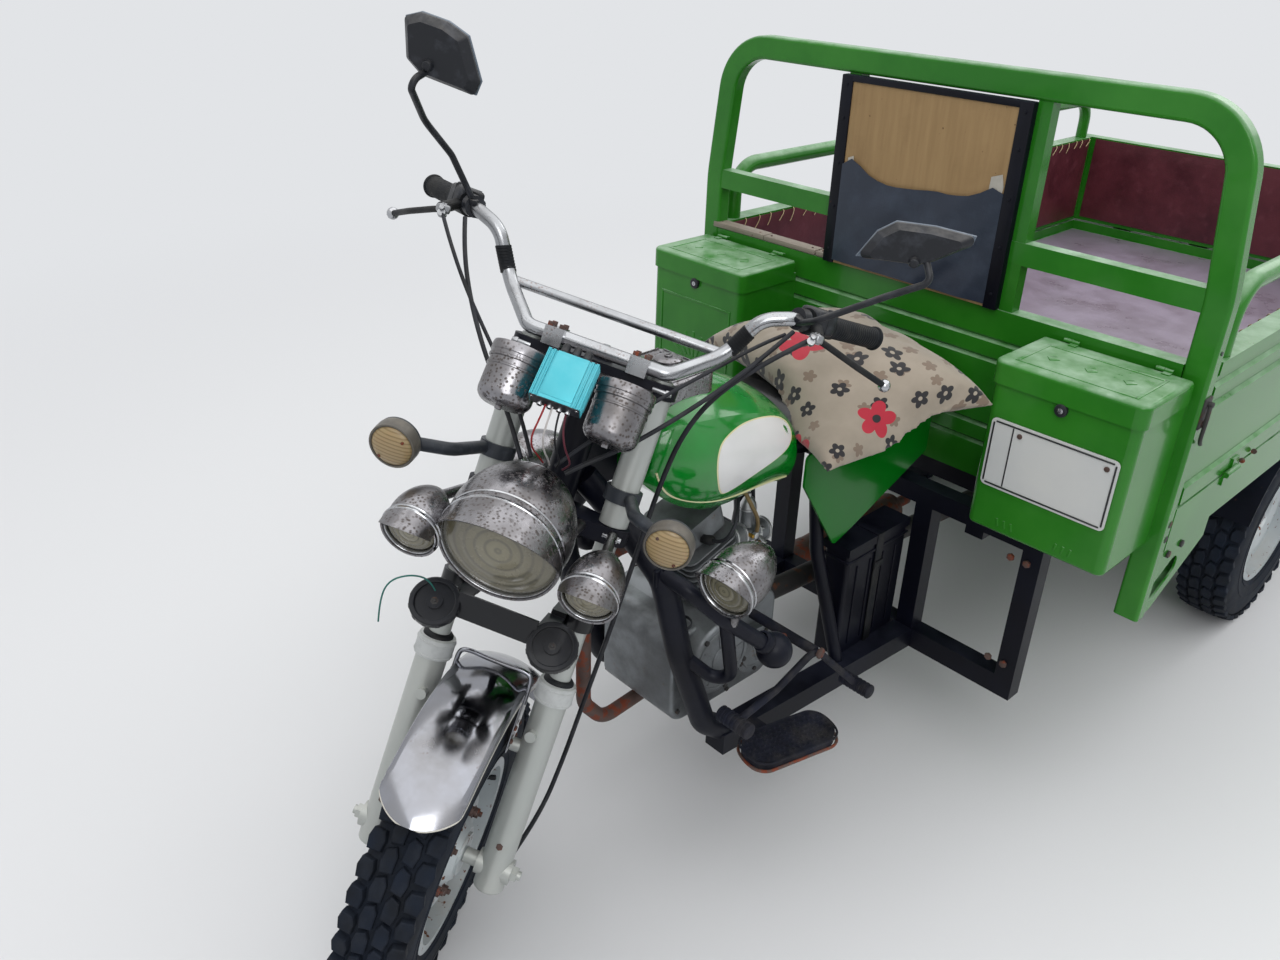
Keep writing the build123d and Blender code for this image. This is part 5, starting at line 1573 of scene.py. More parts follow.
@dataclass
class ForkDress(Dress):
    """Seals, white dust collars, bolts and the fender's rolled edge on the front fork."""

    leg_x: float = 104.0
    leg_y: float = -43.0
    collar_top: float = -510.0
    boss_drop: float = 637.0
    axle_drop: float = 850.789
    fender_radius: float = 308.0
    fender_half: float = 61.0
    fender_crown: float = 14.0
    fender_skirt: float = 14.0
    fender_sheet: float = 1.8
    fender_lift: float = 17.0
    fender_start: float = 30.0
    fender_end: float = 146.0
    fender_tongue: float = 16.0

    def build(self) -> None:
        """Makes all of it on the turned fork."""
        self.legs()
        self.bridges()
        self.fender(self.layout.front_wheel())

    def legs(self) -> None:
        """Collars, seals, drain plugs and axle clamp bolts."""
        collars = Shape()
        profile = [(26.4, -34), (30.4, -33), (31.2, -30), (31.2, -5), (30.2, -1.5), (27, 0.6), (19, 0.8)]
        collars.turned(profile, moved(self.leg_x, self.leg_y, self.collar_top), steps=40)
        for drop in (-7, -29):
            collars.turned(
                [(31, -1.2), (32.3, 0), (31, 1.2)],
                moved(self.leg_x, self.leg_y, self.collar_top + drop),
                steps=40,
            )
        self.on_fork("fork_collars", collars.both(), "fork_silver", COLLAR_WHITE)
        seals = Shape()
        seals.turned(
            [(17.6, 7), (22, 6), (24.5, 3), (24.8, -1), (17.6, -1)],
            moved(self.leg_x, self.leg_y, self.collar_top + 1),
            steps=36,
        )
        self.on_fork("fork_seals", seals.both(), "grip_rubber")
        bolts = Shape()
        for drop in (-858, -842):
            place = moved(self.leg_x - 24, self.leg_y, drop) @ TO_LEFT
            bolts.disc(6.5, 5, place, sides=6, bevel=0.6)
        place = moved(self.leg_x, self.leg_y - 25.5, -800) @ TO_FRONT
        bolts.disc(6, 5, place, sides=6, bevel=0.6)
        bolts.disc(8, 1.6, place @ moved(0, 0, -2.4), sides=24)
        self.on_fork("fork_bolts", bolts.both(), "exhaust_steel")

    def bridges(self) -> None:
        """Fork caps, pinch bolts, the stem nut and the handlebar clamps' bolts."""
        caps = Shape()
        place = moved(self.leg_x, self.leg_y, -7)
        caps.turned(
            [(0.0, 9.0), (8, 9), (9.5, 7.5), (9.5, 4), (15, 4), (16.4, 2.6), (16.4, -2), (0, -2)],
            place,
            steps=36,
        )
        for drop in (-19, -253):
            pinch = moved(self.leg_x + 8, self.leg_y - 27, drop) @ TO_LEFT
            caps.disc(6, 5, pinch @ moved(0, 0, 8), sides=6, bevel=0.6)
            caps.disc(4.2, 30, pinch, sides=16, bevel=0.5)
        caps.both()
        caps.disc(15, 8, moved(0, 0, 6), sides=6, bevel=1.2)
        caps.turned([(0.0, 15.0), (5, 14.6), (8, 13), (8.4, 10), (0, 10)], steps=28)
        self.on_fork("bridge_caps", caps, "bright_chrome", SLEEVE_CHROME)
        clamps = Shape()
        for x in (58, 76):
            clamps.disc(4.6, 7, moved(x, -79, 22.5), sides=6, bevel=0.6)
            clamps.disc(4.6, 7, moved(x, -53, 22.5), sides=6, bevel=0.6)
        self.on_fork("bar_clamp_bolts", clamps.both(), "exhaust_steel")

    def section(self, share: float) -> tuple[float, float]:
        """The fender's cross-section, from its crown to the foot of its skirt.

        Args:
            share: How far along the half section, from 0 to 1.

        Returns:
            The distance from the middle and the radius there.
        """
        x = self.fender_half * min(1.0, share / 0.82)
        crown = self.fender_radius - self.fender_crown * (x / self.fender_half) ** 2
        return x, crown - self.fender_skirt * max(0.0, share - 0.82) / 0.18

    def edge_share(self, angle: float) -> float:
        """How much of the half section the sheet keeps at an angle: its tip is a rounded tongue."""
        gone = max(0.0, 1 - (angle - self.fender_start) / self.fender_tongue)
        return max(0.12, sqrt(max(0.0, 1 - gone * gone)) if gone else 1.0)

    def fender(self, wheel: Matrix) -> None:
        """The crowned sheet with its rounded tip, rolled edge, stays, two dark discs painting the shade of
        open holes, and rivets.

        Args:
            wheel: The front wheel's matrix, with its axle on X.
        """
        part = bmesh.new()
        bmesh.ops.create_grid(part, x_segments=28, y_segments=72, size=1.0)
        for vert in part.verts:
            angle = self.fender_start + (self.fender_end - self.fender_start) * ((vert.co.y + 1) / 2) ** 1.6
            share = self.edge_share(angle) * abs(vert.co.x)
            x, radius = self.section(share)
            vert.co = turned_about("X", -angle) @ Vector((x if vert.co.x > 0 else -x, -radius, 0))
        sheet = Shape().sheet(part, -self.fender_sheet, moved(0, 0, self.fender_lift))
        sides = Shape()
        sides.block((3, 48, 103), moved(self.fender_half + 1.5, 0, 256.5), bevel=1.0)
        sides.disc(7, 8, moved(self.fender_half + 1, 0, self.axle_drop - self.boss_drop) @ TO_LEFT, bevel=1.0)
        hoop = [(63, -4, 286), (63, -4, 310), (62, -4, 334), (44, -4, 338), (20, -4, 336), (-0.5, -4, 336)]
        sides.pipe(hoop, 4, sides=12)
        sides.both()
        sheet.take(sides.mesh)
        shell = piece("fender_sheet", sheet, wheel, Body.STEERING, "bright_chrome", FENDER_CHROME, sharp=50)
        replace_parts(shell, "front_fender")
        route = []
        for k in range(41):
            angle = self.fender_end - (self.fender_end - self.fender_start - 0.4) * sin(k / 40 * pi / 2)
            x, radius = self.section(self.edge_share(angle))
            route.append(turned_about("X", -angle) @ Vector((x, -radius + 1, 0)))
        mirrored = [Vector((-p.x, p.y, p.z)) for p in reversed(route)]
        edge = Shape()
        edge.pipe([*route, *mirrored], 2.4, moved(0, 0, self.fender_lift), sides=10)
        piece("fender_rolled_edge", edge, wheel, Body.STEERING, "bright_chrome", EDGE_CREAM)
        # The holes are not cut: dark rusty discs on the sheet paint the shade seen through them.
        holes, rivets = Shape(), Shape()
        for x, angle in ((-16, 46.5), (12, 45.5)):
            place = turned_about("X", -angle) @ moved(x, -307, 0) @ TO_FRONT
            holes.disc(3.4, 1.6, moved(0, 0, self.fender_lift) @ place, sides=20)
        piece("fender_hole_shade_discs", holes, wheel, Body.STEERING, "exhaust_steel")
        for z in (222, 246):
            for y in (-13, 13):
                head = moved(self.fender_half + 3.6, y, z) @ TO_LEFT
                rivets.turned([(0.0, 3.2), (3, 2.6), (5, 0), (0, 0)], head, steps=16)
        piece("fender_rivets", rivets.both(), wheel, Body.STEERING, "exhaust_steel")


# Lamps and horns


@dataclass
class LampDress(Dress):
    """Ribbed glasses, bezels and screws for the lamps, and faces for the indicators and horns."""

    headlamp: Point = (-9, -255, -276)
    fog: Point = (130, -272, -292)
    guard: Point = (270, -826, 733)
    guard_ahead: Point = (0.12, -0.98, -0.16)
    indicator: Point = (205, -212, -196)
    horn: Point = (93, -170, -412)

    def build(self) -> None:
        """Dresses every lamp and both horns."""
        head = facing(self.headlamp, forward(6))
        fog = facing(self.fog, forward(8))
        other_fog = MIRROR_X @ fog @ MIRROR_X
        guard = facing(self.guard, self.guard_ahead)
        other_guard = MIRROR_X @ guard @ MIRROR_X
        front = self.glass([(head, 84.2), (fog, 36.2), (other_fog, 36.2)])
        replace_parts(self.on_fork("front_glasses", front, "yellow_lens", sharp=60), "front_lenses")
        sides = self.glass([(guard, 44.2), (other_guard, 44.2)])
        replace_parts(self.on_bed("guard_glasses", sides, "yellow_lens", sharp=60), "guard_lenses")
        bezels = self.bezels([(head, 88, 150), (fog, 40, 84), (other_fog, 40, 84)])
        self.on_fork("front_bezels", bezels, "pitted_chrome", BRIGHT_CHROME)
        bezels = self.bezels([(guard, 48, 112), (other_guard, 48, 112)])
        self.on_bed("guard_bezels", bezels, "bright_chrome")
        self.indicators()
        self.horns()

    def glass(self, lamps: Sequence[tuple[Matrix, float]]) -> Shape:
        """Domed glasses with stepped rings moulded in their faces.

        Args:
            lamps: Each lamp's place and the radius of its glass.

        Returns:
            The glasses.
        """
        shape = Shape()
        for place, radius in lamps:
            rows = [(0.0, 3.2), (0.2, 3.1), (0.40, 2.6), (0.43, 1.9), (0.46, 2.5), (0.66, 1.4), (0.69, 0.6)]
            rows += [(0.72, 1.2), (0.88, -1.0), (0.94, -2.6), (1.0, -5.0), (1.0, -9.5), (0.0, -9.8)]
            shape.turned([(r * radius, z) for r, z in rows], place, steps=64, chart=radius)
        return shape

    def bezels(self, lamps: Sequence[tuple[Matrix, float, float]]) -> Shape:
        """The bright ring in each rim, the seam behind it and the screws that hold it.

        Args:
            lamps: Each lamp's place, radius and depth.

        Returns:
            The rings and screws.
        """
        shape = Shape()
        for place, radius, depth in lamps:
            bead = [
                (radius - 3.6, -6),
                (radius - 3.6, 0.6),
                (radius - 2.4, 2.2),
                (radius - 1, 1.4),
                (radius - 0.9, -4),
            ]
            shape.turned(bead, place, steps=64)
            seam = [(radius + 1.6, -6.5), (radius + 3.1, -4.2), (radius + 3.1, -1.4), (radius + 1.6, 0.4)]
            shape.turned(seam, place, steps=64)
            band = radius + 0.4
            shape.turned(
                [(band, -depth * 0.12 - 2), (band + 1.2, -depth * 0.12), (band, -depth * 0.12 + 2)],
                place,
                steps=64,
            )
            screw = place @ moved(0, -radius - 2, -3) @ TO_FRONT
            shape.disc(3.4, 6, screw, sides=16, bevel=0.8)
            shape.disc(radius * 0.2, 5, place @ moved(0, 0, -depth - 2), sides=6, bevel=1.0)
        return shape

    def indicators(self) -> None:
        """Ribbed lenses, their rims and screws, on both faces' black shells."""
        ahead = facing(self.indicator, forward())
        lenses, shells, screws = Shape(), Shape(), Shape()
        dome = [(0.0, 20.0), (10, 19.6), (20, 18.2), (27, 15.6), (30.5, 12.6), (31.5, 9), (0, 9)]
        lenses.turned(dome, ahead, steps=48, chart=31)
        rim = [
            (31.2, 8.5), (31.4, 13.2), (33, 14), (34.6, 13), (35, 6), (35, -6), (33, -12), (26, -16),
            (0, -17), (0, 8.5),
        ]
        shells.turned(rim, ahead, steps=48)
        for x, y in ((-17, 15), (15, -19)):
            screws.disc(2.4, 3.4, ahead @ moved(x, y, 17), sides=14, bevel=0.5)
        self.on_fork("indicator_lenses", lenses.both(), "amber_lens", sharp=60)
        self.on_fork("indicator_shells", shells.both(), "black_plastic", INDICATOR_BLACK)
        self.on_fork("indicator_screws", screws.both(), "exhaust_steel")

    def horns(self) -> None:
        """Crimped rims, stepped diaphragms and centre nuts of the two horns."""
        place = facing(self.horn, (0, -0.8, 0.6))
        faces, nuts = Shape(), Shape()
        rows = [(0.0, 3.4), (13, 3.4), (13.6, 1.4), (17, 1.2), (17.6, 2.8), (21, 2.8), (21.6, 1.0), (25, 1.0)]
        rows += [
            (25.6, 2.6), (29.2, 2.6), (29.6, 6.4), (31, 7.4), (36, 7.4), (37.6, 6.2), (38.2, 3.4), (38.2, -4)
        ]
        rows += [(36.8, -6.4), (0, -6.4)]
        faces.turned(rows, place, steps=56)
        for k in range(12):
            lug = place @ turned_about("Z", 30 * k) @ moved(0, 37.8, -1)
            faces.block((7, 2.4, 7), lug, bevel=0.8)
        self.on_fork("horn_faces", faces.both(), "horn_black", sharp=30)
        nuts.disc(6.5, 4, place @ moved(0, 0, 5.4), sides=6, bevel=0.7)
        nuts.disc(2.8, 5, place @ moved(0, 0, 8), sides=16, bevel=0.5)
        nuts.block((9, 5, 6), place @ moved(-18, 34, -12), bevel=0.8)
        self.on_fork("horn_nuts", nuts.both(), "exhaust_steel", SPRING_STEEL)


# Instruments and bars


@dataclass
class Cockpit(Dress):
    """Bands and dials of the instruments, the amplifier's ribs, tape, grips, levers and mirror edges."""

    pod: Point = (78, -198, -62)
    pod_axis: Point = (0, 0.3, 0.95)
    amplifier: Point = (0, -226, -34)
    amplifier_face: Point = (0, -0.86, 0.51)
    bar_turn: Point = (262, -4, 146)
    bar_end: Point = (386, 135, 156)

    def build(self) -> None:
        """Makes all of it on the turned fork."""
        self.instruments()
        self.amplifier_box()
        self.tapes()
        self.grips()
        self.mirror_trim()

    def instruments(self) -> None:
        """Rolled bands, rims and dials with ticks and needles."""
        place = facing(self.pod, self.pod_axis)
        bands = Shape()
        bands.turned([(39.4, 12.5), (40.6, 13.5), (40.6, 15.5), (39.4, 16.5)], place, steps=56)
        bands.turned([(40.8, 24.6), (42, 25.6), (42, 28), (40.8, 29)], place, steps=56)
        bands.turned(
            [(40.8, 33), (42.2, 34.4), (42.2, 44), (41, 47.2), (37.6, 47.6), (36.4, 46)], place, steps=56
        )
        for angle in (20, 140, 260):
            lug = place @ turned_about("Z", angle) @ moved(41.6, 0, 30.5) @ TO_LEFT
            bands.disc(2.6, 2.4, lug, sides=14, bevel=0.6)
        bands.disc(5, 8, place @ moved(0, -12, -40), sides=6, bevel=0.8)
        self.on_fork("pod_bands", bands.both(), "pitted_chrome")
        dials = Shape()
        dials.disc(36.4, 1.0, place @ moved(0, 0, 46.1), sides=56)
        self.on_fork("pod_dials", dials.both(), "black_plastic")
        marks = Shape()
        for k in range(25):
            long = k % 4 == 0
            turn = place @ turned_about("Z", 120 - 10 * k)
            size = (7.0, 1.6, 0.3) if long else (4.0, 0.9, 0.3)
            marks.block(size, turn @ moved(33 - size[0] / 2, 0, 46.8))
        marks.block((22, 1.8, 0.6), place @ turned_about("Z", 215) @ moved(8, 0, 47.4))
        marks.disc(4.2, 1.4, place @ moved(0, 0, 47.4), sides=24, bevel=0.4)
        self.on_fork("pod_marks", marks.both(), "fork_silver", COLLAR_WHITE)

    def amplifier_box(self) -> None:
        """Fine ribs on the case, end plates with screws and the knobs' caps."""
        place = facing(self.amplifier, self.amplifier_face)
        ribs = Shape()
        for x in (-35.4, -33.2, -28.8, -26.6, 26.6, 28.8, 33.2, 35.4):
            ribs.block((1.2, 71, 1.6), place @ moved(x, 0, 13.4), bevel=0.5)
        for x in (-36.8, 36.8):
            for z in (-7, -2, 3, 8):
                ribs.block((1.2, 71, 1.6), place @ moved(x, 0, z), bevel=0.4)
        ribs.block((45, 62, 0.8), place @ moved(0, 0, 13.2), bevel=0.3)
        self.on_fork("amplifier_ribs", ribs, "amp_blue")
        ends = Shape()
        for y in (-36.6, 36.6):
            ends.block((71, 1.6, 24), place @ moved(0, y, 0), bevel=0.6)
        for x in (-16, 0, 16):
            knob = place @ moved(x, 44, 4) @ turned_about("X", -90)
            ends.turned(
                [(0.0, 9.0), (3.4, 9), (4.6, 8), (5.6, 1.5), (6.4, -3), (6.4, -5), (0, -5)], knob, steps=28
            )
            for k in range(10):
                flute = knob @ turned_about("Z", 36 * k) @ moved(5.4, 0, 2.5)
                ends.block((0.9, 1.1, 7), flute, bevel=0.2)
        self.on_fork("amplifier_ends", ends, "black_plastic")
        trims = Shape()
        for x in (-32, 32):
            for y in (-37.6, 37.6):
                head = place @ moved(x, y, 8) @ TO_FRONT
                trims.disc(2.2, 1.4, head, sides=12, bevel=0.4)
        for x in (-20, -6, 8, 20):
            jack = place @ moved(x, -38.5, -2) @ TO_FRONT
            trims.turned([(2.0, 4), (3.6, 4), (3.9, 3), (3.9, -3), (2, -3)], jack, steps=20)
        self.on_fork("amplifier_sockets", trims, "bright_chrome")

    def tapes(self) -> None:
        """Black tape wound round the bar beside the crossbar."""
        tape = Shape()
        for side in (1, -1):
            start, end = Vector((side * 176, 0, 58)), Vector((side * 212, -14, 128))
            lean = (end - start).normalized()
            for k in range(9):
                spot = start + (end - start) * (0.18 + 0.058 * k)
                turn = facing(spot, lean + Vector((0.12, 0.08, 0)), (0, 1, 0))
                tape.turned([(11.1, -3), (12.4, -2.2), (12.7, 1.6), (11.2, 2.6)], turn, steps=28)
        self.on_fork("bar_tape", tape, "grip_rubber")

    def grips(self) -> None:
        """Ribbed grip sleeves, switch housings with buttons, and perch clamps."""
        start, end = Vector(self.bar_turn), Vector(self.bar_end)
        lean = (end - start).normalized()
        place = facing(start, lean, (0, 0, 1))
        run = (end - start).length
        sleeve = Shape()
        rows = [(15.9, 0.385 * run), (18.6, 0.39 * run), (19.4, 0.405 * run), (16.9, 0.42 * run)]
        for k in range(19):
            z = (0.43 + 0.0275 * k) * run
            rows += [(16.2, z), (17.1, z + 0.8), (17.1, z + 3.0), (16.2, z + 3.8)]
        rows += [
            (16.6, 0.97 * run), (19.0, 0.975 * run), (19.4, 0.99 * run), (17.5, 1.0 * run), (0, 1.002 * run)
        ]
        sleeve.turned(rows, place, steps=40)
        self.on_fork("grip_sleeves", sleeve.both(), "grip_rubber", sharp=50)
        housing = Shape()
        middle = place @ moved(0, 0, 0.228 * run)
        housing.block((38, 44, 45), middle @ moved(4, 0, 0), bevel=7, segments=3)
        housing.block((39, 45, 1.2), middle @ moved(4, 0, 0), bevel=0.4)
        housing.block((10, 12, 8), middle @ moved(18, -18, 6), bevel=2)
        housing.block((12, 9, 9), middle @ moved(20, 12, 10), bevel=3)
        housing.disc(5, 8, middle @ moved(4, -22, -10) @ TO_FRONT, sides=24, bevel=1)
        self.on_fork("switch_housings", housing.both(), "black_plastic")
        perch = Shape()
        perch.block((30, 26, 15), place @ moved(-2, -6, 0.055 * run), bevel=5, segments=3)
        perch.block((16, 20, 14), moved(297, -38, 128) @ turned_about("Z", 46), bevel=4, segments=3)
        perch.disc(6.5, 17, moved(298, -37, 128), sides=6, bevel=0.8)
        perch.disc(4, 26, moved(292, -50, 124) @ turned_about("X", 62), sides=16, bevel=0.8)
        perch.disc(6.4, 7, moved(291, -57, 121) @ turned_about("X", 62), sides=22, bevel=0.8)
        self.on_fork("lever_perches", perch.both(), "bright_chrome", SLEEVE_CHROME)
        ends = Shape()
        ends.turned(
            [(0.0, 10.4), (5, 9.4), (9, 5.2), (10.4, 0), (9, -5.2), (5, -9.4), (0, -10.4)],
            moved(424, 92, 92),
            steps=28,
        )
        self.on_fork("lever_balls", ends.both(), "bright_chrome")

    def mirror_trim(self) -> None:
        """The mirrors' grey edges, their glasses, ball joints and clamp nuts."""
        left = [(-68, -42), (-53, 1), (-33, 22), (18, 32), (72, 36), (72, 24), (34, -12), (16, -24)]
        right = [(-55, 30), (-33, 41), (6, 40), (36, 30), (62, -22), (57, -42), (-22, -38), (-46, -22)]
        glass, edge, joints = Shape(), Shape(), Shape()
        for centre, outline in (((376, -106, 290), left), ((-308, -191, 323), right)):
            place = facing(centre, forward())
            back = place @ moved(0, 0, -9.2) @ turned_about("Y", 180)
            glass.prism([(-x * 0.9, y * 0.9) for x, y in outline], 0.9, back, bevel=0.5, segments=1)
            edge.prism(
                [(x * 1.012, y * 1.012) for x, y in outline], 4.6, place @ moved(0, 0, -8.4), bevel=1.4
            )
            joints.disc(9, 10, place @ moved(8 if centre[0] > 0 else -8, -18, 15), sides=28, top=6, bevel=1.2)
        self.on_fork("mirror_glasses", glass, "bright_chrome", MIRROR_GLASS)
        self.on_fork("mirror_edges", edge, "black_plastic", MIRROR_EDGE)
        self.on_fork("mirror_joints", joints, "black_plastic")
        nuts = Shape()
        nuts.disc(8, 9, moved(264, -12, 146) @ turned_about("X", 30), sides=6, bevel=0.9)
        nuts.disc(8, 9, moved(-264, -10, 152) @ turned_about("X", 20), sides=6, bevel=0.9)
        self.on_fork("mirror_nuts", nuts, "black_plastic")


# Cables


@dataclass
class Cables(Dress):
    """The loose cables and wires: each a smooth hanging line from one fitting to another."""

    def build(self) -> None:
        """Lays every cable; all of them turn with the fork."""
        brake = Cord(
            "brake_cable",
            (
                (286, -52, 120), (252, -78, 86), (190, -66, 10), (158, -30, -70), (150, -14, -160),
                (150, 0, -280), (150, 14, -420), (146, 40, -560), (142, 84, -690), (138, 60, -790),
                (126, -36, -816),
            ),
            8.0,
            1060.0,
            CABLE_SHEATH,
        )
        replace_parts(brake.lay(self.fork, Body.STEERING), "control_cables")
        others = (
            Cord(
                "clutch_cable",
                (
                    (-290, -56, 122), (-262, -88, 96), (-214, -92, 34), (-160, -78, -30), (-100, -104, -80),
                    (-52, -140, -128), (-26, -158, -160),
                ),
                6.0,
                410.0,
                CABLE_SHEATH,
            ),
            Cord(
                "throttle_cable",
                (
                    (252, -26, 118), (226, -62, 96), (182, -84, 48), (132, -100, -6), (80, -120, -70),
                    (36, -150, -122), (12, -164, -160),
                ),
                6.0,
                400.0,
                CABLE_SHEATH,
            ),
            Cord(
                "switch_wires_left",
                (
                    (262, -34, 126), (238, -70, 84), (198, -92, 22), (148, -112, -44), (96, -128, -104),
                    (52, -146, -142), (28, -158, -166),
                ),
                7.0,
                400.0,
                CABLE_SHEATH,
            ),
            Cord(
                "switch_wires_right",
                (
                    (-262, -34, 126), (-240, -66, 84), (-204, -84, 20), (-154, -100, -48), (-98, -122, -104),
                    (-62, -142, -142), (-40, -156, -168),
                ),
                7.0,
                390.0,
                CABLE_SHEATH,
            ),
        )
        for wire in others:
            wire.lay(self.fork, Body.STEERING)
        self.amplifier_wires()

    def amplifier_wires(self) -> None:
        """The thin wires under the amplifier and the loose tail beside the right horn."""
        for name, shift, finish in (
            ("amplifier_wire_red", -12.0, WIRE_RED),
            ("amplifier_wire_white", -2.0, WIRE_WHITE),
            ("amplifier_wire_black", 9.0, CABLE_SHEATH),
            ("amplifier_wire_maroon", 18.0, WIRE_MAROON),
        ):
            points = (
                (shift, -243, -68),
                (shift * 1.1, -246, -88),
                (shift * 1.6, -236, -116),
                (shift * 1.9 + 4, -212, -136),
                (shift * 1.6 + 6, -186, -148),
                (shift + 6, -166, -160),
            )
            Cord(name, points, 2.8, 132.0, finish, stiffness="limp").lay(self.fork, Body.STEERING)
        tail = Cord(
            "horn_wire_teal",
            (
                (-96, -178, -392), (-104, -196, -372), (-130, -206, -372), (-158, -206, -392),
                (-164, -204, -424), (-156, -204, -458),
            ),
            2.6,
            150.0,
            WIRE_TEAL,
            stiffness="limp",
            far_end="bare",
        )
        tail.lay(self.fork, Body.STEERING)


# Tank, seat and cushion


def solid_tree(*objects: bpy.types.Object) -> BVHTree:
    """A search tree over some pieces' surfaces.

    Args:
        objects: The pieces.

    Returns:
        The tree.
    """
    joined = bmesh.new()
    for obj in objects:
        joined.from_mesh(obj.data)
    tree = BVHTree.FromBMesh(joined)
    joined.free()
    return tree


@dataclass
class TankTrim(Dress):
    """The cream side panel and pin line on the tank, and the console's ridges, ring and cap."""

    tank: bpy.types.Object
    film: float = 0.0004
    panel: tuple[Point, ...] = (
        (-690, 892), (-706, 872), (-708, 846), (-701, 820), (-690, 798), (-676, 784), (-650, 790),
        (-606, 801), (-556, 808), (-512, 818), (-492, 838), (-506, 864), (-560, 888), (-634, 901),
    )
    line: tuple[Point, ...] = (
        (-806, 856), (-792, 822), (-770, 800), (-730, 782), (-680, 768), (-620, 760), (-560, 752),
        (-500, 744), (-482, 742),
    )

    def build(self) -> None:
        """Makes the trim on both sides and on top."""
        skin = solid_tree(self.tank)
        for side, name in ((1, "left"), (-1, "right")):
            self.decal(f"tank_panel_{name}", skin, side, self.panel, 0.7, "plate_steel", PANEL_CREAM)
            rim = self.offset(self.panel, 1.035)
            self.decal(f"tank_panel_rim_{name}", skin, side, rim, 0.4, "plate_steel", LINE_CREAM)
            self.pin_line(f"tank_line_{name}", skin, side)
        self.console()

    def offset(self, outline: Sequence[Point], growth: float) -> list[Point]:
        """The outline made larger about its middle."""
        y = sum(p[0] for p in outline) / len(outline)
        z = sum(p[1] for p in outline) / len(outline)
        return [(y + (a - y) * growth, z + (b - z) * growth) for a, b in outline]

    def on_skin(self, skin: BVHTree, side: int, y: float, z: float, lift: float) -> Vector:
        """The point of the tank's side straight beside a place, lifted off the paint.

        Args:
            skin: The tank's surface.
            side: 1 for the left and -1 for the right.
            y: How far back, in millimetres.
            z: How high, in millimetres.
            lift: How far off the surface, in millimetres.

        Returns:
            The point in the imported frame.
        """
        start = self.bed @ Vector((side * 400, y, z))
        hit, normal, _, _ = skin.ray_cast(start, Vector((-side, 0, 0)))
        if hit is None:
            hit, normal, _, _ = skin.find_nearest(self.bed @ Vector((side * 110, y, z)))
        return hit + normal * lift * MM

    def decal(
        self,
        name: str,
        skin: BVHTree,
        side: int,
        outline: Sequence[Point],
        lift: float,
        slot: str,
        finish: Finish,
    ) -> None:
        """Lays a thin panel of some outline on the tank's side.

        Args:
            name: The piece's name.
            skin: The tank's surface.
            side: 1 for the left and -1 for the right.
            outline: Its corners as (y, z), in millimetres.
            lift: How far it stands off the paint, in millimetres.
            slot: The record's material slot.
            finish: Its finish.
        """
        curve = bpy.data.curves.new(name, "CURVE")
        curve.dimensions = "3D"
        spline = curve.splines.new("NURBS")
        spline.points.add(len(outline) - 1)
        for spot, (y, z) in zip(spline.points, outline):
            spot.co = (y, z, 0.0, 1.0)
        spline.order_u = 3
        spline.use_cyclic_u = True
        spline.resolution_u = 6
        holder = bpy.data.objects.new(name, curve)
        ring = bpy.data.meshes.new_from_object(holder)
        part = bmesh.new()
        part.from_mesh(ring)
        bpy.data.objects.remove(holder)
        bpy.data.curves.remove(curve)
        bpy.data.meshes.remove(ring)
        loop = list(part.edges)
        middle = sum((v.co for v in part.verts), Vector()) / len(part.verts)
        for _ in range(9):
            grown = bmesh.ops.extrude_edge_only(part, edges=loop)
            verts = [v for v in grown["geom"] if isinstance(v, bmesh.types.BMVert)]
            loop = [e for e in grown["geom"] if isinstance(e, bmesh.types.BMEdge)]
            bmesh.ops.scale(part, verts=verts, vec=(0.8, 0.8, 1.0), space=Matrix.Translation(-middle))
        bmesh.ops.contextual_create(part, geom=loop)
        for vert in part.verts:
            vert.co = self.on_skin(skin, side, vert.co.x, vert.co.y, lift)
        shape = Shape().sheet(part, self.film)
        piece(name, shape, Matrix(), Body.VEHICLE, slot, finish, sharp=60)

    def pin_line(self, name: str, skin: BVHTree, side: int) -> None:
        """The cream line along the lower edge of one side.

        Args:
            name: The piece's name.
            skin: The tank's surface.
            side: 1 for the left and -1 for the right.
        """
        shape = Shape()
        route = [self.on_skin(skin, side, y, z, 0.3) / MM for y, z in self.line]
        shape.pipe(route, 2.2, sides=8)
        piece(name, shape, Matrix.Scale(MM, 4), Body.VEHICLE, "plate_steel", LINE_CREAM)

    def console(self) -> None:
        """Folded edges, a key dial, screws and the filler's hinged cap."""
        trim = Shape()
        for x in (-60, 60):
            trim.block((3, 108, 3), moved(x, -718, 986.6), bevel=1.2)
        for y in (-776, -660):
            trim.block((104, 3, 3), moved(0, y, 986.6), bevel=1.2)
        for x in (-46, 46):
            for y in (-766, -670):
                trim.disc(4, 2, moved(x, y, 987.4), sides=18, bevel=0.6)
        ring = [(24.5, -6), (28.5, -5), (29.5, -2), (28, 0.5), (24.5, 1)]
        trim.turned(ring, moved(0, -700, 990), steps=48)
        lid = [(0.0, 10.0), (14, 9.6), (20, 8.4), (23.4, 6), (24.6, 2), (24.6, -3), (0, -3)]
        trim.turned(lid, moved(0, -700, 991), steps=48)
        trim.block((16, 9, 7), moved(0, -729, 991), bevel=2)
        trim.disc(7, 5, moved(0, -700, 1001), sides=28, bevel=1.2)
        trim.block((2, 9, 2), moved(0, -700, 1004), bevel=0.6)
        self.on_bed("console_trim", trim, "pitted_chrome")
        knob = Shape()
        knob.turned(
            [(0.0, 11.0), (12, 10), (17, 7), (19, 2), (19, -1), (0, -1)], moved(30, -756, 987), steps=36
        )
        self.on_bed("console_knob", knob, "black_plastic")


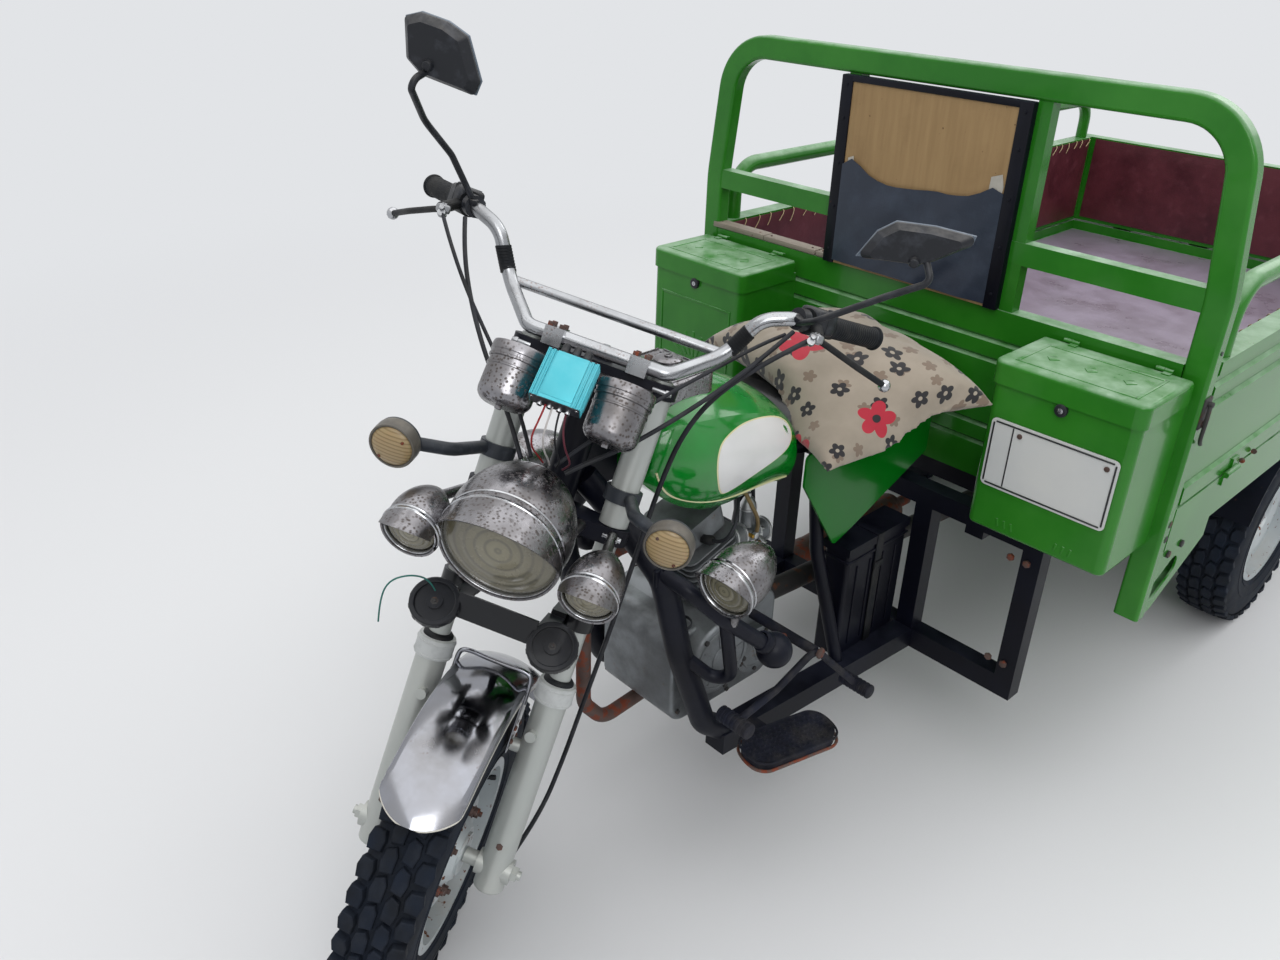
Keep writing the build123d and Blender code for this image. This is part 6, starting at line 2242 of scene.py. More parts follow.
@dataclass
class SeatPad(Dress):
    """The bench: a crowned pad of leathercloth with welded channels and a piped edge."""

    low: float = 792.0
    high: float = 866.0
    half: tuple[Point, ...] = ((88, -474), (116, -390), (150, -300), (157, -160), (160, -22))
    channels: tuple[float, ...] = (-400, -330, -260, -190, -120)

    def build(self) -> None:
        """Makes the pad in place of its plain solid."""
        outline = [*self.half, *[(-x, y) for x, y in reversed(self.half)]]
        part = bmesh.new()
        bmesh.ops.create_grid(part, x_segments=26, y_segments=48, size=1.0)
        tiers = bmesh.ops.extrude_face_region(part, geom=list(part.faces))
        upper = {v for v in tiers["geom"] if isinstance(v, bmesh.types.BMVert)}
        for vert in part.verts:
            across, along = vert.co.x, vert.co.y
            y = -248 + along * 226
            width = self.width_at(y)
            edge = max(abs(across), abs(along) ** 1.6)
            fall = 1 - min(1.0, max(0.0, (edge - 0.8) / 0.2)) ** 2 * 0.28
            groove = sum(max(0.0, 1 - abs(y - c) / 9) for c in self.channels) if abs(across) < 0.84 else 0.0
            vert.co.x = across * (width - (6 if vert in upper else 2))
            vert.co.y = y
            if vert in upper:
                crown = (1 - across * across) * 8 + (1 - along * along) * 2
                vert.co.z = self.low + (self.high - 9 - self.low) * fall + crown - groove * 5
            else:
                vert.co.z = self.low + 1
        shape = Shape().sheet(part)
        shape.pipe([(x + 0.5, y, self.low + 8) for x, y in outline], 4.0, sides=12)
        pad = self.on_bed("seat_pad", shape, "seat_vinyl", sharp=60)
        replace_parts(pad, "seat")

    def width_at(self, y: float) -> float:
        """Half the pad's width at some place along it."""
        for (x0, y0), (x1, y1) in zip(self.half, self.half[1:]):
            if y <= y1:
                return x0 + (x1 - x0) * max(0.0, y - y0) / (y1 - y0)
        return self.half[-1][0]


@dataclass
class Cushion(Dress):
    """The printed cotton cushion that lies askew on the seat, blown up by a cloth simulation."""

    middle: Point = (52, -290)
    turn: float = -18.0
    length: float = 470.0
    width: float = 350.0
    rest: float = 868.0
    thick: float = 76.0
    cloth_cell: float = 0.0055
    cloth_pressure: float = 3.0
    cloth_frames: int = 16
    cloth_drift: float = 0.014

    def build(self) -> None:
        """Makes the cushion in place of its plain solid."""
        local = moved(self.middle[0], self.middle[1], 0) @ turned_about("Z", self.turn)
        part = bmesh.new()
        bmesh.ops.create_grid(part, x_segments=44, y_segments=34, size=1.0)
        grown = bmesh.ops.extrude_face_region(part, geom=list(part.faces))
        upper = {v for v in grown["geom"] if isinstance(v, bmesh.types.BMVert)}
        random = Random(11)
        waves = ripples(random, 5, (2, 5), (2, 5))
        for vert in part.verts:
            u, v = vert.co.x, vert.co.y
            pinch = 1 - 0.085 * (1 - abs(u) ** 2) * abs(v) ** 3
            other = 1 - 0.085 * (1 - abs(v) ** 2) * abs(u) ** 3
            swell = max(0.0, (1 - u**4) * (1 - v**4)) ** 0.55
            fold = sum(sin(a * u * 3 + b * v * 3 + c) for a, b, c in waves) * 1.2 * swell
            x = u * self.length / 2 * other
            y = v * self.width / 2 * pinch
            z = self.rest + 8
            if vert in upper:
                z += (self.thick - 10) * swell + 5 + fold
            place = local @ Vector((x, y, 0))
            vert.co = Vector((place.x, place.y, z))
        self.hang(part)
        shape = Shape().sheet(part)
        pillow = self.on_bed("printed_cushion", shape, "cushion_cloth", sharp=70)
        self.inflate(pillow)
        self.chart(pillow, (self.bed @ local).inverted())
        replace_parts(pillow, "seat_cushion")

    def chart(self, pillow: bpy.types.Object, back: Matrix) -> None:
        """Lays the print's map over the cushion in millimetres, unrolled down its sides.

        Args:
            pillow: The cushion.
            back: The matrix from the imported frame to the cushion's own middle.
        """
        layer = pillow.data.uv_layers.new(name="print")
        spots = [back @ vert.co for vert in pillow.data.vertices]
        for loop in pillow.data.loops:
            spot = spots[loop.vertex_index]
            flat = Vector((spot.x, spot.y))
            drop = max(0.0, self.rest + self.thick - spot.z)
            layer.data[loop.index].uv = flat + flat.normalized() * drop * min(1.0, flat.length / 200)

    def hang(self, part: bmesh.types.BMesh) -> None:
        """Lets the front left corner hang over the tank's side.

        Args:
            part: The cushion's mesh.
        """
        for vert in part.verts:
            reach = (vert.co.x - 60) * 0.55 + (-400 - vert.co.y) * 0.9
            if reach > 0:
                fall = min(1.0, reach / 110)
                vert.co.z -= 66 * fall * fall * (3 - 2 * fall)

    def inflate(self, pillow: bpy.types.Object) -> None:
        """Blows the cushion up with cloth, and keeps the result near where it began.

        Args:
            pillow: The cushion.
        """
        remesh = pillow.modifiers.new("even_cloth", "REMESH")
        remesh.mode = "VOXEL"
        remesh.voxel_size = self.cloth_cell
        self.apply(pillow)
        start = [v.co.copy() for v in pillow.data.vertices]
        cloth = pillow.modifiers.new("cloth", "CLOTH")
        cloth.settings.use_pressure = True
        cloth.settings.uniform_pressure_force = self.cloth_pressure
        cloth.settings.effector_weights.gravity = 0.0
        cloth.settings.quality = 5
        for frame in range(1, self.cloth_frames + 1):
            bpy.context.scene.frame_set(frame)
        self.apply(pillow)
        bpy.context.scene.frame_set(1)
        for vert, home in zip(pillow.data.vertices, start):
            step = vert.co - home
            if step.length > self.cloth_drift:
                vert.co = home + step * (self.cloth_drift / step.length)
        smooth = pillow.modifiers.new("smooth", "SMOOTH")
        smooth.iterations = 3
        self.apply(pillow)
        pillow.data.shade_smooth()

    def apply(self, obj: bpy.types.Object) -> None:
        """Turns an object's modifiers into its mesh."""
        graph = bpy.context.evaluated_depsgraph_get()
        made = bpy.data.meshes.new_from_object(obj.evaluated_get(graph))
        obj.modifiers.clear()
        obj.data = made


# Engine and running gear


@dataclass
class EngineDress(Dress):
    """Cover bolts, plug and lead, carburettor rings, hoses, brackets and clamps round the engine."""

    cover: Point = (-655, 430)
    cover_radius: float = 78.0
    cover_half: float = 126.0
    small: Point = (-545, 390)
    small_radius: float = 50.0
    small_half: float = 116.0
    cylinder_foot: Point = (0, -584, 490)
    lean: float = 18.0
    battery: tuple[Point, Point] = ((96, -330, 286), (156, -132, 548))

    def build(self) -> None:
        """Makes all of it on the frame."""
        self.covers()
        self.cylinder()
        self.carburettor()
        self.hoses()
        self.exhaust()
        self.battery_case()

    def covers(self) -> None:
        """Raised rings, ribs and bolts on both side covers."""
        rings, bolts = Shape(), Shape()
        big = moved(self.cover_half, *self.cover) @ TO_LEFT
        rings.turned([(60, -1), (61, 2.4), (66, 2.4), (67, -1)], big, steps=48)
        rings.turned([(0.0, 3.4), (20, 3.2), (24, 1.6), (25, -1), (0, -1)], big, steps=40)
        for k in range(8):
            rib = big @ turned_about("Z", 45 * k + 10) @ moved(42, 0, 0.6)
            rings.block((30, 4, 2.4), rib, bevel=1.0)
        little = moved(self.small_half, *self.small) @ TO_LEFT
        rings.turned([(33, -1), (34, 2.2), (38, 2.2), (39, -1)], little, steps=40)
        rings.block((56, 12, 2.6), little @ turned_about("Z", 20), bevel=1.2)
        for k in range(7):
            turn = big @ turned_about("Z", 360 / 7 * k + 12)
            bolts.disc(5.2, 5, turn @ moved(self.cover_radius - 7, 0, 1.6), sides=6, bevel=0.7)
        for k in range(5):
            turn = little @ turned_about("Z", 72 * k)
            bolts.disc(4.6, 4.6, turn @ moved(self.small_radius - 6, 0, 1.6), sides=6, bevel=0.7)
        for y, z in ((-735, 330), (-735, 440), (-490, 320), (-490, 420), (-600, 312)):
            bolts.disc(5, 5, moved(98, y, z) @ TO_LEFT, sides=6, bevel=0.7)
        self.on_bed("cover_rings", rings.both(), "engine_grey")
        self.on_bed("cover_bolts", bolts.both(), "exhaust_steel", SPRING_STEEL)

    def cylinder(self) -> None:
        """Head nuts, valve caps and the spark plug with its cap."""
        stack = moved(*self.cylinder_foot) @ turned_about("X", self.lean)
        nuts = Shape()
        for x in (-40, 40):
            for y in (-44, 44):
                nuts.disc(7, 9, stack @ moved(x, y, 191), sides=6, bevel=0.9)
                nuts.disc(3.6, 6, stack @ moved(x, y, 198), sides=14, bevel=0.6)
        for y in (-30, 30):
            nuts.disc(16, 8, stack @ moved(0, y, 190), sides=6, bevel=1.2)
        nuts.both()
        self.on_bed("head_nuts", nuts, "bright_chrome", SLEEVE_CHROME)
        plug = Shape()
        seat = stack @ moved(54, -8, 172) @ turned_about("Y", 68)
        plug.disc(9, 8, seat @ moved(0, 0, 3), sides=6, bevel=0.8)
        plug.turned([(6, 4), (6.4, 8), (9, 10), (9.6, 20), (8, 25), (5, 28), (0, 28)], seat, steps=24)
        self.on_bed("spark_plug_cap", plug, "grip_rubber")

    def carburettor(self) -> None:
        """Flanges, a float bowl drain, springs of bolts and the choke arm."""
        shape = Shape()
        along = facing((34, -505, 600), (0, 1, -0.15))
        for z in (-46, -20, 20, 47):
            shape.disc(24.5, 5, along @ moved(0, 0, z), sides=32, bevel=1.2)
        for x, y in ((20, 14), (-20, -14), (20, -14), (-20, 14)):
            shape.disc(3.4, 9, along @ moved(x * 0.86, y * 0.86, 25), sides=14, bevel=0.6)
        shape.disc(21.5, 5, moved(34, -505, 592), sides=30, bevel=1.0)
        shape.turned(
            [(0.0, -9.0), (6, -8), (7, -4), (19, -2), (21.4, 3), (21.4, 8), (0, 8)],
            moved(34, -505, 536),
            steps=32,
        )
        shape.disc(16.6, 4, moved(34, -505, 656), sides=28, bevel=1.0)
        shape.turned(
            [(0.0, 30.0), (4, 29), (4.6, 22), (10, 18), (15.6, 6), (16, 0), (0, 0)],
            moved(34, -505, 659),
            steps=28,
        )
        shape.block((26, 10, 3), moved(62, -492, 596) @ turned_about("Y", 30), bevel=1.0)
        shape.disc(7, 8, moved(58, -505, 606) @ TO_LEFT, sides=20, bevel=1.0)
        shape.disc(5.4, 7, moved(58, -520, 582) @ TO_LEFT, sides=6, bevel=0.7)
        self.on_bed("carburettor_trim", shape, "engine_grey", BRIGHT_ALLOY)
        brass = Shape()
        for y, z in ((-490, 584), (-520, 612)):
            brass.disc(3.8, 12, moved(60, y, z) @ TO_LEFT, sides=16, bevel=0.7)
        self.on_bed("carburettor_screws", brass, "engine_grey", OLD_BRASS)

    def hoses(self) -> None:
        """The fuel and breather hoses, the plug lead and the loom along the frame."""
        cords = (
            Cord(
                "fuel_hose",
                (
                    (46, -540, 722), (50, -536, 706), (62, -528, 680), (66, -512, 650), (58, -500, 616),
                    (52, -500, 596),
                ),
                8.0,
                134.0,
                HOSE_CLEAR,
            ),
            Cord(
                "breather_hose",
                (
                    (-20, -500, 452), (-22, -474, 470), (-18, -448, 520), (-8, -440, 590), (0, -452, 660),
                    (4, -470, 716),
                ),
                9.0,
                290.0,
                CABLE_SHEATH,
            ),
            Cord(
                "plug_lead",
                ((78, -648, 661), (102, -652, 668), (116, -640, 690), (102, -612, 712), (72, -580, 724)),
                7.0,
                132.0,
                CABLE_SHEATH,
            ),
        )
        for wire in cords:
            wire.lay(self.bed, Body.VEHICLE)
        loom = Shape()
        loom.pipe(
            [
                (64, -846, 752), (98, -838, 722), (124, -812, 700), (129, -800, 660), (128, -792, 600),
                (126, -786, 540),
            ],
            5.5,
            sides=10,
        )
        loom.both()
        for x, y, z in ((129, -798, 650), (128, -790, 582)):
            loom.turned([(20, -3), (21.4, -2.4), (21.4, 2.4), (20, 3)], moved(x + 12, y + 4, z), steps=24)
        self.on_bed("frame_loom", loom, "grip_rubber", CABLE_SHEATH)

    def exhaust(self) -> None:
        """The port's flange nuts, clamps on the header and silencer, and its bands."""
        shape = Shape()
        port = facing((-35, -716, 640), (0, -1, 0))
        shape.prism([(-30, -10), (0, -22), (30, -10), (30, 10), (0, 22), (-30, 10)], 6, port, bevel=1.4)
        for x in (-24, 24):
            shape.disc(5, 8, port @ moved(x, 0, 9), sides=6, bevel=0.8)
        for y in (-60, 60, 250, 420):
            band = facing((-235, y, 190), (0, 1, 0))
            shape.turned([(41.6, -7), (43.6, -6), (43.6, 6), (41.6, 7)], band, steps=40)
            shape.block((10, 20, 12), band @ moved(0, 48, 0), bevel=2)
        shape.turned(
            [(14.2, -14), (17, -13), (17, 13), (14.2, 14)],
            facing((-238, -96, 189), (-0.06, 1, 0.02)),
            steps=28,
        )
        self.on_bed("exhaust_clamps", shape, "exhaust_steel")

    def battery_case(self) -> None:
        """A rubber strap, a lid seam and ribs on the battery box."""
        (x0, y0, z0), (x1, y1, z1) = self.battery
        middle_y, width = (y0 + y1) / 2, y1 - y0
        shape = Shape()
        shape.block((x1 - x0 + 5, width + 5, 6), moved((x0 + x1) / 2, middle_y, z1 - 34), bevel=1.6)
        for k in range(4):
            shape.block(
                (4, 5, z1 - z0 - 70), moved(x1 + 0.8, y0 + 34 + k * 43, (z0 + z1) / 2 - 16), bevel=1.6
            )
        shape.block((x1 - x0 + 6, 24, 3), moved((x0 + x1) / 2, middle_y, z1 + 1), bevel=1.2)
        self.on_bed("battery_ribs", shape, "black_plastic", NAVY_BLACK)
        strap = Shape()
        strap.block((3, 22, z1 - z0 + 4), moved(x1 + 3.2, middle_y, (z0 + z1) / 2), bevel=1.0)
        strap.block((6, 28, 16), moved(x1 + 5, middle_y, z1 - 70), bevel=2.0)
        self.on_bed("battery_strap", strap, "grip_rubber")


@dataclass
class Footwork(Dress):
    """Dimpled rubber on the foot pads, their rusty rims, ribbed pedal rubbers and pivot bolts."""

    pad: Point = (266, -612, 292)
    pad_along: Point = (0.25, 1, 0)
    pad_length: float = 190.0
    pad_width: float = 86.0
    pad_thick: float = 20.0

    def build(self) -> None:
        """Makes all of it on both sides."""
        place = facing(self.pad, (0, 0, 1), self.pad_along)
        half, radius = self.pad_length / 2, self.pad_width / 2
        rim, rubber = Shape(), Shape()
        for level, finish_rim in ((2.0, True), (18.5, False)):
            target = rim if finish_rim else rubber
            grow = 1.4 if finish_rim else 0.4
            target.pipe(
                self.loop(half - radius, radius + grow, level), 3.0 if finish_rim else 2.2, place, sides=8
            )
        for row in range(-3, 4):
            reach = half - radius + sqrt(max(0.0, (radius - 8) ** 2 - (row * 10.5) ** 2))
            count = int(2 * reach / 10.5)
            for k in range(count + 1):
                x = -reach + 2 * reach * k / max(1, count)
                rubber.disc(3.4, 2.6, place @ moved(x, row * 10.5, self.pad_thick + 1.1), sides=8, top=2.0)
        self.on_bed("foot_pad_rims", rim.both(), "exhaust_steel")
        self.on_bed("foot_pad_studs", rubber.both(), "pad_rubber")
        pegs = Shape()
        for y, z in ((-752, 417), (-389, 306)):
            across = moved(252, y, z) @ TO_LEFT
            rows = [(0.0, -35.0), (12, -35), (14.6, -33)]
            for k in range(7):
                x = -29 + 9.2 * k
                rows += [(14.8, x - 2.6), (12.9, x - 1.4), (12.9, x + 1.4), (14.8, x + 2.6)]
            rows += [(14.6, 33), (12, 35), (0, 35)]
            pegs.turned(rows, across, steps=28)
        self.on_bed("pedal_rubbers", pegs, "pad_rubber")
        bolts = Shape()
        bolts.disc(11, 6, moved(262, -540, 464) @ TO_LEFT, sides=6, bevel=1.0)
        for x in (186, 222):
            bolts.disc(7, 5, moved(x, -620, 280), sides=6, bevel=0.8)
        for y in (-660, -640):
            bolts.disc(6, 5, moved(250, y, 545), sides=6, bevel=0.8)
        self.on_bed("pedal_bolts", bolts, "exhaust_steel")
        self.guard()

    def loop(self, straight: float, radius: float, level: float) -> list[Point]:
        """The control points of a closed oval seam.

        Args:
            straight: Half the length of its straight sides.
            radius: The radius of its ends.
            level: Its height.

        Returns:
            The points.
        """
        return [
            (0, -radius, level),
            (straight, -radius, level),
            (straight + radius * 0.55, -radius, level),
            (straight + radius, -radius * 0.55, level),
            (straight + radius, radius * 0.55, level),
            (straight + radius * 0.55, radius, level),
            (straight, radius, level),
            (-straight, radius, level),
            (-straight - radius * 0.55, radius, level),
            (-straight - radius, radius * 0.55, level),
            (-straight - radius, -radius * 0.55, level),
            (-straight - radius * 0.55, -radius, level),
            (-straight, -radius, level),
            (0, -radius, level),
        ]

    def guard(self) -> None:
        """Clamp plates, bolts and weld beads on the guard arms."""
        shape = Shape()
        shape.block((8, 44, 30), moved(140, -832, 700) @ turned_about("Z", 10), bevel=2)
        for z in (690, 712):
            shape.disc(6, 7, moved(146, -834, z) @ TO_LEFT, sides=6, bevel=0.8)
        neck = facing((247, -690, 556), (0.14, 0.7, -0.64))
        shape.turned([(14.2, -8), (18, -6), (20, 0), (20, 8), (17, 12)], neck, steps=32)
        shape.disc(8, 7, moved(262, -784, 726), sides=6, bevel=0.9)
        self.on_bed("guard_clamps", shape.both(), "frame_black")


@dataclass
class ChassisDress(Dress):
    """Spring clips, U-bolts with their nuts, lamp glasses and small bolts below the bed."""

    axle_y: float = 990.0
    axle_z: float = 284.0

    def build(self) -> None:
        """Makes all of it."""
        spring_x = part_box("leaf_springs")[1].x / MM - 30
        shape = Shape()
        for y in (self.axle_y - 34, self.axle_y + 34):
            for x in (spring_x - 30, spring_x + 30):
                shape.disc(6, 26, moved(x, y, self.axle_z + 102), sides=16, bevel=0.8)
                shape.disc(9.5, 9, moved(x, y, self.axle_z + 98), sides=6, bevel=1.0)
        for reach in (150, 260):
            for side in (-1, 1):
                y = self.axle_y + side * reach
                shape.block((66, 16, 3), moved(spring_x, y, self.axle_z + 44 + reach * 0.12), bevel=1.0)
        shape.both()
        self.on_bed("spring_bolts", shape, "spring_steel", RUSTY_STEEL)
        self.lamps()
        self.beams()

    def lamps(self) -> None:
        """Ribbed glasses on the tail lamps, amber outside and red inside."""
        for name, start, end, finish in (("red", 362, 442, LAMP_RED), ("amber", 446, 498, AMBER_PLAIN)):
            shape = Shape()
            width = end - start
            shape.block((width, 7, 40), moved((start + end) / 2, 1906, 583), bevel=3, segments=3)
            for k in range(int(width // 8) - 1):
                shape.block((2.2, 2.6, 34), moved(start + 9 + 8 * k, 1909.6, 583), bevel=0.8)
            self.on_bed(f"tail_glass_{name}", shape.both(), "lamp_red", finish)
        shape = Shape()
        for x in (372, 488):
            shape.disc(3.2, 3, moved(x, 1910, 583) @ TO_FRONT, sides=14, bevel=0.6)
        self.on_bed("tail_lamp_screws", shape.both(), "exhaust_steel")

    def beams(self) -> None:
        """Bolts of the black beams under the front panel."""
        shape = Shape()
        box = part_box("chassis")
        half = box[1].x / MM
        front = (box[0].y - self.layout.bed_face) / MM
        for x in (half - 26, half - 60):
            shape.disc(8, 6, moved(x, front - 2.4, 560) @ TO_FRONT, sides=6, bevel=0.9)
            shape.disc(8, 6, moved(x, front - 2.4, 320) @ TO_FRONT, sides=6, bevel=0.9)
        self.on_bed("beam_bolts", shape.both(), "exhaust_steel")


# Load bed


@dataclass
class Liner:
    """One panel of leathercloth stretched over a wall of the bed, with pale lacing along its top."""

    name: str
    body: Body
    length: float
    height: float
    place: Matrix
    rests_on: str
    bulge: float = 5.0
    thick: float = 1.6
    laced: bool = True
    seed: int = 1

    def build(self, bed: Matrix) -> None:
        """Makes the panel and its lacing. Its X runs along the wall, its Y up and its Z into the bed.

        Args:
            bed: The bed's matrix.
        """
        random = Random(self.seed)
        waves = ripples(random, 6, (1, 4), (0.6, 2))
        part = bmesh.new()
        bmesh.ops.create_grid(part, x_segments=70, y_segments=16, size=1.0)
        for vert in part.verts:
            u, v = vert.co.x, vert.co.y
            slack = max(0.0, (1 - u**8) * (1 - v**4))
            lift = sum(sin(a * u * 5 + b * v * 2 + c) for a, b, c in waves) / 6
            rise = 3.0 + self.bulge * slack * (0.6 + 0.4 * lift)
            vert.co = Vector((u * self.length / 2, v * self.height / 2, rise))
        shape = Shape().sheet(part, self.thick, self.place)
        cloth = piece(self.name, shape, bed, self.body, "seat_vinyl", LINER_VINYL, sharp=60)
        if self.laced:
            self.lacing(bed, random)

    def lacing(self, bed: Matrix, random: Random) -> None:
        """Slanting stitches of pale twine over the panel's top edge.

        Args:
            bed: The bed's matrix.
            random: The source of its unevenness.
        """
        twine = Shape()
        top = self.height / 2
        count = int(self.length // 46)
        for k in range(count):
            x = -self.length / 2 + 24 + 46 * k + random.uniform(-5, 5)
            lean = random.uniform(12, 24)
            reach = top - random.uniform(20, 30)
            route = [
                (x, reach, 8),
                (x + lean * 0.5, (reach + top) / 2, 9.5),
                (x + lean, top + 1, 7),
                (x + lean + 2, top + 2, 1),
            ]
            twine.pipe(route, 1.1, self.place, sides=6)
        piece(f"{self.name}_twine", twine, bed, self.body, "seat_vinyl", TWINE)


@dataclass
class BedDress(Dress):
    """Liners, mat, wood strip, tarpaulin, latches, hinge pins and bolts of the load bed."""

    half: float = 600.0
    middle_y: float = 956.0
    wall: float = 44.0
    floor: float = 670.0
    wall_low: float = 714.0
    wall_top: float = 988.0
    mat_half: Point = (548, 908)
    mat_thick: float = 1.6
    tarpaulin_thick: float = 0.8

    def build(self) -> None:
        """Makes all of it."""
        self.liners()
        self.mat()
        self.window()
        self.sill()
        self.hinges()
        self.latches()

    def liners(self) -> None:
        """The maroon panels on both sides, on the tailgate and inside the front panel."""
        height = self.wall_top - self.wall_low - 8
        middle = (self.wall_top + self.wall_low) / 2
        inner = self.half - self.wall
        left = facing((inner, self.middle_y, middle), (-1, 0, 0), (0, -1, 0))
        right = facing((-inner, self.middle_y, middle), (1, 0, 0), (0, 1, 0))
        tail = facing((0, 1876, middle), (0, -1, 0))
        front = facing((0, 36, 830), (0, 1, 0), (-1, 0, 0))
        for panel in (
            Liner("liner_left", Body.LEFT_SIDE, 1800, height, left, "side_left", seed=3),
            Liner("liner_right", Body.RIGHT_SIDE, 1800, height, right, "side_right", seed=4),
            Liner("liner_tailgate", Body.TAILGATE, 1080, height, tail, "tailgate", laced=False, seed=5),
            Liner("liner_front", Body.VEHICLE, 1080, 250, front, "front_panel", laced=False, seed=6),
        ):
            panel.build(self.bed)

    def mat(self) -> None:
        """The worn mat on the floor, a little wavy."""
        random = Random(8)
        waves = ripples(random, 7, (2, 6), (2, 9))
        part = bmesh.new()
        bmesh.ops.create_grid(part, x_segments=50, y_segments=80, size=1.0)
        for vert in part.verts:
            u, v = vert.co.x, vert.co.y
            lift = sum(sin(a * u * 2 + b * v * 2 + c) for a, b, c in waves) / 7
            rise = 2.2 + 1.6 * lift * max(0.0, 1 - max(abs(u), abs(v)) ** 8)
            vert.co = Vector((u * self.mat_half[0], self.middle_y + v * self.mat_half[1], self.floor + rise))
        shape = Shape().sheet(part, self.mat_thick)
        mat = self.on_bed("floor_mat", shape, "seat_vinyl", MAT_VINYL, sharp=60)

    def window(self) -> None:
        """The tarpaulin over the plywood's lower part, the strips beside it and two patches of tape."""
        random = Random(21)
        strips = Shape()
        for x in (-214, 180):
            strips.block((27, 18.5, 382), moved(x, -3.0, 1171.5), bevel=1.4)
        strips.block((419, 18.2, 12), moved(-17, -3.0, 1357), bevel=1.4)
        for x in (-214, 180):
            for z in (1010, 1100, 1190, 1280, 1345):
                strips.disc(3.4, 2.4, moved(x, -12.6, z) @ TO_FRONT, sides=14, bevel=0.6)
        self.on_bed("window_strips", strips, "black_plastic", NAVY_BLACK)
        edge = [
            1198, 1206, 1192, 1182, 1178, 1176, 1177, 1175, 1172, 1170, 1168, 1168, 1172, 1180, 1194, 1204,
            1190,
        ]
        part = bmesh.new()
        bmesh.ops.create_grid(part, x_segments=48, y_segments=34, size=1.0)
        waves = ripples(random, 6, (1, 4), (1, 4))
        for vert in part.verts:
            u, v = (vert.co.x + 1) / 2, (vert.co.y + 1) / 2
            spot = u * (len(edge) - 1)
            low = int(min(spot, len(edge) - 2))
            top = edge[low] + (edge[low + 1] - edge[low]) * (spot - low)
            x = 167 - 370 * u
            z = 988 + (top - 988) * v
            lift = sum(sin(a * u * 6 + b * v * 5 + c) for a, b, c in waves) / 6
            creases = abs(sin((u * 3.1 + v * 1.7) * 3.4)) ** 6 * 3.0
            crown = (1 - (2 * u - 1) ** 4) * 6 * (0.5 + 0.5 * lift)
            bulge = crown + creases * (1 - v) * (1 - (2 * u - 1) ** 6)
            vert.co = Vector((x, -11.5 - bulge, z))
        shape = Shape().sheet(part, self.tarpaulin_thick)
        tarp = self.on_bed("window_tarpaulin", shape, "black_plastic", TARPAULIN, sharp=60)
        tape = Shape()
        tape.prism(
            [(0, 0), (26, 2), (30, 40), (24, 62), (2, 54)],
            1.0,
            facing((134, -10, 1170), (0, -1, 0)),
            bevel=0.4,
        )
        tape.prism(
            [(0, 0), (14, 3), (10, 34), (-4, 28)], 1.0, facing((-188, -10, 1176), (0, -1, 0)), bevel=0.4
        )
        self.on_bed("window_tape", tape, "plate_steel", TAPE_GREY)

    def sill(self) -> None:
        """The weathered wood strip on the sill beside the window, with its nails."""
        plank = Shape()
        plank.block((148, 32, 11), moved(-334, 15, 986.5), bevel=1.6)
        plank.block((156, 33, 12), moved(-488, 15, 987) @ turned_about("Z", 0.8), bevel=1.8)
        plank.block((104, 31, 10), moved(-205, 15, 986) @ turned_about("Z", -0.6), bevel=1.6)
        self.on_bed("sill_strip", plank, "plywood", STRIP_WOOD)
        nails = Shape()
        for x in (-550, -430, -395, -275, -245, -165):
            nails.disc(2.6, 1.6, moved(x, 12, 992.8), sides=12, bevel=0.4)
        self.on_bed("sill_nails", nails, "exhaust_steel")

    def hinges(self) -> None:
        """Heads of hinge pins along both sides and the tailgate, and bolts on the frame."""
        pins = Shape()
        head = [(0.0, 3.5), (4, 3), (5.6, 1), (5.6, -1), (0, -1)]
        for k in range(3):
            y = 42 + 1828 * (k + 0.5) / 3
            for end in (-1, 1):
                pins.turned(head, facing((606, y + end * 31, 711), (0, end, 0)), steps=18)
        pins.both()
        for x in (-400, -134, 134, 400):
            for end in (-1, 1):
                pins.turned(head, facing((x + end * 31, 1926, 711), (end, 0, 0), (0, 1, 0)), steps=18)
        self.on_bed("hinge_pins", pins, "exhaust_steel")
        bolts = Shape()
        for y, z in ((24, 640), (24, 672), (70, 588), (130, 588)):
            bolts.disc(7.5, 5, moved(598.5, y, z) @ TO_LEFT, sides=6, bevel=0.8)
        bolts.both()
        self.on_bed("frame_bolts", bolts, "exhaust_steel", SPRING_STEEL)

